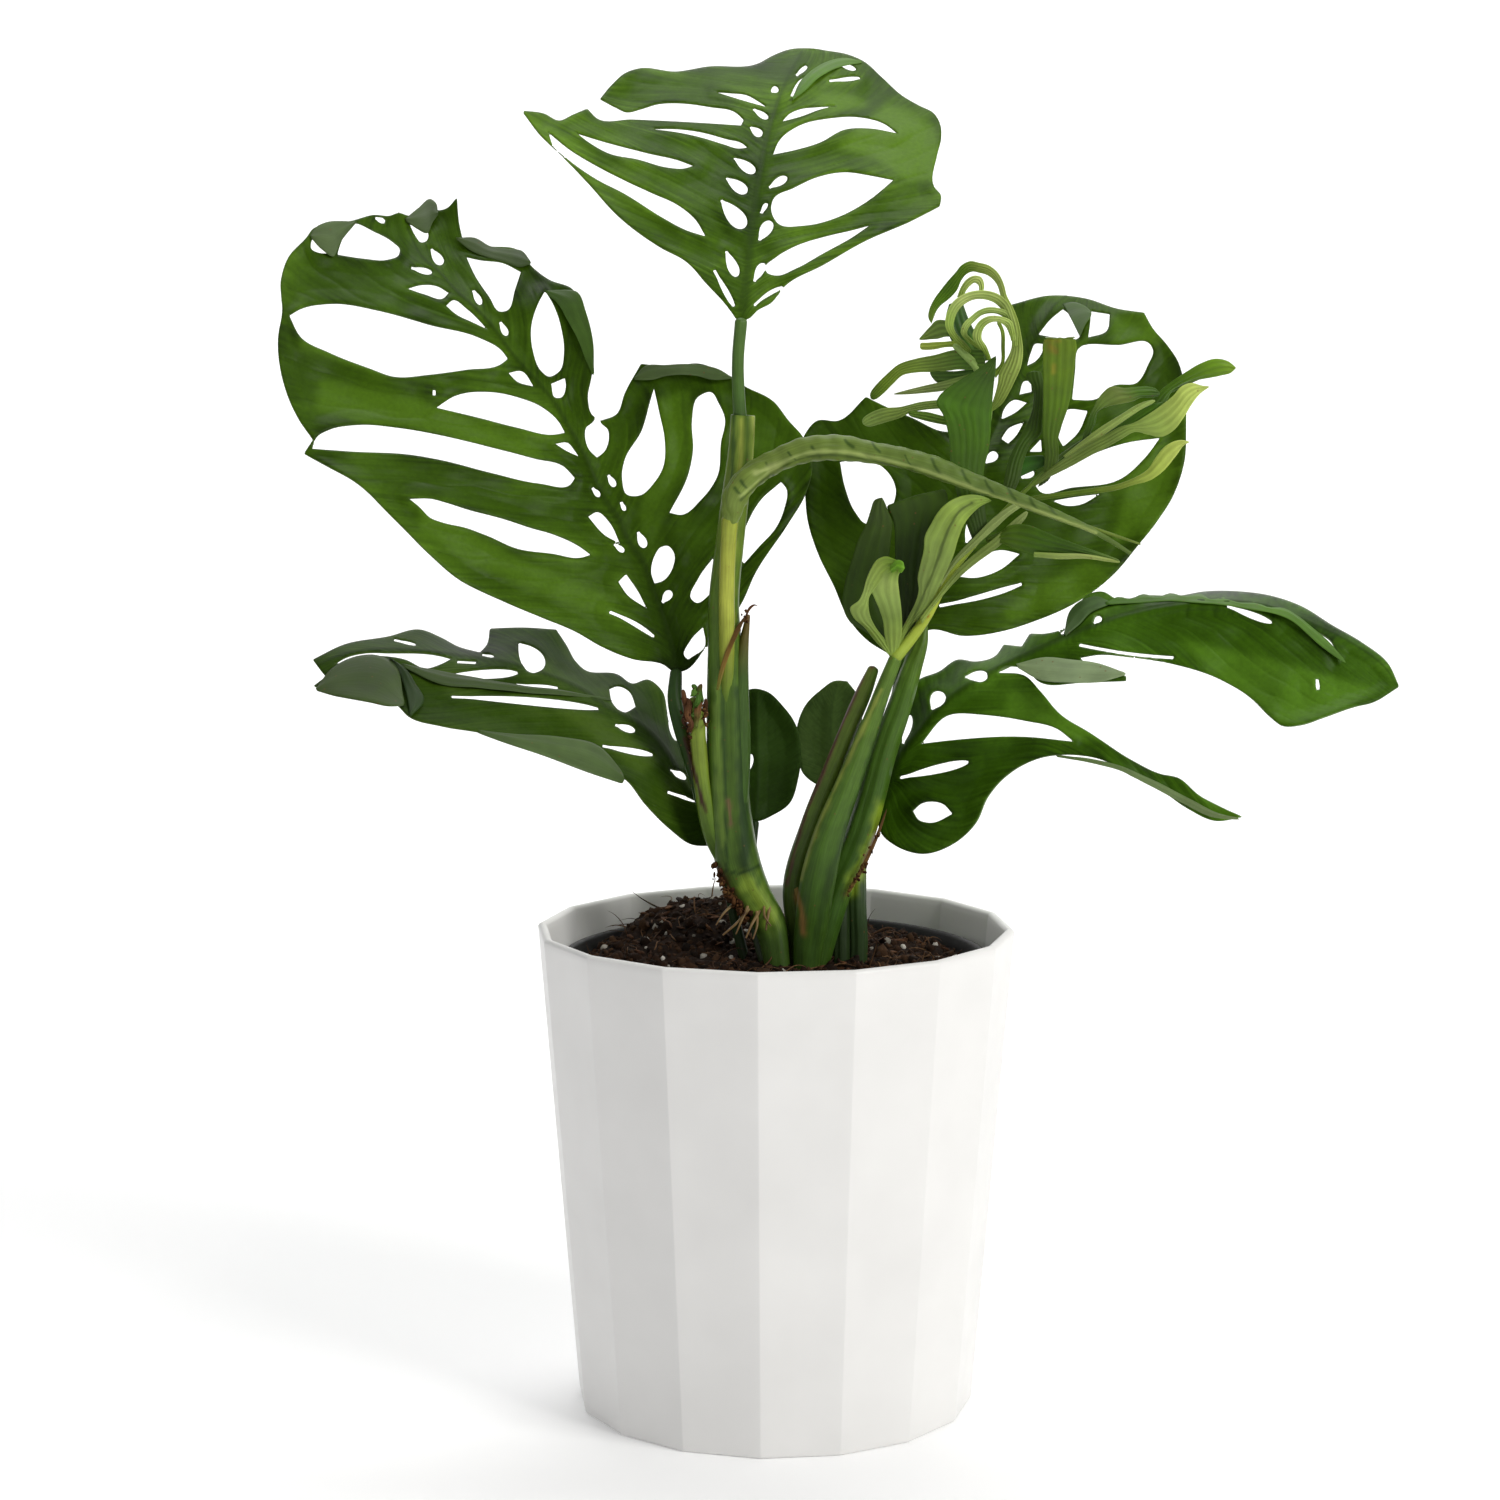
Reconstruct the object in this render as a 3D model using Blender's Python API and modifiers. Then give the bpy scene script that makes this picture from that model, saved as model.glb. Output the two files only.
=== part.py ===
"""Monstera epipremnoides in a sixteen-sided planter, modelled in metres with +Z up.

The origin is on the planter's axis, in the plane of its underside.

The plant has no ruler-straight sizes of its own, so its pieces are laid out on the front view:
a point is (across, down, back), with across and down counted on that view's 1500-unit square
frame and back in millimetres behind the plane through the pot's axis. spot() turns such a
point into metres along the line of sight of the eye that the view was seen from.
"""
import math

import bmesh
import bpy
import numpy as np
from mathutils import Vector
from mathutils.geometry import delaunay_2d_cdt

MM = 0.001

# The eye of the front view, and how the view's frame spreads out from it.
EYE = np.array([-0.0089, -1.214, 0.403])
EYE_DOWN = math.radians(7.86)
FRAME_MIDDLE = 750.0
FRAME_REACH = 3470.0

# Planter: a tapered sixteen-sided shell of moulded plastic.
SIDES = 16
PLANTER_TOP_RADIUS = 0.085
PLANTER_BASE_RADIUS = 0.071
PLANTER_HEIGHT = 0.1724
PLANTER_WALL = 0.0033
PLANTER_FLOOR = 0.004
PLANTER_TURN = math.radians(-4.29)

# Grower's pot: a thin round liner that stands on the planter's floor.
GAP = 0.0003
LINER_TOP_RADIUS = 0.0762
LINER_BASE_RADIUS = 0.0570
LINER_HEIGHT = 0.158
LINER_WALL = 0.0012
LINER_LIP = 0.0024
LINER_LIP_HEIGHT = 0.007
LINER_FLOOR = 0.0018
DRAIN_RADIUS = 0.005
DRAIN_COUNT = 6
DRAIN_CIRCLE = 0.036

# Soil: fills the liner to a little below its lip.
SOIL_BELOW_LIP = 0.0050
SOIL_SWELL = 0.0022
SOIL_RINGS = 5
SOIL_SIDES = 32
STEM_CLEARANCE = 0.0004

# Leaves.
BLADE_THICKNESS = 0.0030
BLADE_THIN_SHARE = 0.27
LOBE_THICKNESS = 0.0009
BLADE_STEP = 32.0
RIB_HALF_WIDTH = 5.0
HOLE_CLEAR = 7.0
FIT_REACH = 16.0
FUSE_MERGE = 0.0000005

# Stem points at or below this height in the front view frame their holes in the soil.
ABOVE_SOIL = 895

TOP_LEAF = {
    "rib": [(742, 320, 0), (746, 294, 7), (752, 235, 24), (760, 177, 44), (765, 147, 56), (773, 118, 69),
            (783, 89, 84), (793, 68, 98), (802, 53, 112)],
    "left": [(736, 319, 0), (729, 309, 2), (705, 282, 6), (688, 263, 10), (658, 246, 14), (617, 215, 20),
             (588, 183, 28), (559, 153, 36), (541, 136, 42), (522, 111, 48), (544, 114, 52), (559, 121, 52),
             (573, 115, 56), (587, 109, 58), (597, 119, 58), (632, 120, 60), (676, 122, 62), (711, 124, 64),
             (741, 126, 66), (744, 120, 68), (735, 112, 72), (711, 107, 75), (676, 103, 76), (658, 104, 76),
             (641, 109, 74), (626, 112, 73), (617, 108, 74), (600, 99, 75), (611, 86, 80), (626, 73, 86),
             (638, 69, 90), (676, 72, 96), (708, 67, 102), (758, 64, 110), (773, 56, 114), (789, 50, 118)],
    "right": [(748, 319, 0), (758, 310, 1), (771, 303, 3), (785, 286, 7), (823, 265, 13), (867, 240, 20),
              (911, 221, 27), (940, 206, 33), (941, 196, 38), (934, 187, 42), (937, 156, 56), (941, 139, 64),
              (940, 124, 72), (934, 114, 78), (919, 106, 84), (902, 96, 90), (881, 77, 100), (864, 62, 108),
              (848, 55, 114), (826, 51, 118), (812, 49, 119)],
    "slits": [(771, 92, 778, 88, 8, 0), (753, 109, 768, 119, 7, 0),
              (750, 127, 762, 136, 9, 0), (734, 158, 755, 173, 11, 0), (726, 178, 747, 193, 12, 0),
              (721, 200, 745, 228, 17, 0), (726, 251, 737, 277, 11, 0), (714, 270, 734, 307, 6, 0),
              (796, 76, 807, 66, 5, 0),
              (791, 97, 806, 78, 8, 0), (769, 188, 787, 177, 9, 0), (761, 214, 767, 203, 5, 0),
              (759, 241, 771, 221, 12, 0), (754, 282, 764, 263, 9, 0), (754, 306, 783, 287, 5, -2),
              (837, 63, 856, 70, 6, 0), (829, 81, 860, 78, 5, 0)],
    "holes": [[(771, 210), (774, 198), (793, 188), (817, 177), (846, 172), (868, 175), (894, 180), (870, 200),
               (837, 218), (805, 226), (778, 224)],
              [(773, 155), (779, 141), (800, 125), (830, 118), (860, 117), (885, 124), (898, 134), (870, 129),
               (845, 130), (820, 143), (793, 151)],
              [(765, 268), (776, 257), (793, 247), (823, 237), (852, 230), (871, 225), (852, 238), (823, 254),
               (796, 269), (776, 276), (767, 273)],
              [(548, 132), (553, 146), (568, 160), (595, 179), (624, 194), (664, 219), (687, 231), (706, 237),
               (695, 219), (678, 205), (652, 193), (626, 181), (595, 165), (569, 149)],
              [(576, 133), (589, 143), (609, 154), (638, 160), (667, 168), (684, 169), (694, 166), (678, 160),
               (652, 154), (624, 147), (595, 139)],
              [(646, 129), (678, 129), (701, 132), (727, 139), (742, 143), (748, 148), (738, 149), (724, 145),
               (701, 138), (678, 133)],
              [(714, 92), (730, 93), (747, 95), (758, 101), (768, 108), (750, 103), (730, 97)],
              [(782, 122), (789, 114), (800, 109), (816, 107), (838, 106), (820, 110), (801, 117)]],
}

LEFT_LEAF = {
    "rib": [(678, 670, 12), (671, 645, 13), (662, 615, 16), (652, 588, 19), (641, 560, 22), (627, 540, 25),
            (618, 519, 27), (602, 496, 31), (586, 460, 35), (570, 430, 39), (551, 398, 43), (535, 380, 46),
            (512, 354, 50), (494, 329, 54), (478, 311, 58), (455, 290, 64), (439, 272, 69), (421, 256, 75),
            (407, 228, 84)],
    "left": [(673, 671, 12), (664, 665, 12), (632, 659, 10), (604, 648, 6), (574, 631, 3), (540, 617, 0),
             (500, 600, -3), (455, 577, -6), (430, 555, -7), (395, 520, -6), (352, 480, -3), (330, 468, 0),
             (304, 454, 2), (313, 440, 4), (299, 420, 8), (284, 385, 13), (278, 338, 23), (282, 313, 30),
             (281, 279, 39), (288, 258, 46), (307, 237, 53), (313, 229, 56), (329, 225, 60), (352, 221, 65),
             (375, 215, 71), (389, 216, 75), (398, 213, 79)],
    "right": [(683, 671, 12), (705, 649, 15), (740, 606, 20), (756, 572, 24), (788, 524, 30), (806, 493, 34),
              (812, 469, 36), (804, 439, 38), (788, 420, 40), (774, 402, 42), (744, 386, 45), (728, 376, 46),
              (700, 364, 48), (668, 367, 48), (641, 364, 48), (625, 393, 46), (616, 415, 45), (601, 421, 44),
              (592, 415, 44), (588, 400, 45), (592, 374, 48), (592, 341, 53), (581, 313, 59), (573, 290, 64),
              (549, 280, 70), (532, 267, 75), (519, 251, 80), (485, 246, 84), (462, 238, 86), (459, 224, 88),
              (457, 198, 90), (446, 209, 90), (438, 211, 91), (432, 200, 93), (420, 210, 91), (410, 216, 88)],
    "slits": [(375, 218, 385, 222, 6, 0), (431, 249, 442, 265, 10, 0), (473, 290, 481, 305, 7, 0),
              (500, 322, 507, 336, 7, 0), (411, 268, 432, 273, 7, 0), (614, 544, 624, 552, 6, 0),
              (592, 488, 600, 497, 6, 0), (609, 612, 654, 637, 5, -2), (608, 475, 615, 487, 7, 0),
              (621, 502, 625, 511, 5, 0), (638, 532, 645, 548, 9, 0), (662, 603, 671, 591, 9, 0),
              (434, 390, 434, 396, 3, 0)],
    "holes": [[(316, 234), (311, 242), (311, 249), (318, 253), (327, 254), (323, 242)],
              [(352, 224), (375, 232), (393, 242), (400, 249), (398, 256), (388, 260), (363, 259), (337, 255),
               (342, 240)],
              [(409, 224), (420, 229), (428, 233), (427, 241), (421, 243), (415, 236)],
              [(466, 257), (480, 260), (503, 263), (521, 272), (515, 290), (507, 311), (500, 312), (489, 297),
               (475, 276)],
              [(545, 291), (538, 304), (531, 329), (533, 352), (540, 370), (549, 377), (560, 371), (564, 354),
               (561, 327), (552, 302)],
              [(551, 384), (565, 378), (566, 386), (561, 398), (555, 398)],
              [(407, 289), (421, 285), (437, 286), (449, 293), (443, 299), (425, 295)],
              [(453, 300), (467, 309), (488, 330), (473, 323), (455, 314), (446, 306)],
              [(289, 316), (301, 309), (329, 304), (384, 312), (430, 325), (480, 338), (501, 350), (508, 359),
               (500, 365), (467, 370), (430, 375), (393, 377), (370, 369), (329, 353), (301, 338)],
              [(312, 449), (316, 438), (329, 430), (356, 425), (398, 428), (444, 436), (490, 447), (536, 459),
               (563, 466), (575, 478), (570, 485), (540, 484), (490, 473), (439, 460), (409, 455), (352, 452)],
              [(409, 499), (419, 507), (430, 518), (443, 523), (465, 528), (487, 536), (517, 549), (552, 554),
               (581, 558), (591, 555), (577, 545), (552, 534), (531, 528), (500, 518), (469, 510), (447, 503),
               (432, 499)],
              [(555, 444), (568, 443), (574, 450), (579, 457), (566, 451)],
              [(508, 373), (521, 371), (534, 387), (517, 382)],
              [(436, 408), (455, 396), (490, 392), (517, 397), (542, 407), (558, 421), (565, 433), (554, 435),
               (517, 428), (478, 418)],
              [(588, 517), (597, 512), (609, 522), (620, 544), (604, 535)],
              [(618, 582), (626, 574), (636, 588), (647, 609), (627, 595)],
              [(668, 546), (674, 553), (672, 570), (663, 581), (654, 584), (651, 574), (655, 555), (661, 547)],
              [(654, 388), (650, 402), (641, 432), (625, 459), (622, 478), (627, 495), (639, 496), (655, 482),
               (663, 468), (665, 443), (659, 411)],
              [(698, 397), (711, 392), (719, 404), (725, 418), (721, 443), (718, 475), (701, 500), (682, 515),
               (669, 513), (687, 478), (693, 450), (692, 420)],
              [(713, 558), (698, 579), (691, 599), (696, 603), (709, 595), (718, 575)],
              [(781, 482), (786, 488), (784, 510), (776, 528), (760, 546), (744, 564), (738, 556), (747, 524),
               (760, 501)],
              [(703, 627), (705, 646), (688, 660), (684, 656), (690, 641)],
              [(586, 428), (593, 422), (597, 414), (601, 423), (608, 430), (609, 440), (605, 451), (597, 458),
               (589, 450), (585, 438)]],
}

LOW_LEFT_LEAF = {
    "rib": [(704, 806, 14), (690, 795, 14), (676, 770, 13), (661, 745, 12), (640, 725, 10), (608, 708, 8),
            (582, 690, 6), (549, 676, 5), (505, 662, 4), (464, 656, 3), (420, 651, 0), (373, 650, -4),
            (340, 656, -8), (318, 666, -10)],
    "left": [(710, 812, 13), (711, 846, 10), (693, 845, 5), (670, 829, -4), (646, 805, -13), (625, 779, -20),
             (593, 767, -27), (549, 754, -33), (520, 744, -36), (482, 733, -38), (441, 726, -38),
             (408, 716, -36), (397, 705, -33), (364, 696, -29), (338, 689, -24), (313, 687, -18),
             (326, 677, -14)],
    "right": [(704, 800, 16), (697, 782, 21), (688, 762, 27), (680, 745, 31), (668, 717, 37), (661, 690, 42),
              (648, 680, 46), (632, 684, 47), (618, 675, 48), (584, 670, 48), (574, 660, 48), (567, 647, 50),
              (556, 630, 54), (523, 628, 54), (490, 629, 52), (487, 645, 47), (480, 653, 43), (458, 647, 41),
              (441, 638, 40), (420, 630, 38), (388, 637, 28), (344, 645, 12), (313, 660, -6),
              (321, 671, -10)],
    "slits": [(519, 643, 541, 671, 23, 0), (482, 655, 494, 657, 4, 0), (615, 725, 635, 731, 8, 0),
              (602, 746, 653, 755, 7, 0), (670, 769, 686, 779, 8, 0), (667, 792, 697, 802, 4, 0),
              (668, 714, 677, 741, 8, 0), (443, 676, 518, 673, 10, 0), (457, 662, 476, 663, 3, 0),
              (516, 685, 558, 688, 5, 0), (451, 697, 599, 709, 9, -2), (394, 640, 416, 645, 4, 0)],
    "holes": [[(609, 689), (618, 686), (629, 691), (636, 707), (624, 713), (612, 703)],
              [(335, 664), (345, 658), (365, 653), (388, 653), (441, 656), (452, 659), (440, 665), (426, 669),
               (405, 660), (388, 657), (367, 657), (350, 663)]],
}

BACK_LEAF = {
    "rib": [(905, 641, 22), (918, 600, 28), (935, 560, 34), (955, 515, 42), (975, 470, 50), (991, 436, 57),
            (1007, 400, 64), (1025, 362, 72), (1040, 330, 80), (1052, 308, 88), (1066, 296, 98)],
    "left": [(900, 644, 22), (887, 653, 20), (868, 641, 23), (847, 616, 28), (834, 586, 34), (820, 558, 41),
             (808, 522, 48), (805, 487, 53), (804, 436, 57), (817, 421, 59), (838, 421, 60), (866, 397, 62),
             (882, 405, 61), (912, 418, 60), (945, 432, 60), (975, 425, 61), (1000, 398, 66), (1016, 362, 74),
             (1011, 330, 80), (1011, 305, 86), (1049, 296, 95)],
    "right": [(910, 641, 22), (929, 630, 23), (964, 636, 24), (994, 633, 26), (1038, 620, 30), (1079, 601, 36),
              (1115, 573, 42), (1136, 548, 46), (1156, 523, 50), (1174, 494, 54), (1184, 463, 58),
              (1186, 424, 62), (1184, 384, 66), (1178, 362, 70), (1166, 344, 74), (1153, 329, 78),
              (1144, 313, 82), (1117, 309, 88), (1086, 299, 96)],
    "slits": [(939, 606, 1022, 584, 6, 2), (966, 543, 977, 516, 13, 0), (985, 463, 997, 453, 10, 0),
              (1021, 478, 1034, 472, 8, 0)],
    "holes": [[(840, 462), (862, 460), (881, 466), (896, 490), (893, 505), (880, 520), (866, 524), (855, 512),
               (845, 488)],
              [(1063, 309), (1052, 318), (1038, 335), (1056, 338), (1079, 338), (1082, 331), (1075, 319)],
              [(1091, 311), (1110, 314), (1107, 331), (1088, 338), (1090, 324)],
              [(1078, 349), (1119, 345), (1150, 344), (1153, 350), (1148, 365), (1137, 383), (1113, 386),
               (1097, 399), (1072, 400), (1075, 372)],
              [(1067, 410), (1088, 411), (1078, 433), (1063, 447), (1058, 437)],
              [(1034, 484), (1056, 474), (1098, 452), (1126, 443), (1160, 438), (1145, 458), (1121, 479),
               (1071, 488), (1040, 492)],
              [(1052, 501), (1076, 497), (1100, 494), (1080, 505), (1066, 506)],
              [(952, 576), (970, 564), (1000, 550), (1020, 554), (1000, 570), (976, 578)],
              [(1001, 439), (1008, 429), (1024, 422), (1016, 436), (1008, 444)],
              [(1001, 420), (1003, 411), (1014, 400), (1027, 403), (1015, 413)],
              [(1027, 366), (1031, 352), (1035, 344), (1044, 344), (1042, 353), (1035, 362)],
              [(1019, 395), (1025, 381), (1029, 381), (1032, 392)],
              [(1029, 452), (1041, 439), (1042, 452)]],
}

LOW_RIGHT_LEAF = {
    "rib": [(891, 775, 15), (902, 755, 13), (921, 731, 11), (943, 705, 9), (984, 676, 6), (1025, 656, 4),
            (1066, 637, 3), (1106, 621, 2), (1147, 609, 1), (1188, 601, 0), (1229, 601, -2), (1270, 607, -4),
            (1310, 623, -8), (1351, 643, -12), (1388, 672, -17), (1397, 687, -20)],
    "left": [(888, 770, 15), (898, 740, 20), (902, 716, 24), (908, 690, 26), (919, 680, 27), (939, 672, 27),
             (958, 660, 28), (976, 662, 26), (996, 656, 26), (1004, 645, 26), (1022, 647, 24), (1030, 634, 25),
             (1046, 634, 22), (1068, 626, 20), (1076, 610, 23), (1088, 595, 25), (1102, 592, 26),
             (1118, 600, 23), (1143, 596, 22), (1180, 596, 19), (1204, 592, 18), (1241, 592, 14),
             (1270, 596, 10), (1302, 607, 6), (1331, 625, 0), (1362, 643, -6), (1388, 664, -12)],
    "right": [(888, 782, 15), (881, 800, 13), (882, 834, 8), (898, 847, 2), (923, 854, -4), (955, 843, -8),
              (988, 797, -13), (1041, 758, -19), (1102, 760, -24), (1131, 776, -26), (1188, 809, -30),
              (1215, 821, -32), (1243, 817, -32), (1270, 717, -36), (1282, 726, -37), (1302, 725, -36),
              (1323, 718, -34), (1355, 707, -30), (1372, 703, -26)],
    "outline": [(888, 770), (898, 740), (902, 716), (908, 690), (919, 680), (939, 672), (958, 660),
                (976, 662), (996, 656), (1004, 645), (1022, 647), (1030, 634), (1046, 634), (1068, 626),
                (1076, 610), (1088, 595), (1102, 592), (1118, 600), (1143, 596), (1180, 596), (1204, 592),
                (1241, 592), (1270, 596), (1302, 607), (1331, 625), (1362, 643), (1388, 664), (1399, 687),
                (1372, 703), (1355, 707), (1323, 718), (1302, 725), (1282, 726), (1270, 717), (1253, 700),
                (1221, 680), (1172, 664), (1127, 657), (1100, 655), (1080, 658), (1094, 672),
                (1126, 676), (1126, 681), (1080, 683), (1041, 683), (1022, 668), (1004, 668), (998, 673),
                (1025, 676), (1041, 692), (1061, 715), (1090, 733), (1131, 760), (1160, 774), (1178, 778),
                (1200, 796), (1221, 807), (1243, 817), (1215, 821), (1188, 809), (1160, 790), (1131, 776),
                (1102, 760), (1072, 755), (1041, 758), (1009, 774), (988, 797), (976, 823), (955, 843),
                (923, 854), (898, 847), (882, 834), (881, 800), (888, 782)],
    "slits": [(1227, 606, 1272, 623, 7, 0), (1311, 631, 1333, 649, 9, 0), (1317, 679, 1318, 690, 4, 0),
              (1079, 645, 1174, 658, 3, 2), (965, 677, 988, 676, 12, 0), (932, 710, 942, 692, 16, 0),
              (903, 744, 910, 715, 10, 0), (1094, 624, 1101, 617, 8, 0), (1061, 634, 1069, 630, 5, 0),
              (900, 778, 969, 762, 9, 0)],
    "holes": [[(921, 744), (947, 716), (984, 715), (1025, 721), (1057, 729), (1074, 742), (1025, 737),
               (955, 740)],
              [(913, 811), (921, 804), (943, 804), (953, 814), (931, 823), (919, 820)]],
}

SMALL_LEFT_LEAF = {
    "rib": [(755, 821, 22), (757, 790, 24), (757, 750, 27), (757, 715, 28), (757, 692, 27)],
    "left": [(752, 821, 22), (738, 806, 24), (727, 780, 27), (722, 750, 29), (727, 720, 30), (738, 698, 29),
             (751, 689, 27)],
    "right": [(758, 821, 22), (773, 815, 24), (789, 804, 25), (798, 779, 26), (801, 751, 26), (796, 725, 26),
              (783, 706, 26), (766, 691, 26)],
    "slits": [(747, 774, 751, 754, 8, 0)],
    "holes": [],
}

SMALL_RIGHT_LEAF = {
    "rib": [(836, 790, 24), (833, 760, 26), (831, 730, 27), (833, 700, 27), (838, 682, 25)],
    "left": [(832, 789, 24), (816, 784, 26), (803, 773, 28), (798, 754, 29), (797, 728, 30), (805, 706, 30),
             (822, 689, 28.5), (834, 681, 26.5)],
    "right": [(840, 789, 24), (852, 776, 26), (860, 750, 27), (862, 720, 27), (858, 696, 27), (847, 681, 26)],
    "slits": [],
    "holes": [],
}

# Young front leaf: a rib with loose straps. Each strap is a sheet between its two edges.
YOUNG_RIB = [(896, 657, -3, 2.5), (910, 640, -1, 2.4), (928, 615, 0, 2.1), (940, 593, 1, 1.8),
             (951, 573, 2, 1.7), (966, 555, 3, 1.6), (985, 533, 4, 1.5), (1006, 509, 5, 1.5),
             (1031, 485, 6, 1.4), (1055, 461, 8, 1.3), (1086, 439, 10, 1.2), (1132, 412, 12, 1.0),
             (1178, 388, 14, 0.8), (1215, 372, 15, 0.6)]
YOUNG_STRAPS = [
    [[(897, 651, -2.5), (870, 639, -5), (851, 612, -8), (860, 598, -10), (869, 575, -12), (883, 557, -13)],
     [(893, 655, -3.2), (880, 632, -5), (869, 609, -7), (868, 596, -9), (874, 588, -11), (888, 566, -13)]],
    [[(897, 655, -3), (883, 630, -5), (882, 610, -7), (873, 594, -9), (871, 586, -11), (886, 560, -13)],
     [(901, 648, -2.6), (899, 630, -4), (901, 610, -5), (899, 590, -8), (901, 568, -11), (905, 562, -13)]],
    [[(910, 640, -1), (906, 622, -1), (915, 601, -3), (920, 562, -5), (926, 530, -6), (950, 502, -4),
      (966, 495, -2), (984, 497, 0)],
     [(922, 624, -1), (927, 600, -1), (937, 586, -2), (950, 562, -3), (958, 541, -4), (967, 521, -3),
      (980, 510, -1), (990, 503, 0)]],
    [[(897, 656, -3), (852, 614, 3), (843, 588, 6), (847, 567, 7), (857, 541, 7), (868, 517, 6),
      (878, 498, 4)],
     [(904, 646, -2), (880, 600, 2), (884, 575, 5), (889, 557, 7), (892, 541, 7), (893, 520, 6),
      (884, 498, 4)]],
    [[(903, 648, -1), (902, 622, 1), (899, 595, 3), (896, 556, 5), (897, 523, 6), (888, 504, 6)],
     [(914, 636, -0.4), (914, 610, 1), (922, 575, 3), (929, 540, 5), (944, 506, 7), (930, 484, 6)]],
    [[(975, 547, 4), (960, 505, 4), (951, 468, 2), (945, 440, 0), (938, 410, -3), (937, 398, -4),
      (952, 384, -6), (992, 357, -8)],
     [(988, 531, 4), (985, 505, 4), (984, 472, 4), (986, 445, 3), (989, 420, 2), (992, 398, 0),
      (994, 378, -4), (996, 355, -8)]],
    [[(1045, 470, 7), (1044, 443, 5), (1048, 409, 2), (1045, 376, -2), (1043, 345, -5), (1046, 339, -6)],
     [(1057, 460, 8.4), (1059, 437, 6), (1070, 400, 3), (1075, 372, 0), (1078, 350, -4), (1075, 339, -6)]],
    [[(1000, 515, 5), (1003, 483, 6), (1005, 463, 7), (1012, 443, 8), (1022, 426, 9), (1032, 403, 10),
      (1028, 376, 10)],
     [(1015, 500, 5), (1018, 478, 6), (1024, 460, 7), (1031, 443, 8), (1041, 417, 9), (1046, 392, 10),
      (1040, 371, 10)]],
    [[(1074, 447, 9), (1079, 428, 8), (1089, 408, 7), (1100, 393, 6), (1113, 385, 6), (1136, 388, 7),
      (1156, 390, 10), (1176, 386, 13)],
     [(1086, 439, 10), (1095, 425, 10), (1096, 412, 9), (1104, 407, 9), (1122, 401, 10), (1140, 402, 10),
      (1160, 397, 12), (1180, 390, 14)]],
    [[(1150, 402, 12), (1155, 391, 12), (1172, 376, 11), (1200, 361, 10), (1218, 359, 10), (1234, 364, 11)],
     [(1178, 388, 14), (1183, 384, 13), (1198, 381, 12), (1215, 379, 12), (1227, 374, 12), (1236, 368, 11)]],
    [[(1040, 476, 7), (1072, 463, 5), (1099, 452, 4), (1127, 442, 3), (1154, 436, 2), (1173, 427, 2),
      (1191, 409, 3), (1204, 391, 4)],
     [(1045, 471, 7), (1060, 461, 7), (1090, 447, 6), (1117, 438, 5), (1134, 429, 4), (1151, 415, 4),
      (1170, 396, 4), (1206, 386, 4)]],
    [[(1012, 504, 5), (1043, 498, 2), (1064, 496, 0), (1099, 491, -2), (1127, 485, -3), (1151, 478, -4),
      (1164, 465, -5), (1178, 447, -6), (1188, 442, -7)],
     [(1014, 499, 5), (1040, 492, 3), (1063, 490, 1), (1089, 485, -1), (1117, 480, -2), (1136, 471, -3),
      (1152, 457, -4), (1167, 445, -6), (1186, 438, -7)]],
    [[(986, 534, 4), (994, 538, 0), (1006, 546, -3), (1025, 552, -6), (1055, 554, -8), (1086, 558, -10),
      (1114, 564, -12)],
     [(994, 524, 4), (1008, 526, 1), (1019, 525, -1), (1040, 525, -3), (1062, 540, -7), (1086, 549, -10),
      (1117, 560, -12)]],
]

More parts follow.
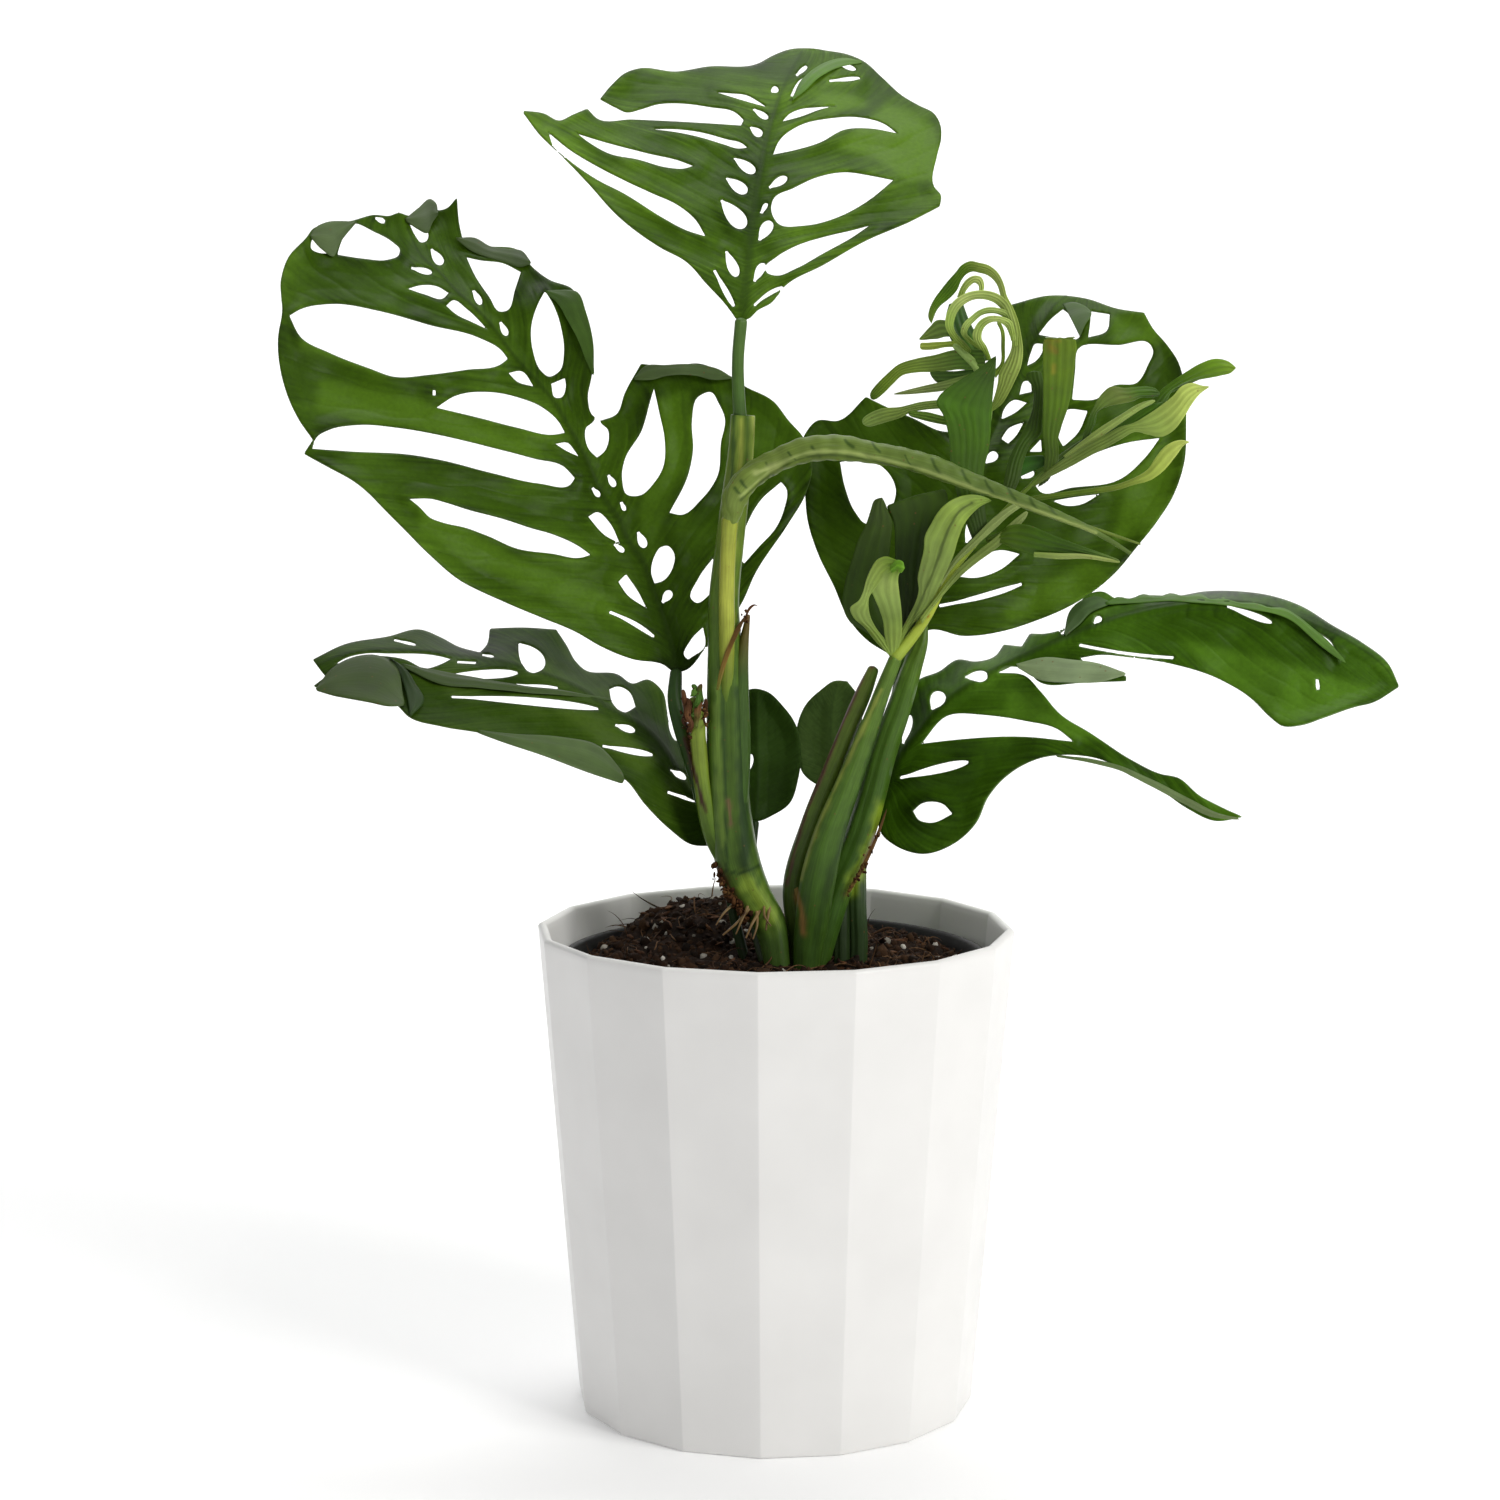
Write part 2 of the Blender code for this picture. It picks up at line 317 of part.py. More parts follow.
# Curly leaf: ribbons given by a middle line and half the ribbon as a vector, all in front-view terms.
CURLY_RIB = [(976, 458, 20, 1.5), (984, 435, 21, 1.5), (988, 410, 22, 1.6), (984, 385, 23, 1.7),
             (976, 366, 22, 1.6), (964, 354, 20, 1.3), (955, 346, 18, 1.0)]
CURLY_RIBBONS = [
    [(987, 416, 20, 4, 3, 3), (1000, 396, 16, 8, 3, 3), (1012, 372, 14, 9, 3, 3), (1015, 345, 14, 7, -1, 4),
     (1010, 318, 15, 6, -2, 5), (1004, 292, 17, 5, -2, 6), (995, 273, 20, 4, -3, 6), (982, 266, 22, 1, -5, 6),
     (968, 269, 24, -3, -6, 5), (956, 282, 26, -8, -5, 3), (946, 298, 27, -8, -4, 2), (935, 312, 28, -5, -3, 1),
     (932, 324, 28, -2, -1, 0)],
    [(1011, 350, 11, 4, 1, 2), (1009, 325, 7, 4, 2, 3), (996, 303, 5, 3, 4, 3), (974, 295, 5, 0, 6, 3),
     (955, 303, 6, -4, 5, 3), (947, 320, 8, -5, 0, 3), (951, 336, 11, -4, -4, 2), (960, 347, 15, -3, -4, 2),
     (964, 354, 20, 0, -4, 2)],
    [(1005, 356, 15, 4, 1, 2), (1005, 333, 12, 4, 2, 3), (995, 319, 10, 3, 4, 3), (978, 318, 10, 0, 5, 3),
     (969, 329, 11, -4, 2, 3), (972, 343, 14, -4, -3, 2), (977, 366, 22, -2, -3, 1)],
    [(966, 352, 20, 1, 4, 2), (952, 341, 24, -1, 7, 2), (938, 335, 27, -2, 8, 2), (924, 336, 29, -2, 5, 1),
     (919, 339, 30, 0, 2, 0)],
    [(974, 366, 22, 1, 5, 2), (950, 361, 25, 0, 8, 1), (922, 364, 28, 1, 8, 0), (902, 369, 30, 2, 7, 0),
     (886, 380, 32, 4, 6, 0), (876, 391, 33, 5, 4, 0), (871, 399, 34, 4, 3, 0)],
    [(980, 376, 22, 1, 4, 1), (955, 380, 24, 1, 6, 1), (932, 386, 26, 1, 5, 0), (910, 390, 28, 0, 3, 0),
     (894, 394, 29, 0, 1, 0)],
    [(986, 402, 21, 1, 4, 1), (950, 402, 25, 0, 4, 1), (922, 403, 29, 0, 4, 0), (900, 411, 32, 1, 6, 0),
     (880, 418, 35, 1, 7, 0), (864, 424, 37, 0, 3, 0)],
    [(986, 422, 21, 1, 4, 1), (960, 424, 24, 1, 4, 0), (938, 417, 27, 1, 4, 0), (920, 412, 30, 1, 3, 0),
     (906, 409, 32, 0, 1, 0)],
    [(972, 275, 27, 8, 2, 0), (979, 290, 28, 16, 3, 0), (979, 315, 28, 19, 4, 0), (981, 340, 27, 16, 6, 0),
     (980, 369, 22.1, 8, 3, 0.2)],
]

# Stems and leaf stalks: (across, down, back, radius in millimetres) along each middle line.
LEFT_MAIN = [(781, 1050, -4, 3.8), (780, 1000, -3, 4.2), (777, 960, -2, 4.8), (770, 925, 0, 5.8),
             (752, 895, 0, 6.9), (739, 866, 0, 7.8), (732, 828, 0, 7.5), (727, 760, 0, 7.0),
             (726, 700, 0, 6.7), (725, 650, 0, 6.0), (724, 600, 0, 5.3), (729, 550, 0, 5.0),
             (735, 500, 1, 4.8), (741, 450, 1, 4.5), (743, 416, 1, 4.3)]
LEFT_STALKS = [
    [(742, 440, 1, 2.4), (739, 400, 1, 2.2), (738, 360, 1, 2.1), (741, 322, 0, 2.2)],
    [(728, 740, -5, 2.4), (727, 640, -5.5, 2.7), (727, 580, -6, 2.7), (729, 535, -7, 2.8),
     (730, 520, -8.2, 3.0)],
    [(735, 800, -1, 5.0), (740, 740, -1, 3.8), (741, 690, -2, 2.8), (743, 650, -2, 2.0), (748, 616, -2, 0.8)],
    [(676, 673, 12, 2.2), (675, 700, 8, 2.7), (680, 725, 5, 2.7), (688, 752, 3, 2.6), (698, 785, 3, 2.6),
     (714, 840, 3, 3.0), (735, 872, 1, 3.4)],
    [(692, 692, -4, 2.6), (696, 704, -4, 3.4), (698, 740, -4, 2.8), (703, 790, -3, 3.0), (714, 836, -1, 3.6),
     (732, 868, 0, 4.0)],
    [(708, 804, 17.4, 1.5), (714, 832, 15.5, 2.0), (725, 858, 11, 2.2), (740, 878, 4, 2.6)],
    [(755, 823, 22, 1.5), (752, 850, 19, 1.6), (752, 890, 12, 1.7), (757, 935, 6, 1.8), (768, 975, 1, 1.9),
     (777, 1010, -2, 2.0)],
    [(752, 905, -4, 1.3), (738, 922, -8, 1.0), (723, 935, -10, 0.6)],
    [(762, 908, -4, 1.3), (752, 924, -9, 1.0), (746, 938, -11, 0.6)],
    [(770, 905, -4, 1.2), (767, 922, -8, 0.9), (766, 930, -9, 0.6)],
]
RIGHT_MAIN = [(812, 1050, -3, 4.2), (808, 1000, -3, 4.6), (807, 965, -3, 5.0), (812, 920, -3, 6.0),
              (818, 880, -3, 6.2), (831, 829, -3, 5.4), (846, 790, -3, 4.6), (859, 756, -3, 4.0),
              (873, 718, -3, 3.2), (885, 685, -3, 2.7), (895, 660, -3, 2.4)]
RIGHT_STALKS = [
    [(804, 985, 3, 3.4), (797, 930, 4, 3.6), (793, 890, 4, 3.6), (811, 824, 3, 3.5), (832, 770, 3, 3.3),
     (852, 720, 3, 3.0), (864, 692, 3, 2.8), (873, 670, 3, 2.0)],
    [(812, 985, 3, 4.0), (826, 930, 4, 4.6), (839, 885, 6, 5.2), (856, 845, 7, 5.3), (870, 803, 7, 4.9),
     (884, 752, 7, 4.5), (900, 705, 7, 4.2), (913, 665, 8, 3.4), (922, 640, 9, 2.2), (925, 624, 10, 1.0)],
    [(906, 646, 22, 1.7), (903, 665, 19, 2.1), (896, 705, 14, 2.4), (884, 752, 9, 2.8)],
    [(841, 1020, 5, 2.2), (841, 960, 6, 2.3), (841, 900, 9, 2.3), (842, 850, 15, 2.0), (838, 806, 22, 1.7),
     (836, 792, 24, 1.6)],
    [(818, 1042, -2, 2.4), (845, 1010, 5, 2.4), (857, 965, 8, 2.5), (857, 900, 10, 2.5), (859, 850, 15, 2.3),
     (869, 805, 18, 2.1), (878, 788, 17, 2.0), (882, 781, 15.5, 1.8)],
    [(903, 690, 9, 3.0), (918, 640, 12, 2.2), (935, 575, 15, 1.8), (958, 512, 18, 1.6),
     (975.5, 459.6, 20, 1.5)],
]
ROLLED_LEAF = [(730.5, 518.2, -8.5, 3.0), (734, 499, -10, 4.4), (744, 482, -10.5, 4.5), (757, 471, -11, 4.5),
               (773, 462, -12, 4.5), (803, 450, -15, 4.5), (832, 447, -17, 4.4), (876, 453, -20, 3.9),
               (920, 463, -22, 3.8), (964, 479, -24, 3.4), (1008, 495, -26, 2.6), (1052, 513, -28, 1.8),
               (1096, 532, -29, 1.1), (1130, 553, -30, 0.6)]

COLOURS = {
    "planter": (0.82, 0.81, 0.80, 0.42),
    "nursery_pot": (0.012, 0.012, 0.012, 0.55),
    "soil": (0.030, 0.016, 0.009, 0.95),
    "stem": (0.075, 0.180, 0.030, 0.45),
    "rolled_leaf": (0.200, 0.330, 0.070, 0.50),
    "leaf": (0.035, 0.110, 0.010, 0.40),
    "young_leaf": (0.100, 0.230, 0.030, 0.45),
    "curly_leaf": (0.300, 0.430, 0.150, 0.50),
}


def spot(point):
    """Metres for a front-view point: the place on its line of sight that is 'back' behind the axis."""
    across, down, back = point[:3]
    side = (across - FRAME_MIDDLE) / FRAME_REACH
    rise = (FRAME_MIDDLE - down) / FRAME_REACH
    forward = math.cos(EYE_DOWN) + rise * math.sin(EYE_DOWN)
    upward = rise * math.cos(EYE_DOWN) - math.sin(EYE_DOWN)
    reach = (back * MM - EYE[1]) / forward
    return Vector((EYE[0] + reach * side, back * MM, EYE[2] + reach * upward))


def material(name, key):
    """A plain Principled material in the piece's colour (linear) and roughness."""
    made = bpy.data.materials.new(name)
    made.use_nodes = True
    shader = made.node_tree.nodes["Principled BSDF"]
    red, green, blue, rough = COLOURS[key]
    shader.inputs["Base Color"].default_value = (red, green, blue, 1.0)
    shader.inputs["Roughness"].default_value = rough
    shader.inputs["Metallic"].default_value = 0.0
    return made


def add_object(name, mesh, collection, key=None):
    """Links a mesh as an object, with its own material where a colour is named."""
    made = bpy.data.objects.new(name, mesh)
    collection.objects.link(made)
    if key:
        made.data.materials.clear()
        made.data.materials.append(material(name + "_finish", key))
    return made


def resample(points, count):
    """count points spread evenly by length along the straight runs between the given points."""
    points = np.array(points, float)
    steps = np.hypot(*(points[1:, :2] - points[:-1, :2]).T)
    along = np.concatenate([[0.0], np.cumsum(steps)])
    places = np.linspace(0.0, along[-1], count)
    return np.stack([np.interp(places, along, column) for column in points.T], 1)


def rounded(points, parts):
    """A smooth run through the points: each gap is split in parts on a Catmull-Rom curve."""
    points = np.array(points, float)
    padded = np.vstack([2 * points[0] - points[1], points, 2 * points[-1] - points[-2]])
    run = []
    for k in range(1, len(padded) - 2):
        before, start, end, after = padded[k - 1:k + 3]
        for t in np.arange(parts) / parts:
            run.append(0.5 * (2 * start + (end - before) * t
                              + (2 * before - 5 * start + 4 * end - after) * t ** 2
                              + (3 * start - before - 3 * end + after) * t ** 3))
    run.append(points[-1])
    return np.array(run)


def blade_table(leaf, along=57, across=9):
    """Places on the leaf's two ruled halves, each spanned from the rib to a margin."""
    rib = resample(leaf["rib"], along)
    rows = []
    for margin in ("left", "right"):
        edge = resample(leaf[margin], along)
        for share in np.linspace(0.0, 1.0, across):
            rows.append(rib + (edge - rib) * share)
    return np.vstack(rows)


def depths(table, places):
    """How far back the blade is at each front-view place: a plane fitted to the table nearby."""
    found = np.empty(len(places))
    for k, place in enumerate(places):
        away = table[:, :2] - place
        weight = np.exp(-(away ** 2).sum(1) / FIT_REACH ** 2) + 1e-9
        terms = np.column_stack([np.ones(len(away)), away]) * np.sqrt(weight)[:, None]
        found[k] = np.linalg.lstsq(terms, table[:, 2] * np.sqrt(weight), rcond=None)[0][0]
    return found


def slit_outline(slit):
    """Ten points round a slit: pointed at its start, round at its end, bowed to one side."""
    x0, y0, x1, y1, width, bow = slit
    start, end = np.array([x0, y0], float), np.array([x1, y1], float)
    run = end - start
    normal = np.array([-run[1], run[0]]) / np.hypot(*run)
    shares = np.array([0.0, 0.12, 0.35, 0.65, 0.88, 1.0])
    half = width / 2 * np.array([0.0, 0.45, 0.85, 1.0, 0.75, 0.0])
    middle = start + run * shares[:, None] + normal * (bow * 4 * shares * (1 - shares))[:, None]
    near = middle + normal * half[:, None]
    far = middle - normal * half[:, None]
    return [tuple(p) for p in near] + [tuple(p) for p in far[-2:0:-1]]


def inside(places, outline):
    """Which places lie in a closed outline, by counting the edges a level ray crosses."""
    outline = np.array(outline, float)
    x, y = places[:, 0][:, None], places[:, 1][:, None]
    x0, y0 = outline.T
    x1, y1 = np.roll(outline, -1, 0).T
    spans = (y0 > y) != (y1 > y)
    slope = (x1 - x0) / np.where(y1 == y0, 1e-9, y1 - y0)
    return (spans & (x < x0 + (y - y0) * slope)).sum(1) % 2 == 1


def edge_distance(places, outline):
    """Distance of each place to the nearest edge of a closed outline."""
    outline = np.array(outline, float)
    start, run = outline, np.roll(outline, -1, 0) - outline
    away = places[:, None] - start[None]
    share = np.clip((away * run).sum(2) / ((run ** 2).sum(1) + 1e-9), 0.0, 1.0)
    return np.hypot(*np.moveaxis(away - share[..., None] * run, 2, 0)).min(1)


def split_long(outline, longest=40.0):
    """The outline with its long edges split, so that no triangle gets too thin."""
    split = []
    for k, start in enumerate(outline):
        end = outline[(k + 1) % len(outline)]
        parts = max(1, math.ceil(math.dist(start, end) / longest))
        split += [(start[0] + (end[0] - start[0]) * t / parts, start[1] + (end[1] - start[1]) * t / parts)
                  for t in range(parts)]
    return split


def blade_mesh(name, leaf):
    """The blade's middle sheet: its outline less its holes, triangulated and set back in depth."""
    outline = leaf.get("outline") or [p[:2] for p in leaf["left"]] + [p[:2] for p in leaf["right"][::-1]]
    outline = split_long(outline)
    holes = [slit_outline(slit) for slit in leaf["slits"]] + leaf["holes"]
    rib = resample(leaf["rib"], max(6, int(len(leaf["rib"]) * 1.3)))[:-1, :2]
    run = np.gradient(rib, axis=0)
    normal = np.column_stack([-run[:, 1], run[:, 0]]) / np.hypot(*run.T)[:, None]
    taper = np.linspace(1.0, 0.5, len(rib))[:, None] * RIB_HALF_WIDTH
    low, high = np.min(outline, 0), np.max(outline, 0)
    rows = int((high[1] - low[1]) / BLADE_STEP) + 1
    columns = int((high[0] - low[0]) / BLADE_STEP) + 1
    filling = np.array([(low[0] + (i + 0.5 * (j % 2) + 0.25) * BLADE_STEP, low[1] + (j + 0.5) * BLADE_STEP)
                        for j in range(rows) for i in range(columns)])
    filling = filling[edge_distance(filling, [tuple(p) for p in rib] + [tuple(p) for p in rib[::-1]]) > 15.0]
    inner = np.vstack([rib[1:], (rib + normal * taper)[1:], (rib - normal * taper)[1:], filling])
    keep = inside(inner, outline) & (edge_distance(inner, outline) > HOLE_CLEAR * 0.6)
    for hole in holes:
        keep &= ~inside(inner, hole) & (edge_distance(inner, hole) > HOLE_CLEAR * 0.5)
    points, edges = [], []
    for loop in [outline] + holes:
        first = len(points)
        points += [tuple(p) for p in loop]
        edges += [(first + k, first + (k + 1) % len(loop)) for k in range(len(loop))]
    points += [tuple(p) for p in inner[keep]]
    verts, _, faces, _, _, _ = delaunay_2d_cdt([Vector(p) for p in points], edges, [], 0, 0.3)
    flat = np.array([tuple(v) for v in verts])
    middles = np.array([flat[list(face)].mean(0) for face in faces])
    wanted = inside(middles, outline)
    for hole in holes:
        wanted &= ~inside(middles, hole)
    back = depths(blade_table(leaf), flat)
    mesh = bpy.data.meshes.new(name)
    mesh.from_pydata([spot((x, y, b)) for (x, y), b in zip(flat, back)], [],
                     [face for face, want in zip(faces, wanted) if want])
    ribline = [tuple(p) for p in rib] + [tuple(p) for p in rib[::-1]]
    return mesh, edge_distance(flat, ribline)


def tidy_mesh(mesh, merge=0.00002):
    """Drops loose points, merges doubles, makes triangles and turns all faces the same way out."""
    work = bmesh.new()
    work.from_mesh(mesh)
    bmesh.ops.remove_doubles(work, verts=work.verts, dist=merge)
    bmesh.ops.triangulate(work, faces=work.faces)
    bmesh.ops.delete(work, geom=[v for v in work.verts if not v.link_faces], context="VERTS")
    bmesh.ops.recalc_face_normals(work, faces=work.faces)
    work.to_mesh(mesh)
    work.free()


def blade(name, leaf, collection):
    """A leaf blade: the middle sheet given its thickness, which grows towards the rib."""
    mesh, rib_away = blade_mesh(name, leaf)
    made = add_object(name, mesh, collection, "leaf")
    group = made.vertex_groups.new(name="rib")
    for k, away in enumerate(rib_away):
        group.add([k], max(0.0, 1.0 - away / RIB_HALF_WIDTH), "REPLACE")
    tidy_mesh(mesh)
    wall = made.modifiers.new("wall", "SOLIDIFY")
    wall.thickness = BLADE_THICKNESS
    wall.offset = 0.0
    wall.vertex_group = "rib"
    wall.thickness_vertex_group = BLADE_THIN_SHARE
    return made


def as_mesh(made, merge=0.00002):
    """The evaluated object as a plain mesh object, with the first one removed."""
    bpy.context.view_layer.update()
    graph = bpy.context.evaluated_depsgraph_get()
    mesh = bpy.data.meshes.new_from_object(made.evaluated_get(graph), depsgraph=graph)
    name, place = made.name, made.matrix_world.copy()
    collection = made.users_collection[0]
    bpy.data.objects.remove(made)
    solid = bpy.data.objects.new(name, mesh)
    solid.matrix_world = place
    collection.objects.link(solid)
    tidy_mesh(mesh, merge)
    return solid


def sheet(name, edge_a, edge_b, collection, parts=1, across=1):
    """A strap: a sheet between two edges that are smooth through their points, given its thickness."""
    a, b = rounded(edge_a, parts), rounded(edge_b, parts)
    shares = np.linspace(0.0, 1.0, across + 1)
    verts = [spot(p + (q - p) * share) for p, q in zip(a, b) for share in shares]
    faces = []
    for k in range(len(a) - 1):
        for j in range(across):
            first = k * (across + 1) + j
            below = first + across + 1
            faces += [(first, below, below + 1), (first, below + 1, first + 1)]
    mesh = bpy.data.meshes.new(name)
    mesh.from_pydata(verts, [], faces)
    made = add_object(name, mesh, collection)
    wall = made.modifiers.new("wall", "SOLIDIFY")
    wall.thickness = LOBE_THICKNESS
    wall.offset = 0.0
    return as_mesh(made)


def tube(name, points, collection, parts=1, resolution=2):
    """A round stem along a smooth line, with a radius at each point and closed ends."""
    run = rounded(points, parts)
    curve = bpy.data.curves.new(name, "CURVE")
    curve.dimensions = "3D"
    curve.bevel_depth = MM
    curve.bevel_resolution = resolution
    curve.use_fill_caps = True
    spline = curve.splines.new("POLY")
    spline.points.add(len(run) - 1)
    for point, place in zip(spline.points, run):
        point.co = (*spot(place), 1.0)
        point.radius = place[3]
    made = bpy.data.objects.new(name, curve)
    collection.objects.link(made)
    return as_mesh(made)


def fuse(name, pieces, collection, key):
    """One body from pieces that grow into each other: each in turn is joined to the first."""
    made, rest = pieces[0], pieces[1:]
    for piece in rest:
        joint = made.modifiers.new("grown_together", "BOOLEAN")
        joint.operation = "UNION"
        joint.object = piece
        joint.solver = "MANIFOLD"
        made = as_mesh(made, FUSE_MERGE)
        bpy.data.objects.remove(piece)
    made.name = name
    made.data.name = name
    made.data.materials.clear()
    made.data.materials.append(material(name + "_finish", key))
    if made.name not in collection.objects:
        collection.objects.link(made)
    return made


def cut(made, cutter, solver="EXACT"):
    """Takes the cutter's shape out of the object; the cutter stays as a hidden wire guide."""
    cutter.hide_render = True
    cutter.display_type = "WIRE"
    less = made.modifiers.new("less_" + cutter.name, "BOOLEAN")
    less.operation = "DIFFERENCE"
    less.object = cutter
    less.solver = solver


def cone(name, collection, radius_low, radius_high, low, high, sides, turn=0.0):
    """A closed tapered prism between two heights; its first corner faces the front, plus the turn."""
    mesh = bpy.data.meshes.new(name)
    work = bmesh.new()
    bmesh.ops.create_cone(work, cap_ends=True, segments=sides, radius1=radius_low, radius2=radius_high,
                          depth=high - low)
    work.to_mesh(mesh)
    work.free()
    made = add_object(name, mesh, collection)
    made.location = (0.0, 0.0, (low + high) / 2)
    made.rotation_euler = (0.0, 0.0, turn)
    return made


def build_planter(parts, guides):
    """The faceted shell, hollowed by a smaller prism with the same taper."""
    planter = cone("planter", parts, PLANTER_BASE_RADIUS, PLANTER_TOP_RADIUS, 0.0, PLANTER_HEIGHT, SIDES,
                   PLANTER_TURN)
    planter.data.materials.append(material("planter_finish", "planter"))
    slope = (PLANTER_TOP_RADIUS - PLANTER_BASE_RADIUS) / PLANTER_HEIGHT
    wall = PLANTER_WALL / math.cos(math.pi / SIDES)
    over = 0.01
    hollow = cone("planter_hollow", guides, PLANTER_BASE_RADIUS + slope * PLANTER_FLOOR - wall,
                  PLANTER_TOP_RADIUS + slope * over - wall, PLANTER_FLOOR, PLANTER_HEIGHT + over, SIDES,
                  PLANTER_TURN)
    cut(planter, hollow)


def turned(name, profile, collection, key, steps):
    """A profile of (radius, height) pairs turned about the axis; outer side first, top to bottom."""
    mesh = bpy.data.meshes.new(name)
    mesh.from_pydata([(r, 0.0, z) for r, z in profile], [], [(k, k + 1) for k in range(len(profile) - 1)])
    made = add_object(name, mesh, collection, key)
    screw = made.modifiers.new("turn", "SCREW")
    screw.axis = "Z"
    screw.steps = steps
    screw.render_steps = steps
    screw.use_merge_vertices = True
    screw.merge_threshold = 0.00005
    return made


def build_liner(parts, guides):
    """The grower's pot: thin wall, turned-out lip, and drain holes in its floor."""
    low = PLANTER_FLOOR + GAP
    top = low + LINER_HEIGHT
    slope = (LINER_TOP_RADIUS - LINER_BASE_RADIUS) / LINER_HEIGHT
    under_lip = LINER_TOP_RADIUS - slope * LINER_LIP_HEIGHT - (LINER_LIP - LINER_WALL)
    profile = [(LINER_TOP_RADIUS - LINER_LIP, top), (LINER_TOP_RADIUS, top),
               (LINER_TOP_RADIUS, top - LINER_LIP_HEIGHT), (under_lip, top - LINER_LIP_HEIGHT),
               (LINER_BASE_RADIUS, low), (0.0, low), (0.0, low + LINER_FLOOR),
               (LINER_BASE_RADIUS - LINER_WALL, low + LINER_FLOOR),
               (under_lip - LINER_WALL, top - LINER_LIP_HEIGHT), (LINER_TOP_RADIUS - LINER_LIP, top)]
    liner = turned("nursery_pot", profile, parts, "nursery_pot", SOIL_SIDES)
    drills = []
    for k in range(DRAIN_COUNT):
        turn = 2 * math.pi * k / DRAIN_COUNT
        drill = cone(f"drain_{k + 1}", guides, DRAIN_RADIUS, DRAIN_RADIUS, low - 0.002,
                     low + LINER_FLOOR + 0.002, 12)
        drill.location.x = DRAIN_CIRCLE * math.cos(turn)
        drill.location.y = DRAIN_CIRCLE * math.sin(turn)
        drills.append(drill)
        cut(liner, drill)
    return low + LINER_FLOOR, top


def build_soil(parts, guides, floor, lip, stems):
    """The soil plug, low mounds on top, with a plain hole round each shoot."""
    slope = (LINER_TOP_RADIUS - LINER_BASE_RADIUS) / LINER_HEIGHT
    low = floor + GAP
    top = lip - SOIL_BELOW_LIP
    wide = LINER_TOP_RADIUS - LINER_LIP - GAP * 1.5 - slope * SOIL_BELOW_LIP - 0.0004
    narrow = LINER_BASE_RADIUS - LINER_WALL - GAP * 2
    # Under the lip the liner's inner wall steps in, so the plug follows the wall below the lip.
    step_in = LINER_LIP_HEIGHT + 0.003
    neck = LINER_TOP_RADIUS - slope * step_in - LINER_LIP - GAP * 2
    rings = [(wide * k / SOIL_RINGS, top) for k in range(SOIL_RINGS + 1)]
    profile = rings + [(neck, lip - step_in), (narrow, low), (0.0, low)]
    soil = as_mesh(turned("soil", profile, parts, "soil", SOIL_SIDES))
    for vert in soil.data.vertices:
        away = math.hypot(vert.co.x, vert.co.y)
        if vert.co.z > top - 1e-5 and away < wide * 0.98:
            wave = math.sin(vert.co.x * 95 + 1.0) * math.cos(vert.co.y * 80) + 0.6 * math.sin(vert.co.y * 140)
            vert.co.z += SOIL_SWELL * (0.5 + 0.5 * wave * (1 - (away / wide) ** 2))
    soil.data.materials.clear()
    soil.data.materials.append(material("soil_finish", "soil"))
    for shoot_name, lines in stems:
        holes = []
        for k, line in enumerate(lines):
            wider = [(x, y, b, r + STEM_CLEARANCE / MM) for x, y, b, r in line]
            holes.append(tube(f"{shoot_name}_hole_{k + 1}", wider, guides))
        hole = holes[0] if len(holes) == 1 else fuse(shoot_name + "_hole", holes, guides, "soil")
        cut(soil, hole, "MANIFOLD")


def underground(line, share=1.18, run_on=0.15):
    """The part of a stem's line that stands in the soil, carried a little further down."""
    low = [p for p in line if p[1] >= ABOVE_SOIL]
    low = low if low[0][1] > low[-1][1] else low[::-1]
    x, y, b, r = low[0]
    further = (x + (x - low[1][0]) * run_on, y + (y - low[1][1]) * run_on, b, r * share)
    return [further] + low


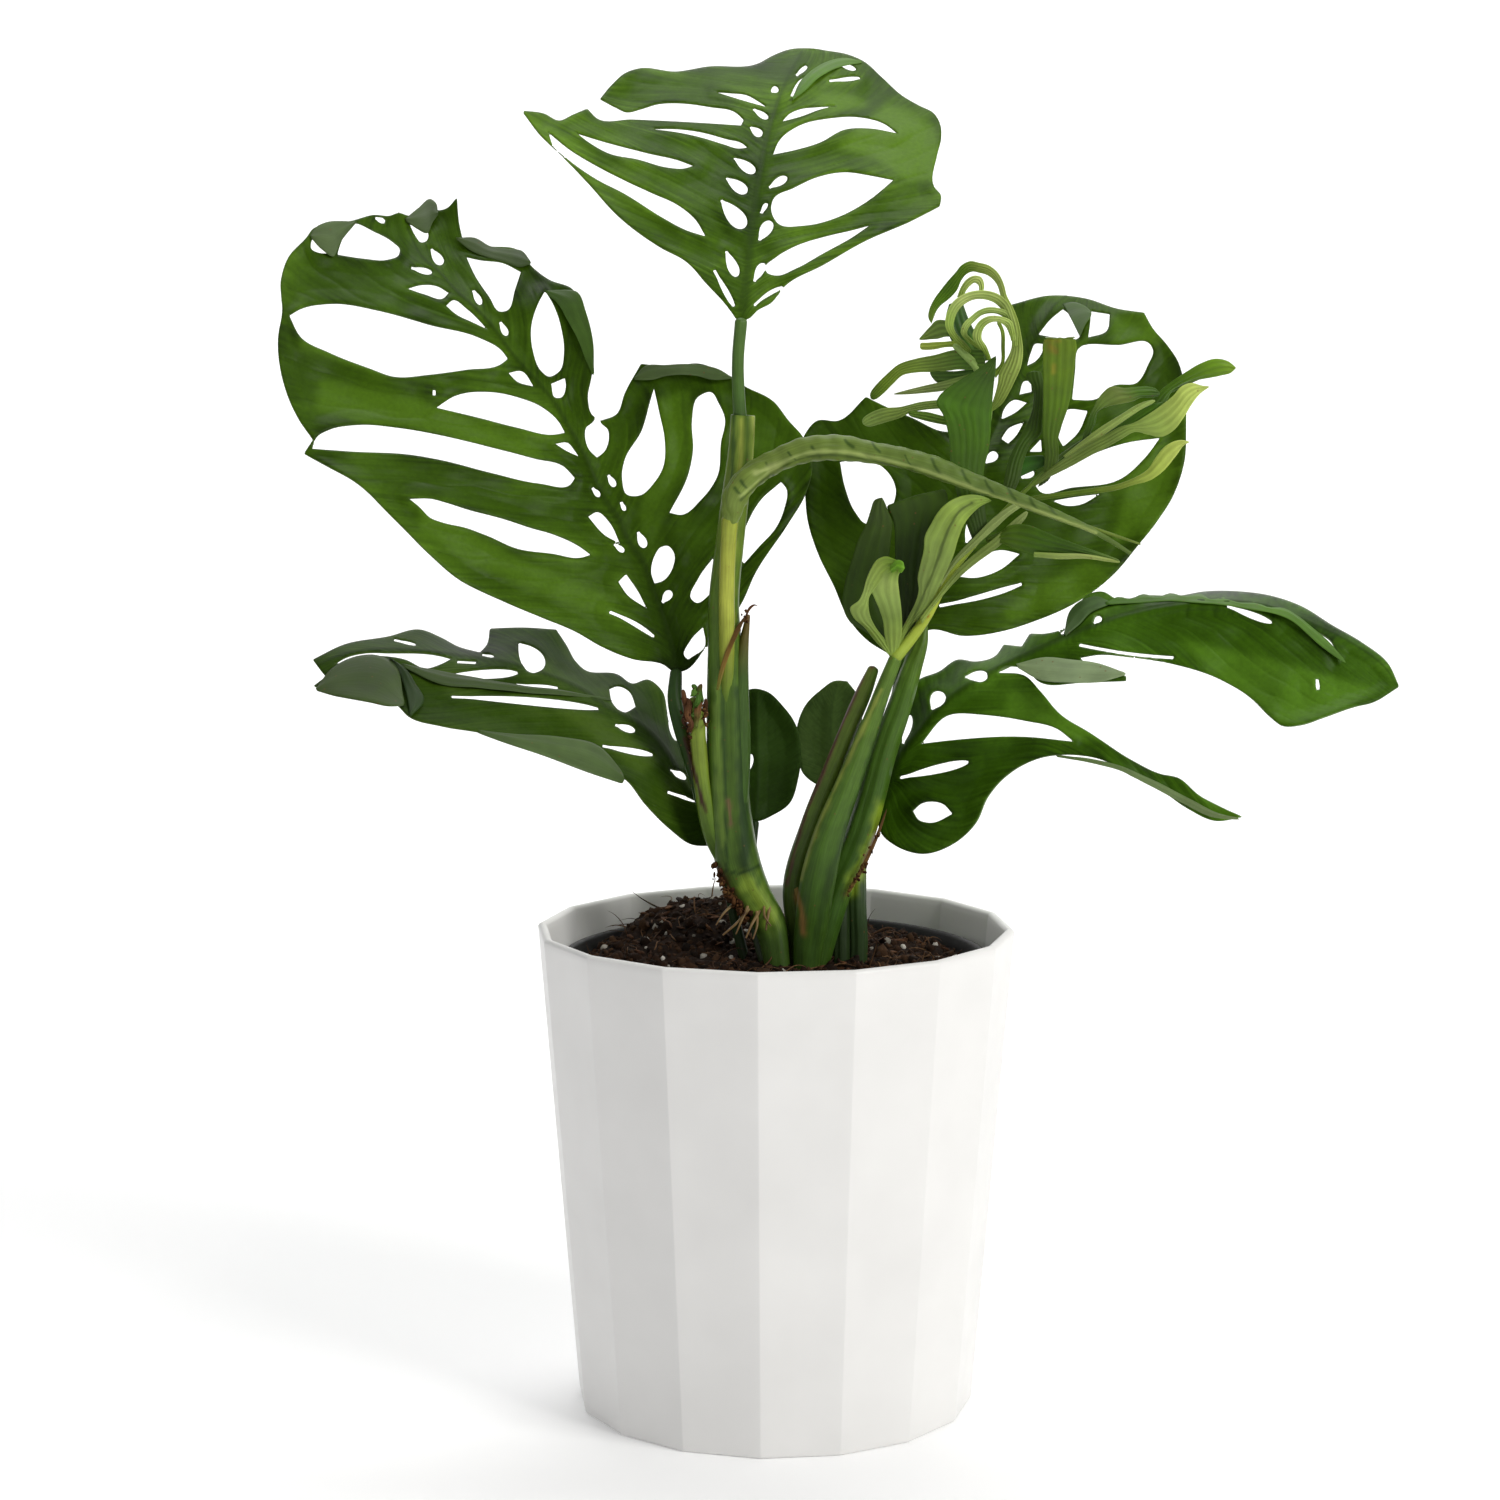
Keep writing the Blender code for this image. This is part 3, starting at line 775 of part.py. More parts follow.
def main():
    for old in list(bpy.data.objects):
        bpy.data.objects.remove(old)
    parts = bpy.data.collections.new("monstera_in_planter")
    guides = bpy.data.collections.new("cutters")
    for collection in (parts, guides):
        bpy.context.scene.collection.children.link(collection)

    build_planter(parts, guides)
    floor, lip = build_liner(parts, guides)
    build_soil(parts, guides, floor, lip, [
        ("left", [underground(LEFT_MAIN), underground(LEFT_STALKS[6])]),
        ("right", [underground(RIGHT_MAIN), underground(RIGHT_STALKS[0]), underground(RIGHT_STALKS[1]),
                   underground(RIGHT_STALKS[3]), underground(RIGHT_STALKS[4])])])

    left = [tube("left_main", LEFT_MAIN, parts)]
    left += [tube(f"left_stalk_{k}", line, parts) for k, line in enumerate(LEFT_STALKS)]
    fuse("left_shoot", left, parts, "stem")
    right = [tube("right_main", RIGHT_MAIN, parts)]
    right += [tube(f"right_stalk_{k}", line, parts) for k, line in enumerate(RIGHT_STALKS)]
    fuse("right_shoot", right, parts, "stem")
    rolled = tube("rolled_leaf", ROLLED_LEAF, parts, 2)
    rolled.data.materials.append(material("rolled_leaf_finish", "rolled_leaf"))

    for name, leaf in (("top_leaf", TOP_LEAF), ("left_leaf", LEFT_LEAF), ("low_left_leaf", LOW_LEFT_LEAF),
                       ("back_leaf", BACK_LEAF), ("low_right_leaf", LOW_RIGHT_LEAF),
                       ("small_left_leaf", SMALL_LEFT_LEAF), ("small_right_leaf", SMALL_RIGHT_LEAF)):
        blade(name, leaf, parts)

    young = [tube("young_rib", YOUNG_RIB, parts)]
    young += [sheet(f"young_strap_{k}", a, b, parts) for k, (a, b) in enumerate(YOUNG_STRAPS)]
    fuse("young_leaf", young, parts, "young_leaf")

    curly = [tube("curly_rib", CURLY_RIB, parts)]
    for k, line in enumerate(CURLY_RIBBONS):
        middle, half = np.hsplit(np.array(line, float), 2)
        curly.append(sheet(f"curly_ribbon_{k}", middle - half, middle + half, parts, 2))
    fuse("curly_leaf", curly, parts, "curly_leaf")

    for made in parts.objects:
        made.data.shade_smooth()
    for name in ("planter", "nursery_pot"):
        parts.objects[name].data.shade_flat()


main()
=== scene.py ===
# %% [markdown]
# # A skeleton-leaved monstera in its faceted planter
# The object is a young Monstera epipremnoides: leathery leaves with rows of holes that leave only straps
# of green, two leafy shoots, a leaf that is still rolled, and a white sixteen-sided planter with a black
# grower's pot and loose soil inside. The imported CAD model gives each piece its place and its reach. The
# cells below build the visible surface of each piece over it, from the pot upwards, and then light it.

import math

import bpy
import numpy as np
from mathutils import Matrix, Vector


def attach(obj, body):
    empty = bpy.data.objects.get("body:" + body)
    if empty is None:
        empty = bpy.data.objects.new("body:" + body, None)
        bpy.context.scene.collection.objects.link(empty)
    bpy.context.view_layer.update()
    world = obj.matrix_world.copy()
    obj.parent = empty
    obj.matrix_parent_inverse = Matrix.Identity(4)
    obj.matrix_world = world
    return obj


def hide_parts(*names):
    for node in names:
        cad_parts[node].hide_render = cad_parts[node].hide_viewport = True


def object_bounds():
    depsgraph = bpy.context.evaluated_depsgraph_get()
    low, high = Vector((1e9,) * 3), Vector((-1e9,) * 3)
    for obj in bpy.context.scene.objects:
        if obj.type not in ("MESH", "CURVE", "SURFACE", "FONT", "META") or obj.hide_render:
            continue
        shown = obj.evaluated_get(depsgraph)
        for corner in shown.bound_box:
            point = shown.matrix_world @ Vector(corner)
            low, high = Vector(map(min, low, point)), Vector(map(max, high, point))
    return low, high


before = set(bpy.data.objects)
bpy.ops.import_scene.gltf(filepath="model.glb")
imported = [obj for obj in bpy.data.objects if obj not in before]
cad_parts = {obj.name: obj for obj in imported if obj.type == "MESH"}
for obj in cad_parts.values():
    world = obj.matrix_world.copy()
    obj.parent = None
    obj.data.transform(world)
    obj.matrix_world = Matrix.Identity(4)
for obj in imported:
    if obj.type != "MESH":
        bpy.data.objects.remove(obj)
cad_low, cad_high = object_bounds()
MM = 0.001
print("CAD box in mm:", [round(v / MM, 1) for v in cad_high - cad_low], "from", len(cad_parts), "nodes")

# %% [markdown]
# ## Where a point of the front view lies in space
# A plant has no straight edges to measure from, so its pieces are laid out on the front view. A point is
# (across, down, back): across and down are counted on the view's 1500-unit square, and back is in
# millimetres behind the upright plane through the pot's axis. One line of sight belongs to each
# (across, down), and "back" picks the place on it. Sculpting by eye would be the other way to do it, but
# then nothing would say why a leaf tip is where it is.

# %% Lines of sight, there and back again
EYE = np.array([-0.0089, -1.214, 0.403])  # in metres: the place where all lines of sight meet
EYE_DOWN = math.radians(7.86)  # how far the view looks down
FRAME_SIZE = 1500  # units across the view
FRAME_MIDDLE = FRAME_SIZE / 2
FRAME_REACH = 3470.0  # units between two lines of sight that are one metre apart at one metre's reach
UNIT_MM = 0.35  # about what one unit comes to at the plant


def drawn(points):
    """An array of points, from numbers or from text such as "742,320,0 746,294,7"."""
    if isinstance(points, str):
        points = [[float(number) for number in point.split(",")] for point in points.split()]
    return np.asarray(points, float)


def loops(text):
    """The closed loops of a text that has a bar between them."""
    return [drawn(loop) for loop in text.split("|") if loop]


def spots(points):
    """Metres for front-view points: eye + reach x direction, with reach chosen so that y comes to back."""
    across, down, back = np.moveaxis(drawn(points), -1, 0)
    side = (across - FRAME_MIDDLE) / FRAME_REACH
    rise = (FRAME_MIDDLE - down) / FRAME_REACH
    forward = math.cos(EYE_DOWN) + rise * math.sin(EYE_DOWN)
    upward = rise * math.cos(EYE_DOWN) - math.sin(EYE_DOWN)
    reach = (back * MM - EYE[1]) / forward
    return np.stack([EYE[0] + reach * side, back * MM, EYE[2] + reach * upward], -1)


def on_view(places):
    """Front-view (across, down) of places in metres: the reverse of spots()."""
    away = places - EYE
    forward = away[..., 1] * math.cos(EYE_DOWN) - away[..., 2] * math.sin(EYE_DOWN)
    upward = away[..., 1] * math.sin(EYE_DOWN) + away[..., 2] * math.cos(EYE_DOWN)
    return np.stack([FRAME_MIDDLE + FRAME_REACH * away[..., 0] / forward,
                     FRAME_MIDDLE - FRAME_REACH * upward / forward], -1)


one_unit = spots("750,900,0 751,900,0")[:, 0]
print("one unit of the view is", round(float(np.ptp(one_unit)) / MM, 3), "mm")

# %% [markdown]
# ## Making a mesh from arrays
# Every piece is worked out as whole arrays of points first, and becomes a Blender mesh in one step. A
# shape here is a small dictionary: its points, its faces, and what each point carries for the material,
# such as its colour ("paint") or its place along the fibres ("grain").

# %% Shapes: joining, turning outwards, keeping inside the box
BOX_LOW, BOX_HIGH = np.array(cad_low) + 2e-5, np.array(cad_high) - 2e-5  # 0.02 mm inside the CAD's box
made_pieces = []


def unit(vectors):
    """The vectors with length one."""
    return vectors / (np.linalg.norm(vectors, axis=-1, keepdims=True) + 1e-12)


def facing_out(verts, faces):
    """The faces, turned over together where the volume they enclose would come out negative."""
    volume = 0.0
    for block in faces:
        a, b = verts[block[:, 0]], verts[block[:, 1]]
        for k in range(2, block.shape[1]):
            c = verts[block[:, k]]
            volume += np.einsum("ij,ij->", a, np.cross(b, c))
            b = c
    return [block[:, ::-1] for block in faces] if volume < 0 else faces


def joined(shapes):
    """Several shapes as one: points stacked, and each one's faces counted on from the last."""
    first, faces, carried = 0, [], {}
    for shape in shapes:
        faces += [block + first for block in shape["faces"]]
        first += len(shape["verts"])
    for key in shapes[0]:
        if key != "faces":
            carried[key] = np.concatenate([shape[key] for shape in shapes])
    return {"faces": faces, **carried}


def piece(name, shape, finish, slot, *nodes):
    """Adds the shape as an object that rides on the plant's body and stands for the CAD nodes."""
    mesh = bpy.data.meshes.new(name)
    verts = np.clip(shape["verts"], BOX_LOW, BOX_HIGH)
    mesh.from_pydata(verts.tolist(), [], [face for block in shape["faces"] for face in block.tolist()])
    for key, values in shape.items():
        if key in ("verts", "faces"):
            continue
        kind = "FLOAT" if values.ndim == 1 else "FLOAT_VECTOR"
        carried = mesh.attributes.new(key, kind, "POINT")
        carried.data.foreach_set("value" if kind == "FLOAT" else "vector", values.astype(np.float32).ravel())
    mesh.polygons.foreach_set("use_smooth", np.ones(len(mesh.polygons), bool))
    mesh.materials.append(finish)
    made = bpy.data.objects.new(name, mesh)
    bpy.context.scene.collection.objects.link(made)
    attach(made, "root")
    if nodes:
        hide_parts(*nodes)
    made_pieces.append(made)
    print(f"{name}: {len(mesh.vertices)} points, {len(mesh.polygons)} faces")


# %% [markdown]
# ## Smooth lines through points
# Margins, holes and stems are all drawn as a few points. A cubic run joins them: at each point its slope
# is the mean of the two chords that meet there, each weighted by the other's length, so a short chord
# beside a long one doesn't swing out. A real corner, such as a torn lobe, stays sharp.

# %% Cubic runs and even spacing
def smooth_run(points, parts, closed=False, corner=180.0):
    """A cubic (Hermite) run through the points, with parts steps between neighbours.

    Between p0 and p1, h apart, with slopes m0 and m1, it is
    (2t^3 - 3t^2 + 1) p0 + (t^3 - 2t^2 + t) h m0 + (3t^2 - 2t^3) p1 + (t^3 - t^2) h m1.
    """
    points = drawn(points)
    if closed:
        padded = np.vstack([points[-1:], points, points[:2]])
    else:
        padded = np.vstack([2 * points[0] - points[1], points, 2 * points[-1] - points[-2]])
    chord = np.diff(padded, axis=0)
    length = np.linalg.norm(chord[:, :2], axis=1)[:, None] + 1e-9
    slope = chord / length
    before, after = slope[:-1], slope[1:]
    mean = (before * length[1:] + after * length[:-1]) / (length[1:] + length[:-1])
    turn = np.degrees(np.arccos(np.clip((before[:, :2] * after[:, :2]).sum(1), -1, 1)))[:, None]
    arrive, leave = np.where(turn > corner, before, mean), np.where(turn > corner, after, mean)
    count = len(padded) - 3 if closed else len(points) - 1
    p0, p1 = padded[1:count + 1, None], padded[2:count + 2, None]
    m0, m1 = leave[:count, None], np.vstack([arrive, arrive[:1]])[1:count + 1, None]
    h, t = length[1:count + 1, None], (np.arange(parts) / parts)[None, :, None]
    run = ((2 * t ** 3 - 3 * t ** 2 + 1) * p0 + (t ** 3 - 2 * t ** 2 + t) * h * m0
           + (3 * t ** 2 - 2 * t ** 3) * p1 + (t ** 3 - t ** 2) * h * m1).reshape(-1, points.shape[1])
    return run if closed else np.vstack([run, points[-1:]])


def spread(line, count):
    """count points, evenly far apart along the front view's line, from its first to its last point."""
    line = drawn(line)
    steps = np.hypot(*np.diff(line[:, :2], axis=0).T)
    along = np.concatenate([[0.0], np.cumsum(steps)])
    places = np.linspace(0.0, along[-1], count)
    return np.stack([np.interp(places, along, column) for column in line.T], 1)


def even_loop(loop, gap):
    """A closed loop with its points gap apart, or a little less."""
    whole = np.vstack([loop, loop[:1]])
    count = int(np.hypot(*np.diff(whole, axis=0).T).sum() / gap) + 5
    return spread(whole, count)[:-1]


def waves(places, length, seed, count=7):
    """Low, irregular swells from -1 to 1: a sum of sine waves that run in random directions."""
    chance = np.random.default_rng(seed)
    heading = unit(chance.normal(size=(count, places.shape[-1])))
    rate = 2 * math.pi / (length * chance.uniform(0.6, 1.5, count))
    return np.sin((places @ heading.T) * rate + chance.uniform(0, 7, count)).sum(-1) / count ** 0.5 / 1.4


def skin(rings, start=None, end=None, **carried):
    """The closed surface over a run of rings (ring, side, xyz), with a fan to a pole at each end."""
    count, sides = rings.shape[:2]
    ring, side = np.meshgrid(np.arange(count - 1), np.arange(sides), indexing="ij")
    a, b = ring * sides + side, ring * sides + (side + 1) % sides
    quads = np.stack([a, b, b + sides, a + sides], -1).reshape(-1, 4)
    turn = np.arange(sides)
    low, high = count * sides, count * sides + 1
    last = (count - 1) * sides
    fans = np.vstack([np.column_stack([(turn + 1) % sides, turn, np.full(sides, low)]),
                      np.column_stack([last + turn, last + (turn + 1) % sides, np.full(sides, high)])])
    start = rings[0].mean(0) if start is None else start
    end = rings[-1].mean(0) if end is None else end
    verts = np.vstack([rings.reshape(-1, 3), start, end])
    shape = {"verts": verts, "faces": facing_out(verts, [quads, fans])}
    for key, values in carried.items():
        flat = values.reshape(count * sides, -1)
        both = np.vstack([flat, values[0].reshape(sides, -1).mean(0), values[-1].reshape(sides, -1).mean(0)])
        shape[key] = both[:, 0] if values.ndim == 2 else both
    return shape


print("a square made smooth has", len(smooth_run([(0, 0), (1, 0), (1, 1), (0, 1)], 8, True)), "points")

# %% [markdown]
# ## Colours and nodes
# Colours are written as they look on a screen, in hexadecimal, and turned into the linear values that
# light is worked out with. One small function adds any shader node with its settings and links, and
# gives back the output that the next node reads, so that each finish below reads as a list.

# %% Screen colour to linear, and a node in one call
def linear(code):
    """The linear red, green and blue of a screen colour such as #4a7a2c."""
    screen = np.array([int(code[k:k + 2], 16) for k in (1, 3, 5)]) / 255
    return np.where(screen <= 0.04045, screen / 12.92, ((screen + 0.055) / 1.055) ** 2.4)


def rgba(code):
    """A colour socket's value for a screen colour."""
    return (*linear(code), 1.0)


def add(tree, kind, links=(), stops=(), out=0, **settings):
    """Adds a shader node and gives back one of its outputs, the first unless out names another.

    links pairs its inputs with a value, a screen colour or another node's output. stops are the places
    and screen colours of a colour ramp.
    """
    made = tree.nodes.new("ShaderNode" + kind)
    for key, value in settings.items():
        setattr(made, key, value)
    for key, value in dict(links).items():
        if isinstance(value, bpy.types.NodeSocket):
            tree.links.new(value, made.inputs[key])
        else:
            made.inputs[key].default_value = rgba(value) if isinstance(value, str) else value
    if stops:
        ramp = made.color_ramp.elements
        while len(ramp) < len(stops):
            ramp.new(0.5)
        for element, (place, code) in zip(ramp, stops):
            element.position, element.color = place, rgba(code)
    return made.outputs[out]


def new_finish(name, **values):
    """A material, its node tree and its Principled shader, with the values given in the shader's sockets."""
    made = bpy.data.materials.new(name)
    made.use_nodes = True
    shader = made.node_tree.nodes["Principled BSDF"]
    for key, value in values.items():
        shader.inputs[key.replace("_", " ")].default_value = value
    return made, made.node_tree, shader


def wire(tree, shader, **sockets):
    """Joins outputs to the shader's inputs."""
    for key, output in sockets.items():
        tree.links.new(output, shader.inputs[key.replace("_", " ")])


print("leaf green #35590f is linear", linear("#35590f").round(3))

# %% [markdown]
# ## The planter
# The real planter is injection-moulded plastic: sixteen flat facets that widen upwards, corners broken by
# a small radius, a rounded lip and a wall of about 3 mm. A cylinder primitive with a bevel would do for
# the outside. Here one ring with its corner arcs is worked out once and carried up the outside, over the
# lip and down the inside, so the facets and both walls stay exactly parallel.

# %% One sixteen-sided ring, carried round the wall's section
SIDES = 16
TOP_RADIUS, BASE_RADIUS, HEIGHT, WALL, FLOOR = 0.085, 0.071, 0.1724, 0.0033, 0.004
PLANTER_TURN = math.radians(-4.29)  # brings the corners to where the front view shows them
CORNER_ROUND = 0.0022


def facet_ring(radius, arc_steps=5, support=0.0011):
    """A sixteen-sided ring of that corner radius, with rounded corners and points close beside them.

    A corner arc of radius f touches both facets; its middle is f / cos(pi/16) further in than the
    mitred corner, and the arc turns through one sixteenth of a circle.
    """
    half = math.pi / SIDES
    arc = np.linspace(-half, half, arc_steps)
    middle = radius - CORNER_ROUND / math.cos(half)
    bend = np.column_stack([middle + CORNER_ROUND * np.cos(arc), CORNER_ROUND * np.sin(arc)])
    along = np.array([[-math.sin(half), math.cos(half)]]) * support
    bend = np.vstack([bend[:1] + along * [[1, -1]], bend, bend[-1:] + along])
    turns = (PLANTER_TURN - math.pi / 2 + np.arange(SIDES) * 2 * half)[:, None]
    x = bend[:, 0] * np.cos(turns) - bend[:, 1] * np.sin(turns)
    y = bend[:, 0] * np.sin(turns) + bend[:, 1] * np.cos(turns)
    return np.stack([x.ravel(), y.ravel()], 1)


def planter_shape():
    """The closed shell: each section point (corner radius, height) gives one ring."""
    slope = (TOP_RADIUS - BASE_RADIUS) / HEIGHT
    wall = WALL / math.cos(math.pi / SIDES)
    lip = WALL / 2
    foot = 0.0012
    round_foot = [(BASE_RADIUS - foot + foot * math.sin(a), foot - foot * math.cos(a))
                  for a in np.radians([0, 22, 45, 68, 90])]
    outside = [(BASE_RADIUS + slope * z, z) for z in (0.002, 0.004, 0.02, 0.06, 0.11, 0.15, 0.166, 0.1690)]
    middle = TOP_RADIUS - wall / 2
    over_lip = [(middle + wall / 2 * math.cos(a), HEIGHT - lip + lip * math.sin(a))
                for a in np.radians([12, 30, 50, 70, 90, 110, 130, 150, 168])]
    inside = [(TOP_RADIUS - wall - slope * (HEIGHT - z), z) for z in (0.169, 0.166, 0.14, 0.1, 0.05, 0.008)]
    floor = [(BASE_RADIUS - wall - 0.001, FLOOR + 0.0004), (BASE_RADIUS - wall - 0.004, FLOOR),
             (0.03, FLOOR), (0.004, FLOOR)]
    under = [(0.004, 0.0), (0.03, 0.0), (0.064, 0.0), (BASE_RADIUS - 0.003, 0.0)]
    rings = []
    for r, z in under + round_foot + outside + over_lip + inside + floor:
        ring = facet_ring(r) if r > 0.02 else facet_ring(0.02) * r / 0.02
        rings.append(np.column_stack([ring, np.full(len(ring), z)]))
    return skin(np.array(rings), start=np.array([0, 0, 0.0]), end=np.array([0, 0, FLOOR]))


planter_mesh = planter_shape()
print("planter:", round(float(np.ptp(planter_mesh["verts"][:, 2])) / MM, 1), "mm tall,",
      round(float(np.ptp(planter_mesh["verts"][:, 0])) / MM, 1), "mm wide")

# %% [markdown]
# ### Satin moulded plastic
# Moulded white plastic isn't perfectly even: the melt leaves broad, faint clouds, the satin comes from a
# fine grain in the steel mould, and handling leaves slightly glossier spots. The colour stays almost
# constant, and most of the life comes from small changes of gloss and a very low bump.

# %% White satin polypropylene, grained mould surface
def planter_finish():
    """Near-white, with clouds 40 mm wide, gloss spots 9 mm wide and a mould grain.

    The steel's own grain is nearer to 0.1 mm and wouldn't show, so it is drawn 0.35 mm wide.
    """
    made, tree, shader = new_finish("satin_moulded_polypropylene_white", IOR=1.49, Coat_Weight=0.05,
                                    Coat_Roughness=0.35)
    where = add(tree, "TexCoord", out="Object")
    clouds, gloss, grain = [
        add(tree, "TexNoise", {"Vector": where, "Scale": 1 / (size_mm * MM), "Detail": detail})
        for size_mm, detail in ((40, 3.0), (9, 4.0), (0.35, 2.0))]
    wire(tree, shader,
         Base_Color=add(tree, "ValToRGB", {0: clouds}, [(0.3, "#dfdedc"), (0.55, "#e3e2e0"), (0.8, "#e7e6e4")]),
         Roughness=add(tree, "MapRange", {0: gloss, 1: 0.3, 2: 0.7, 3: 0.34, 4: 0.46}),
         Normal=add(tree, "Bump", {"Height": grain, "Strength": 0.10, "Distance": 0.06 * MM}))
    return made


piece("planter_shell", planter_mesh, planter_finish(), "planter", "planter")

# %% [markdown]
# ## The grower's pot
# Inside stands the thin black pot that the plant was grown in, a standard six-inch one with a lip that is
# turned over. Only the lip shows as a dark line. It is a section turned about the axis.

# %% A section turned about the axis
LINER_TOP, LINER_BASE, LINER_LOW, LINER_HIGH = 0.0762, 0.0570, 0.0043, 0.1623


def turned(section, count):
    """Rings of count points about the axis, one for each (radius, height)."""
    angle = np.linspace(0, 2 * math.pi, count, endpoint=False)
    r, z = np.array(section, float).T[..., None]
    return np.stack(np.broadcast_arrays(r * np.cos(angle), r * np.sin(angle), z), -1)


def liner_shape():
    """Floor, wall, turned-over lip and inner wall, as one closed section."""
    lip_drop, wall, lip = 0.007, 0.0012, 0.0024
    under = LINER_TOP - 0.0022
    section = [(0.003, LINER_LOW), (0.03, LINER_LOW), (LINER_BASE - 0.001, LINER_LOW),
               (LINER_BASE, LINER_LOW + 0.001), (0.0644, 0.062), (0.0705, 0.118),
               (under, LINER_HIGH - lip_drop - 0.0005), (under + 0.0004, LINER_HIGH - lip_drop),
               (LINER_TOP - 0.0004, LINER_HIGH - lip_drop), (LINER_TOP, LINER_HIGH - lip_drop + 0.0004),
               (LINER_TOP, LINER_HIGH - 0.0012), (LINER_TOP - 0.0004, LINER_HIGH - 0.0003),
               (LINER_TOP - 0.0012, LINER_HIGH), (LINER_TOP - 0.0020, LINER_HIGH - 0.0003),
               (LINER_TOP - lip, LINER_HIGH - 0.0012), (under - wall, LINER_HIGH - lip_drop),
               (0.0705 - wall, 0.118), (0.0644 - wall, 0.062), (LINER_BASE - wall, LINER_LOW + 0.0018),
               (0.03, LINER_LOW + 0.0018), (0.003, LINER_LOW + 0.0018)]
    return skin(turned(section, 96), start=np.array([0, 0, LINER_LOW]),
                end=np.array([0, 0, LINER_LOW + 0.0018]))


def liner_finish():
    """Black recycled polypropylene: almost no colour, dull, with dusty spots 6 mm wide."""
    made, tree, shader = new_finish("thermoformed_black_polypropylene", IOR=1.49)
    where = add(tree, "TexCoord", out="Object")
    dust = add(tree, "TexNoise", {"Vector": where, "Scale": 1 / (6 * MM), "Detail": 5.0})
    wire(tree, shader,
         Base_Color=add(tree, "ValToRGB", {0: dust}, [(0.35, "#0d0d0d"), (0.62, "#191816"), (0.8, "#2b2721")]),
         Roughness=add(tree, "MapRange", {0: dust, 1: 0.3, 2: 0.7, 3: 0.42, 4: 0.62}))
    return made


piece("growers_pot", liner_shape(), liner_finish(), "nursery_pot", "nursery_pot")

# %% [markdown]
# ## The soil
# The mix is a dark, moist peat and bark compost with pale perlite grains, pressed flat by watering and
# heaped a little at the back. The surface itself is a height over a polar grid. What makes it look like
# soil are separate things lying in it: bark chips, crumbs, perlite and fibres. Scattering them with a
# particle system would be usual; here each kind is one mesh, made by turning and scaling a small lump
# many times in one array.

# %% Height of the soil, and its surface
SOIL_LEVEL = 0.1573
SOIL_EDGE = LINER_TOP - 0.0034
CRUMBS, CHIPS, GRAINS, FIBRES = 2600, 300, 150, 460


def soil_height(x, y):
    """Level, plus mounds, a heap at the back left and a slope that end at the wall, plus a slight swell."""
    place = np.stack([x, y], -1)
    inward = 1 - np.hypot(x, y) / SOIL_EDGE
    mounds = 0.0012 * waves(place, 0.030, 3) + 0.0008 * waves(place, 0.011, 4) + 0.0005 * waves(place, 0.005, 5)
    heap = 0.0135 * np.exp(-((x + 0.026) ** 2 + (y - 0.040) ** 2) / 0.026 ** 2)
    slope = 0.0045 * np.clip(y / 0.06, 0, 1)
    return SOIL_LEVEL + (mounds + (heap + slope)) * np.clip(inward * 9, 0, 1) + 0.0006 * np.clip(inward, 0, 1)


def soil_shape():
    """Rings of the height field from the middle to the liner's wall, then down to a flat underside."""
    angle = np.linspace(0, 2 * math.pi, 180, endpoint=False)
    reach = np.linspace(0.0012, SOIL_EDGE, 64)[:, None]
    x, y = reach * np.cos(angle), reach * np.sin(angle)
    top = np.stack([x, y, soil_height(x, y)], -1)
    top[..., 2] += 0.00035 * waves(top[..., :2], 0.0018, 6)
    side = top[-1:] * np.array([0.985, 0.985, 0.0]) + np.array([0, 0, SOIL_LEVEL - 0.012])
    low = top[-1:] * np.array([0.5, 0.5, 0.0]) + np.array([0, 0, SOIL_LEVEL - 0.012])
    rings = np.concatenate([top, side, low])
    return skin(rings, start=np.array([0, 0, float(soil_height(0.0, 0.0))]))


# %% Lumps, chips and fibres, each kind made in one array
def lump(rings, sides):
    """A low-count ball: rings of a sphere between two poles."""
    tilt = np.linspace(0, math.pi, rings + 2)[1:-1, None]
    turn = np.linspace(0, 2 * math.pi, sides, endpoint=False)
    ball = np.stack([np.sin(tilt) * np.cos(turn), np.sin(tilt) * np.sin(turn),
                     np.broadcast_to(np.cos(tilt), (rings, sides))], -1)
    return skin(ball, start=np.array([0, 0, 1.0]), end=np.array([0, 0, -1.0]))


def turned_at_random(count, chance, lie_flat=0.0):
    """Rotation matrices, uniform or with the z axis kept near upright."""
    spin = chance.uniform(0, 2 * math.pi, count)
    axis = unit(chance.normal(size=(count, 3)))
    axis[:, 2] *= 1 - lie_flat
    tilt = chance.normal(0, 1 - 0.8 * lie_flat, count)
    axis = unit(axis)
    cross = np.zeros((count, 3, 3))
    cross[:, 0, 1], cross[:, 0, 2], cross[:, 1, 2] = -axis[:, 2], axis[:, 1], -axis[:, 0]
    cross = cross - cross.transpose(0, 2, 1)
    tipped = np.eye(3) + np.sin(tilt)[:, None, None] * cross + (1 - np.cos(tilt))[:, None, None] * cross @ cross
    round_z = np.zeros((count, 3, 3))
    round_z[:, 0, 0] = round_z[:, 1, 1] = np.cos(spin)
    round_z[:, 1, 0], round_z[:, 0, 1], round_z[:, 2, 2] = np.sin(spin), -np.sin(spin), 1
    return tipped @ round_z


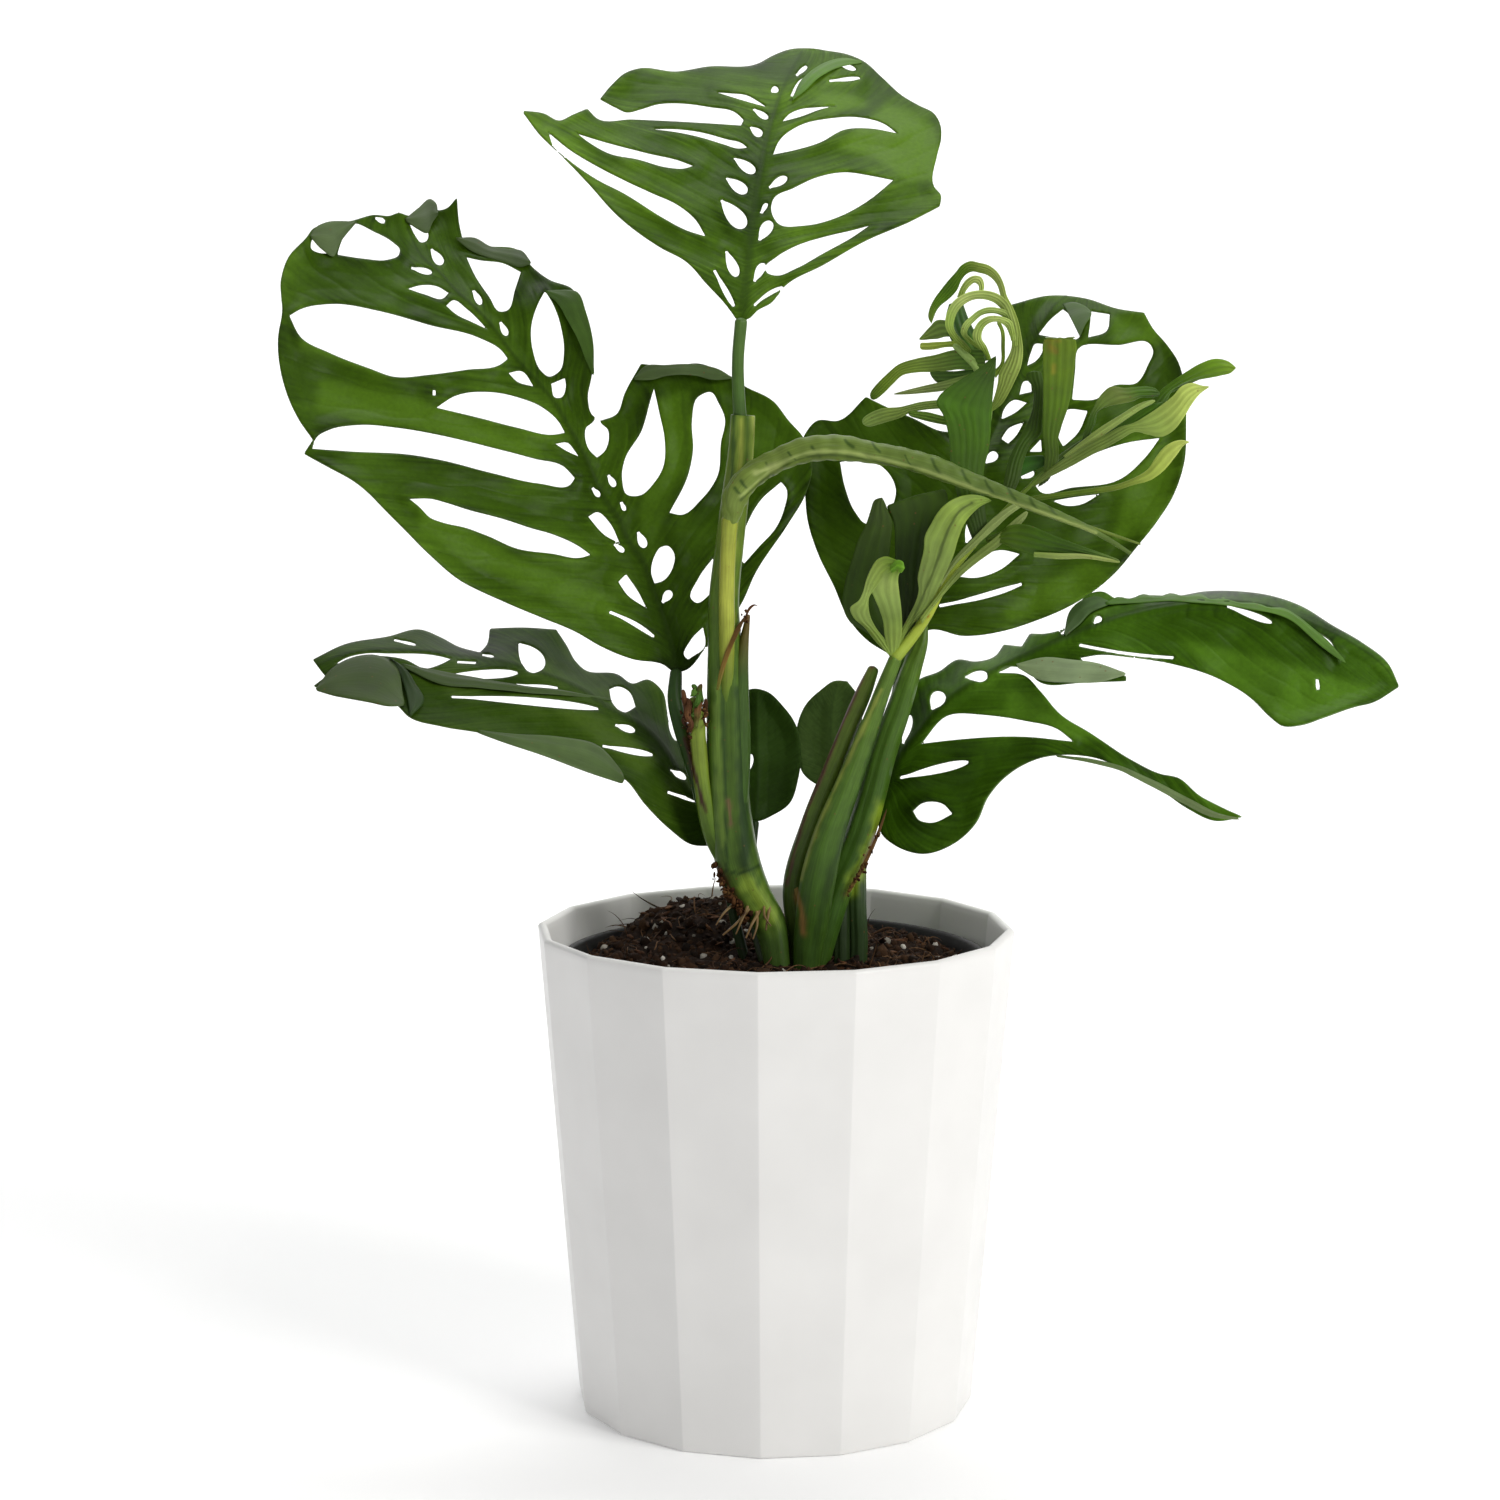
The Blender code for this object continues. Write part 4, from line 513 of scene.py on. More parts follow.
def scattered(base, sizes, places, turns, chance, rough):
    """Copies of a base shape: each point = place + turn x (size x base point, pushed in or out)."""
    verts, count = base["verts"], len(places)
    shaped = verts[None] * sizes[:, None] * (1 + rough * chance.uniform(-1, 1, (count, len(verts), 1)))
    moved = np.einsum("nij,nvj->nvi", turns, shaped) + places[:, None]
    first = (np.arange(count) * len(verts))[:, None, None]
    faces = [(block[None] + first).reshape(-1, block.shape[1]) for block in base["faces"]]
    hue = np.repeat(chance.uniform(0, 1, count), len(verts))
    return {"verts": moved.reshape(-1, 3), "faces": faces, "hue": hue}


def on_soil(count, chance, sink, reach=0.97):
    """Random places over the soil, evenly spread by area, sunk in by the given depth."""
    away = SOIL_EDGE * reach * np.sqrt(chance.uniform(0, 1, count))
    turn = chance.uniform(0, 2 * math.pi, count)
    x, y = away * np.cos(turn), away * np.sin(turn)
    return np.stack([x, y, soil_height(x, y) - sink], -1)


def fibres(count, chance, sides=5, rings=8):
    """Thin bent hairs: each middle line is place + run x t + bend x (t - t^2), with a round section."""
    places = on_soil(count, chance, 0.0002, 0.93)
    run = unit(chance.normal(size=(count, 3)) * [1, 1, 0.35]) * chance.uniform(0.004, 0.014, (count, 1))
    bend = chance.normal(0, 0.006, (count, 3))
    bend[:, 2] = np.abs(bend[:, 2]) * 0.8
    t = np.linspace(0, 1, rings)[None, :, None]
    middle = places[:, None] + run[:, None] * t + bend[:, None] * (t - t ** 2)
    middle[..., 2] = np.maximum(middle[..., 2], soil_height(middle[..., 0], middle[..., 1]))
    ahead = unit(np.gradient(middle, axis=1))
    side = unit(np.cross(ahead, [0.2, 0.1, 1.0]))
    over = np.cross(side, ahead)
    angle = np.linspace(0, 2 * math.pi, sides, endpoint=False)
    thick = (chance.uniform(0.00012, 0.0003, (count, 1)) * (1.15 - t[0, :, 0] ** 2))[..., None, None]
    ring = middle[:, :, None] + thick * (side[:, :, None] * np.cos(angle)[:, None]
                                         + over[:, :, None] * np.sin(angle)[:, None])
    hues = chance.uniform(0, 1, count)
    return joined([skin(one, hue=np.full((rings, sides), hue)) for one, hue in zip(ring, hues)])


# %% Strewing crumbs, chips, grains and fibres
chance = np.random.default_rng(11)


def strewn(base, sizes, sink, lie_flat, rough):
    """Copies of a lump all over the soil, one for each size."""
    places = on_soil(len(sizes), chance, sink)
    return scattered(base, sizes, places, turned_at_random(len(sizes), chance, lie_flat), chance, rough)


crumb_size = np.exp(chance.normal(math.log(0.0011), 0.40, (CRUMBS, 1))) * chance.uniform(0.6, 1.2, (CRUMBS, 3))
crumbs = strewn(lump(3, 5), crumb_size, 0.0002, 0.0, 0.35)
chip_size = np.stack([chance.uniform(low, high, CHIPS) for low, high in
                      ((0.0012, 0.0046), (0.0006, 0.0017), (0.0003, 0.0009))], 1)
chips = strewn(lump(4, 6), chip_size, -0.0001, 0.6, 0.32)
grain_size = chance.uniform(0.0009, 0.0019, (GRAINS, 1)) * chance.uniform(0.8, 1.15, (GRAINS, 3))
perlite = strewn(lump(4, 7), grain_size, 0.0006, 0.0, 0.22)
hairs = fibres(FIBRES, chance)
print("lumps in the soil:", CRUMBS + CHIPS + GRAINS, "and", FIBRES, "fibres")


# %% Peat, bark and perlite
def earthy_finish(name, stops, rough, grain_mm, lift_mm):
    """Colour by each lump's own hue and by a noise of the grain's size, with a bump of the same noise."""
    made, tree, shader = new_finish(name, Roughness=rough, Specular_IOR_Level=0.15)
    where = add(tree, "TexCoord", out="Object")
    fine = add(tree, "TexNoise", {"Vector": where, "Scale": 1 / (grain_mm * MM), "Detail": 6.0,
                                  "Roughness": 0.65})
    hue = add(tree, "Attribute", out="Fac", attribute_name="hue")
    hue = add(tree, "Math", {0: hue, 1: 0.55}, operation="MULTIPLY")
    mixed = add(tree, "Math", {0: fine, 1: 0.7, 2: hue}, operation="MULTIPLY_ADD")
    wire(tree, shader, Base_Color=add(tree, "ValToRGB", {0: mixed}, stops),
         Normal=add(tree, "Bump", {"Height": fine, "Strength": 0.8, "Distance": lift_mm * MM}))
    return made


peat_finish = earthy_finish("moist_peat_crumb", [(0.2, "#0d0704"), (0.45, "#1b110a"), (0.7, "#2d1c10"),
                                                 (0.95, "#443020")], 0.95, 1.6, 0.5)
bark_finish = earthy_finish("composted_pine_bark", [(0.2, "#160e09"), (0.5, "#2c1b11"), (0.75, "#4a2f1d"),
                                                    (1.0, "#6b4a30")], 0.82, 0.9, 0.3)
perlite_finish = earthy_finish("expanded_perlite_grains", [(0.2, "#5a554e"), (0.5, "#8c867d"),
                                                           (0.9, "#bab5ac")], 0.9, 0.5, 0.2)
fibre_finish = earthy_finish("coir_fibre", [(0.2, "#1e130c"), (0.6, "#46301f"), (1.0, "#7a5c40")],
                             0.8, 0.8, 0.05)
soil_mesh = soil_shape()
soil_mesh["hue"] = 0.25 + 0.25 * waves(soil_mesh["verts"], 0.01, 21)
piece("soil_surface", soil_mesh, peat_finish, "soil", "soil")
piece("soil_crumbs", crumbs, peat_finish, "soil")
piece("bark_chips", chips, bark_finish, "soil")
piece("perlite_grains", perlite, perlite_finish, "soil")
piece("soil_fibres", hairs, fibre_finish, "soil")

# %% [markdown]
# ## Leaf blades
# A grown leaf is one leathery sheet, about half a millimetre thick, with a stout midrib. Its holes lie
# between the side veins, so that every strap between two holes has a vein in its sunken middle. A flat
# plane with an alpha picture would give the outline and nothing else. Here the blade is a grid of small
# cells over the front view. A cell is kept if its middle lies inside the margin and outside the holes,
# the points on the border of what is kept are pulled onto the nearest edge, and every point gets its
# depth from lines that run from the midrib to the margin.

# %% Which grid points lie inside a loop
BLADE_STEP = 1.5  # units between two lines of the grid


def filled(loop, low, shape):
    """True for grid points inside a closed loop.

    Each edge marks the first grid point to the right of where it crosses a grid row; the running
    count of marks along the row is odd inside the loop.
    """
    start, end = loop, np.roll(loop, -1, 0)
    first = np.ceil((np.minimum(start[:, 1], end[:, 1]) - low[1]) / BLADE_STEP).astype(int)
    rows = np.ceil((np.maximum(start[:, 1], end[:, 1]) - low[1]) / BLADE_STEP).astype(int) - first
    edge = np.repeat(np.arange(len(loop)), rows)
    row = np.arange(len(edge)) - np.repeat(np.cumsum(rows) - rows, rows) + first[edge]
    share = (low[1] + row * BLADE_STEP - start[edge, 1]) / (end[edge, 1] - start[edge, 1])
    crossing = start[edge, 0] + share * (end[edge, 0] - start[edge, 0])
    column = np.clip(np.ceil((crossing - low[0]) / BLADE_STEP).astype(int), 0, shape[1])
    marks = np.zeros((shape[0], shape[1] + 1), int)
    np.add.at(marks, (row, column), 1)
    return np.cumsum(marks, 1)[:, :-1] % 2 == 1


def nearest_edge(places, loops):
    """The nearest point of the loops to each place: first the nearest loop point, then the better of
    the feet of the two perpendiculars onto the edges that meet there."""
    corner = np.vstack(loops)
    neighbours = [np.vstack([np.roll(loop, by, 0) for loop in loops]) for by in (-1, 1)]
    closest = np.empty(len(places), int)
    for part in np.array_split(np.arange(len(places)), len(places) * len(corner) // 4_000_000 + 1):
        square = (corner ** 2).sum(1) - 2 * places[part] @ corner.T
        closest[part] = square.argmin(1)
    best = corner[closest]
    for other in neighbours:
        run = other[closest] - corner[closest]
        share = ((places - corner[closest]) * run).sum(1) / ((run ** 2).sum(1) + 1e-9)
        foot = corner[closest] + np.clip(share, 0, 1)[:, None] * run
        nearer = np.linalg.norm(places - foot, axis=1) < np.linalg.norm(places - best, axis=1)
        best[nearer] = foot[nearer]
    return best


def teardrop(slit, count=40):
    """A slit's loop, pointed at its start and round at its end, bowed to one side.

    With the angle a running round: along = (1 - cos a) / 2, across = sin a x sin(a / 2)^0.8, and never
    narrower than the grid can carry.
    """
    x0, y0, x1, y1, width, bow = slit
    angle = np.linspace(0, 2 * math.pi, count, endpoint=False)
    along = (1 - np.cos(angle)) / 2
    half = np.sin(angle) * np.sin(angle / 2) ** 0.8 / 0.79 * width / 2
    half = np.sign(np.round(half, 6)) * np.maximum(np.abs(half), 1.07 * BLADE_STEP)
    across = half + bow * 4 * along * (1 - along)
    run = np.array([x1 - x0, y1 - y0], float)
    normal = np.array([-run[1], run[0]]) / np.hypot(*run)
    return np.array([x0, y0]) + run * along[:, None] + normal * across[:, None]


# %% How far back each point of a blade is
def blade_table(leaf, along=57, across=9):
    """Places on the two halves, each spanned by straight lines from the rib to a margin.

    Columns are across, down, back, share of the way to the tip, and share of the way to the margin,
    counted negative on the left half.
    """
    rib = spread(leaf["rib"], along)
    tipward = np.linspace(0, 1, along)
    rows = []
    for margin, sign in (("left", -1), ("right", 1)):
        edge = spread(leaf[margin], along)
        for share in np.linspace(0, 1, across):
            rows.append(np.column_stack([rib + (edge - rib) * share, tipward, np.full(along, sign * share)]))
    return np.vstack(rows)


def fitted(table, places, reach=16.0):
    """back, tipward and sideward at each place: the height there of a plane fitted to the table near by.

    Each table row counts as exp(-(distance / reach)^2). With the rows' offsets (u, v) from the place,
    the plane c + p u + q v solves three equations, which are the same for every column asked for.
    """
    found = np.empty((len(places), 3))
    for part in np.array_split(np.arange(len(places)), len(places) * len(table) // 3_000_000 + 1):
        u = table[:, 0] - places[part, :1]
        v = table[:, 1] - places[part, 1:]
        w = np.exp(-(u ** 2 + v ** 2) / reach ** 2) + 1e-9
        sums = [w.sum(1), (w * u).sum(1), (w * v).sum(1), (w * u * u).sum(1), (w * u * v).sum(1),
                (w * v * v).sum(1)]
        left = np.stack([np.stack([sums[0], sums[1], sums[2]], -1), np.stack([sums[1], sums[3], sums[4]], -1),
                         np.stack([sums[2], sums[4], sums[5]], -1)], 1)
        left += np.eye(3) * 1e-7
        right = np.stack([w @ table[:, 2:], (w * u) @ table[:, 2:], (w * v) @ table[:, 2:]], 1)
        found[part] = np.linalg.solve(left, right)[:, 0]
    return found


# %% Cutting the grid along the outline and the gaps
MARGIN_CORNER, HOLE_CORNER = 52.0, 78.0  # a line that turns by more degrees than this stays sharp
LOOP_GAP = 2.0  # units between two points of an outline


def blade_loops(leaf):
    """A leaf's outline, and the loops of its slits and holes."""
    way_back = drawn(leaf["way_back"]) if "way_back" in leaf else drawn(leaf["right"])[::-1, :2]
    margin = np.vstack([drawn(leaf["left"])[:, :2], way_back])
    outline = even_loop(smooth_run(margin, 8, True, MARGIN_CORNER), LOOP_GAP)
    holes = [smooth_run(hole, 6, True, HOLE_CORNER) for hole in loops(leaf.get("holes", ""))]
    gaps = [teardrop(slit) for slit in drawn(leaf.get("slits", ""))] + holes
    return outline, [even_loop(gap, LOOP_GAP) for gap in gaps]


def cut_grid(outline, gaps):
    """The grid's low corner, which of its cells are leaf, and how many leaf cells meet at each point."""
    low = outline.min(0) - 3 * BLADE_STEP
    shape = tuple(np.ceil((outline.max(0) + 3 * BLADE_STEP - low) / BLADE_STEP).astype(int)[::-1])
    cells = (shape[0] - 1, shape[1] - 1)
    cell = filled(outline, low + BLADE_STEP / 2, cells)
    for gap in gaps:
        cell &= ~filled(gap, low + BLADE_STEP / 2, cells)
    around = np.zeros(shape, int)
    for rows in (slice(0, -1), slice(1, None)):
        for columns in (slice(0, -1), slice(1, None)):
            around[rows, columns] += cell
    return low, cell, around


def softened(grid, times):
    """The grid, averaged with its neighbours with weights 1, 2, 1 along rows and columns."""
    for _ in range(times):
        for axis in (0, 1):
            grid = (np.roll(grid, 1, axis) + 2 * grid + np.roll(grid, -1, axis)) / 4
    return grid


# %% Side veins and relief
SIDE_VEINS = 20  # between a leaf's base and its tip, on each half
CHANNEL = 0.36  # how steeply a strap sinks from its edge to its middle
SWELL_MM, RIPPLE_MM, CREASE_MM, ROLL_MM = 1.3, 0.35, 0.34, 0.45  # broad waves, short ones, veins, margin


def long_axis(loop):
    """The two ends of a loop's longest direction, from the singular vectors of its points."""
    middle = loop.mean(0)
    axis = np.linalg.svd(loop - middle, full_matrices=False)[2][0]
    reach = (loop - middle) @ axis
    return middle + np.outer([reach.min(), reach.max()], axis)


def vein_lean(table, gaps):
    """How far veins run tipward on their way to the margin, on the left and the right half.

    Veins run beside the holes. With t and s the tipward and sideward steps along each hole's long
    axis, lean = sum of t s / sum of s squared. A whole leaf's veins lean a little.
    """
    if len(gaps) < 3:
        return [0.2, 0.2]
    ends = fitted(table, np.concatenate([long_axis(gap) for gap in gaps]))[:, 1:].reshape(-1, 2, 2)
    t, s = (ends[:, 1] - ends[:, 0]).T
    right = ends[:, :, 1].mean(1) > 0
    return [float(np.clip((t * s)[half].sum() * sign / max((s ** 2)[half].sum(), 1e-6), -0.2, 0.8))
            for half, sign in ((~right, -1), (right, 1))]


def blade_relief(flat, crease, soft_mm, away_mm, off_rib, apart, seed):
    """How far the sheet lies behind its plain shape, in mm, and where the fine relief fades out.

    relief = channel x (softened distance to the nearest edge) + broad waves and ripples
             + narrow creases along the side veins + rounded-over margin.
    Ripples and creases fade to nothing at the margin and at the rib.
    """
    fade = np.clip(away_mm / 2.5, 0, 1) * apart
    relief = CHANNEL * np.clip(soft_mm, 0, 5.5) * apart
    relief = relief + SWELL_MM * waves(flat, 95.0, seed) * np.clip(off_rib / 12, 0, 1)
    relief += RIPPLE_MM * waves(flat, 34.0, seed + 1) * fade
    relief += CREASE_MM * crease ** 4 * fade
    relief += ROLL_MM * np.clip(1 - away_mm / 1.3, 0, 1) ** 2
    return relief, fade


# %% The blade itself
BLADE_HALF_MM = 0.24  # half the thickness of the sheet


def two_sheets(middle, cell, used, ridge):
    """An upper and a lower sheet on both sides of the middle one, joined by a rim.

    Half thickness = a constant, plus a share of the rib's half round, which is larger underneath. A rim
    face goes on every edge that only one cell has.
    """
    number = np.full(used.shape, -1)
    number[used] = np.arange(used.sum())
    r, c = np.nonzero(cell)
    quads = np.column_stack([number[r, c], number[r + 1, c], number[r + 1, c + 1], number[r, c + 1]])
    across = np.cross(middle[quads[:, 2]] - middle[quads[:, 0]], middle[quads[:, 1]] - middle[quads[:, 3]])
    normal = np.zeros_like(middle)
    for k in range(4):
        np.add.at(normal, quads[:, k], -across)
    normal = unit(normal)
    normal[(normal * (EYE - middle)).sum(1) < 0] *= -1
    upper = middle + normal * ((BLADE_HALF_MM + 0.22 * ridge) * MM)[:, None]
    lower = middle - normal * ((BLADE_HALF_MM + 0.80 * ridge) * MM)[:, None]
    count = len(middle)
    from_, to = quads.ravel(), np.roll(quads, -1, 1).ravel()
    lone = ~np.isin(to * count + from_, from_ * count + to)
    a, b = from_[lone], to[lone]
    rim = np.column_stack([b, a, a + count, b + count])
    return {"verts": np.vstack([upper, lower]), "faces": [quads, quads[:, ::-1] + count, rim]}


def blade_shape(leaf, seed, rib_width):
    """A grown leaf: back = fitted depth + relief, with a half-round rib, h = w sqrt(1 - (distance / w)^2)."""
    outline, gaps = blade_loops(leaf)
    low, cell, around = cut_grid(outline, gaps)
    shape, used = around.shape, around > 0
    place = np.stack(np.meshgrid(*[low[k] + np.arange(shape[1 - k]) * BLADE_STEP for k in (0, 1)]), -1)
    flat, pulled = place[used], around[used] < 4
    edge = nearest_edge(flat, [outline] + gaps)
    away = np.linalg.norm(flat - edge, axis=1)
    flat[pulled], away[pulled] = edge[pulled], 0.0
    distance, painted_sheen = np.zeros(shape), np.zeros(shape)
    distance[used] = away
    soft_mm, away_mm = softened(distance, 8)[used] * UNIT_MM, away * UNIT_MM
    # Patches of painted sheen: where the blade turns to the light it is painted lighter.
    for patch in loops(leaf.get("painted_sheen", "")):
        painted_sheen = np.maximum(painted_sheen, filled(patch, low, shape))
    painted_sheen = softened(painted_sheen, 9)[used]

    table = blade_table(leaf)
    back, tipward, sideward = fitted(table, flat).T
    lean = vein_lean(table, gaps)
    along_vein = tipward - np.where(sideward < 0, lean[0], lean[1]) * np.abs(sideward)
    print("vein lean", np.round(lean, 2), "cells", int(cell.sum()))
    rib_line = spread(smooth_run(drawn(leaf["rib"])[:, :2], 8), 160)
    rib_near = nearest_edge(flat, [np.vstack([rib_line, rib_line[-2:0:-1]])])
    off_rib = np.linalg.norm(flat - rib_near, axis=1) * UNIT_MM
    width = rib_width * (1 - 0.72 * np.clip(tipward, 0, 1))
    ridge = width * np.sqrt(np.clip(1 - (off_rib / width) ** 2, 0, 1))
    crease = 1 - np.abs(np.sin(along_vein * SIDE_VEINS * math.pi + 0.35 * waves(flat, 70.0, seed + 2)))
    apart = np.clip((off_rib - width) / 3.0, 0, 1)
    relief, fade = blade_relief(flat, crease, soft_mm, away_mm, off_rib, apart, seed)
    sheets = two_sheets(spots(np.column_stack([flat, back + relief])), cell, used, ridge)
    on_rib = np.clip(1 - (off_rib - width * 0.4) / width, 0, 1)
    both = {"painted_sheen": painted_sheen, "crease": crease ** 3 * fade, "edge": away_mm, "rib": on_rib}
    return {**sheets, "under": np.repeat([0.0, 1.0], len(flat)),
            **{key: np.tile(values, 2) for key, values in both.items()},
            "grain": np.tile(np.column_stack([along_vein, sideward, soft_mm]), (2, 1))}


# %% [markdown]
# ### The finish of a living leaf
# The upper side is deep green under a waxy film. Its colour changes slowly over the blade, the midrib is
# darker, the middle of a strap is lighter, and the thin rim has the underside's colour. The sunken creases
# along the side veins are darkened with painted shade, and patches that turn to the light are lightened
# with a painted sheen. The underside is paler and matt, with light veins. The veins follow the leaf, not
# the room, so they are read from each point's own place between base and tip ("grain") and not from the
# object's coordinates.

# %% Waxy upper side, matt underside
def leaf_finish(name, deep, mid, light, under, rough, veins=20.0, shine=0.10):
    """A leaf's colours from its own coordinates, with streaks along lines of equal tipward share."""
    made, tree, shader = new_finish(name, IOR=1.42, Specular_IOR_Level=shine)
    beneath, painted_sheen, edge, rib, crease = [add(tree, "Attribute", out="Fac", attribute_name=key) for key in
                                          ("under", "painted_sheen", "edge", "rib", "crease")]
    where = add(tree, "TexCoord", out="Object")
    broad = add(tree, "TexNoise", {"Vector": where, "Scale": 1 / (30 * MM), "Detail": 3.0})
    fine = add(tree, "TexNoise", {"Vector": where, "Scale": 1 / (1.6 * MM), "Detail": 5.0, "Roughness": 0.6})
    grain = add(tree, "Attribute", out="Vector", attribute_name="grain")
    grain = add(tree, "Mapping", {"Vector": grain, "Scale": (veins * 4.5, 1.6, 0.0)})
    streaks = add(tree, "TexNoise", {"Vector": grain, "Scale": 1.0, "Detail": 3.0})
    mixed = add(tree, "Math", {0: streaks, 1: 0.50, 2: broad}, operation="MULTIPLY_ADD")
    upper = add(tree, "ValToRGB", {0: mixed}, [(0.56, deep), (0.76, mid), (1.0, light)])
    # Painted shade: darker along the sunken creases of the side veins.
    crease_shade = add(tree, "MapRange", {0: crease, 1: 0.55, 2: 1.0, 3: 0.0, 4: 0.55})
    strap_middle = add(tree, "MapRange", {0: edge, 1: 0.6, 2: 4.5, 3: 0.0, 4: 0.6})
    # Painted sheen: the patches that turn to the light take the light green.
    sheen_share = add(tree, "Math", {0: painted_sheen, 1: 0.75}, operation="MULTIPLY")
    rim = add(tree, "MapRange", {0: edge, 1: 0.0, 2: 0.35, 3: 0.35, 4: 0.0})
    midrib = add(tree, "Math", {0: rib, 1: 0.50}, operation="MULTIPLY")
    for share, tone in ((crease_shade, deep), (strap_middle, mid), (sheen_share, light), (rim, under),
                        (midrib, deep)):
        upper = add(tree, "Mix", {0: share, 6: upper, 7: tone}, out=2, data_type="RGBA")
    lower = add(tree, "ValToRGB", {0: mixed}, [(0.55, under), (1.0, light)])
    pale_veins = add(tree, "MapRange", {0: crease, 1: 0.3, 2: 1.0, 3: 0.0, 4: 0.40})
    for share, tone in ((0.55, under), (pale_veins, light)):
        lower = add(tree, "Mix", {0: share, 6: lower, 7: tone}, out=2, data_type="RGBA")
    colour = add(tree, "Mix", {0: beneath, 6: upper, 7: lower}, out=2, data_type="RGBA")
    specks = add(tree, "MapRange", {0: fine, 1: 0.35, 2: 0.65, 3: 0.90, 4: 1.06})
    colour = add(tree, "Mix", {0: 1.0, 6: colour, 7: specks}, out=2, data_type="RGBA", blend_type="MULTIPLY")
    gloss = add(tree, "MapRange", {0: broad, 1: 0.3, 2: 0.7, 3: rough - 0.05, 4: rough + 0.07})
    gloss = add(tree, "Math", {0: beneath, 1: 0.22, 2: gloss}, operation="MULTIPLY_ADD")
    relief = add(tree, "Math", {0: streaks, 1: 1.6, 2: fine}, operation="MULTIPLY_ADD")
    wire(tree, shader, Base_Color=colour, Roughness=gloss,
         Normal=add(tree, "Bump", {"Height": relief, "Strength": 0.30, "Distance": 0.16 * MM}))
    return made


# %% [markdown]
# ### Seven drawings
# Each grown leaf is drawn on the front view. Its rib and its left and right margin run from the stalk to
# the tip, as across, down and back. A slit is a start, an end, a width and a bow. Holes and the patches of
# painted sheen, where the blade turns to the light, are closed loops. Where a margin folds back on itself,
# "way_back" is the outline from the tip to the stalk, and the right margin only gives the depths.

# %% The top leaf, seen from below its tip
TOP_LEAF = {
    "rib": "742,320,0 746,294,7 752,235,24 760,177,44 765,147,56 773,118,69 783,89,84 793,68,98 802,53,112",
    "left": """736,319,0 729,309,2 705,282,6 688,263,10 658,246,14 617,215,20 588,183,28 559,153,36
    541,136,42 522,111,48 544,114,52 559,121,52 573,115,56 587,109,58 597,119,58 632,120,60 676,122,62
    711,124,64 741,126,66 744,120,68 735,112,72 711,107,75 676,103,76 658,104,76 641,109,74 626,112,73
    617,108,74 600,99,75 611,86,80 626,73,86 638,69,90 676,72,96 708,67,102 758,64,110 773,56,114
    789,50,118""",
    "right": """748,319,0 758,310,1 771,303,3 785,286,7 823,265,13 867,240,20 911,221,27 940,206,33
    941,196,38 934,187,42 937,156,56 941,139,64 940,124,72 934,114,78 919,106,84 902,96,90 881,77,100
    864,62,108 848,55,114 826,51,118 812,49,119""",
    "slits": """771,92,778,88,8,0 753,109,768,119,7,0 750,127,762,136,9,0 734,158,755,173,11,0
    726,178,747,193,12,0 721,200,745,228,17,0 726,251,737,277,11,0 714,270,734,307,6,0 796,76,807,66,5,0
    791,97,806,78,8,0 769,188,787,177,9,0 761,214,767,203,5,0 759,241,771,221,12,0 754,282,764,263,9,0
    754,306,783,287,5,-2 837,63,856,70,6,0 829,81,860,78,5,0""",
    "holes": """771,210 774,198 793,188 817,177 846,172 868,175 894,180 870,200 837,218 805,226 778,224 |
    773,155 779,141 800,125 830,118 860,117 885,124 898,134 870,129 845,130 820,143 793,151 | 765,268
    776,257 793,247 823,237 852,230 871,225 852,238 823,254 796,269 776,276 767,273 | 548,132 553,146
    568,160 595,179 624,194 664,219 687,231 706,237 695,219 678,205 652,193 626,181 595,165 569,149 |
    576,133 589,143 609,154 638,160 667,168 684,169 694,166 678,160 652,154 624,147 595,139 | 646,129
    678,129 701,132 727,139 742,143 748,148 738,149 724,145 701,138 678,133 | 714,92 730,93 747,95
    758,101 768,108 750,103 730,97 | 782,122 789,114 800,109 816,107 838,106 820,110 801,117""",
    "painted_sheen": """888,104 915,112 935,128 941,150 938,182 906,182 876,160 836,148 856,128 872,116 | 812,92
    850,94 872,106 830,114""",
}

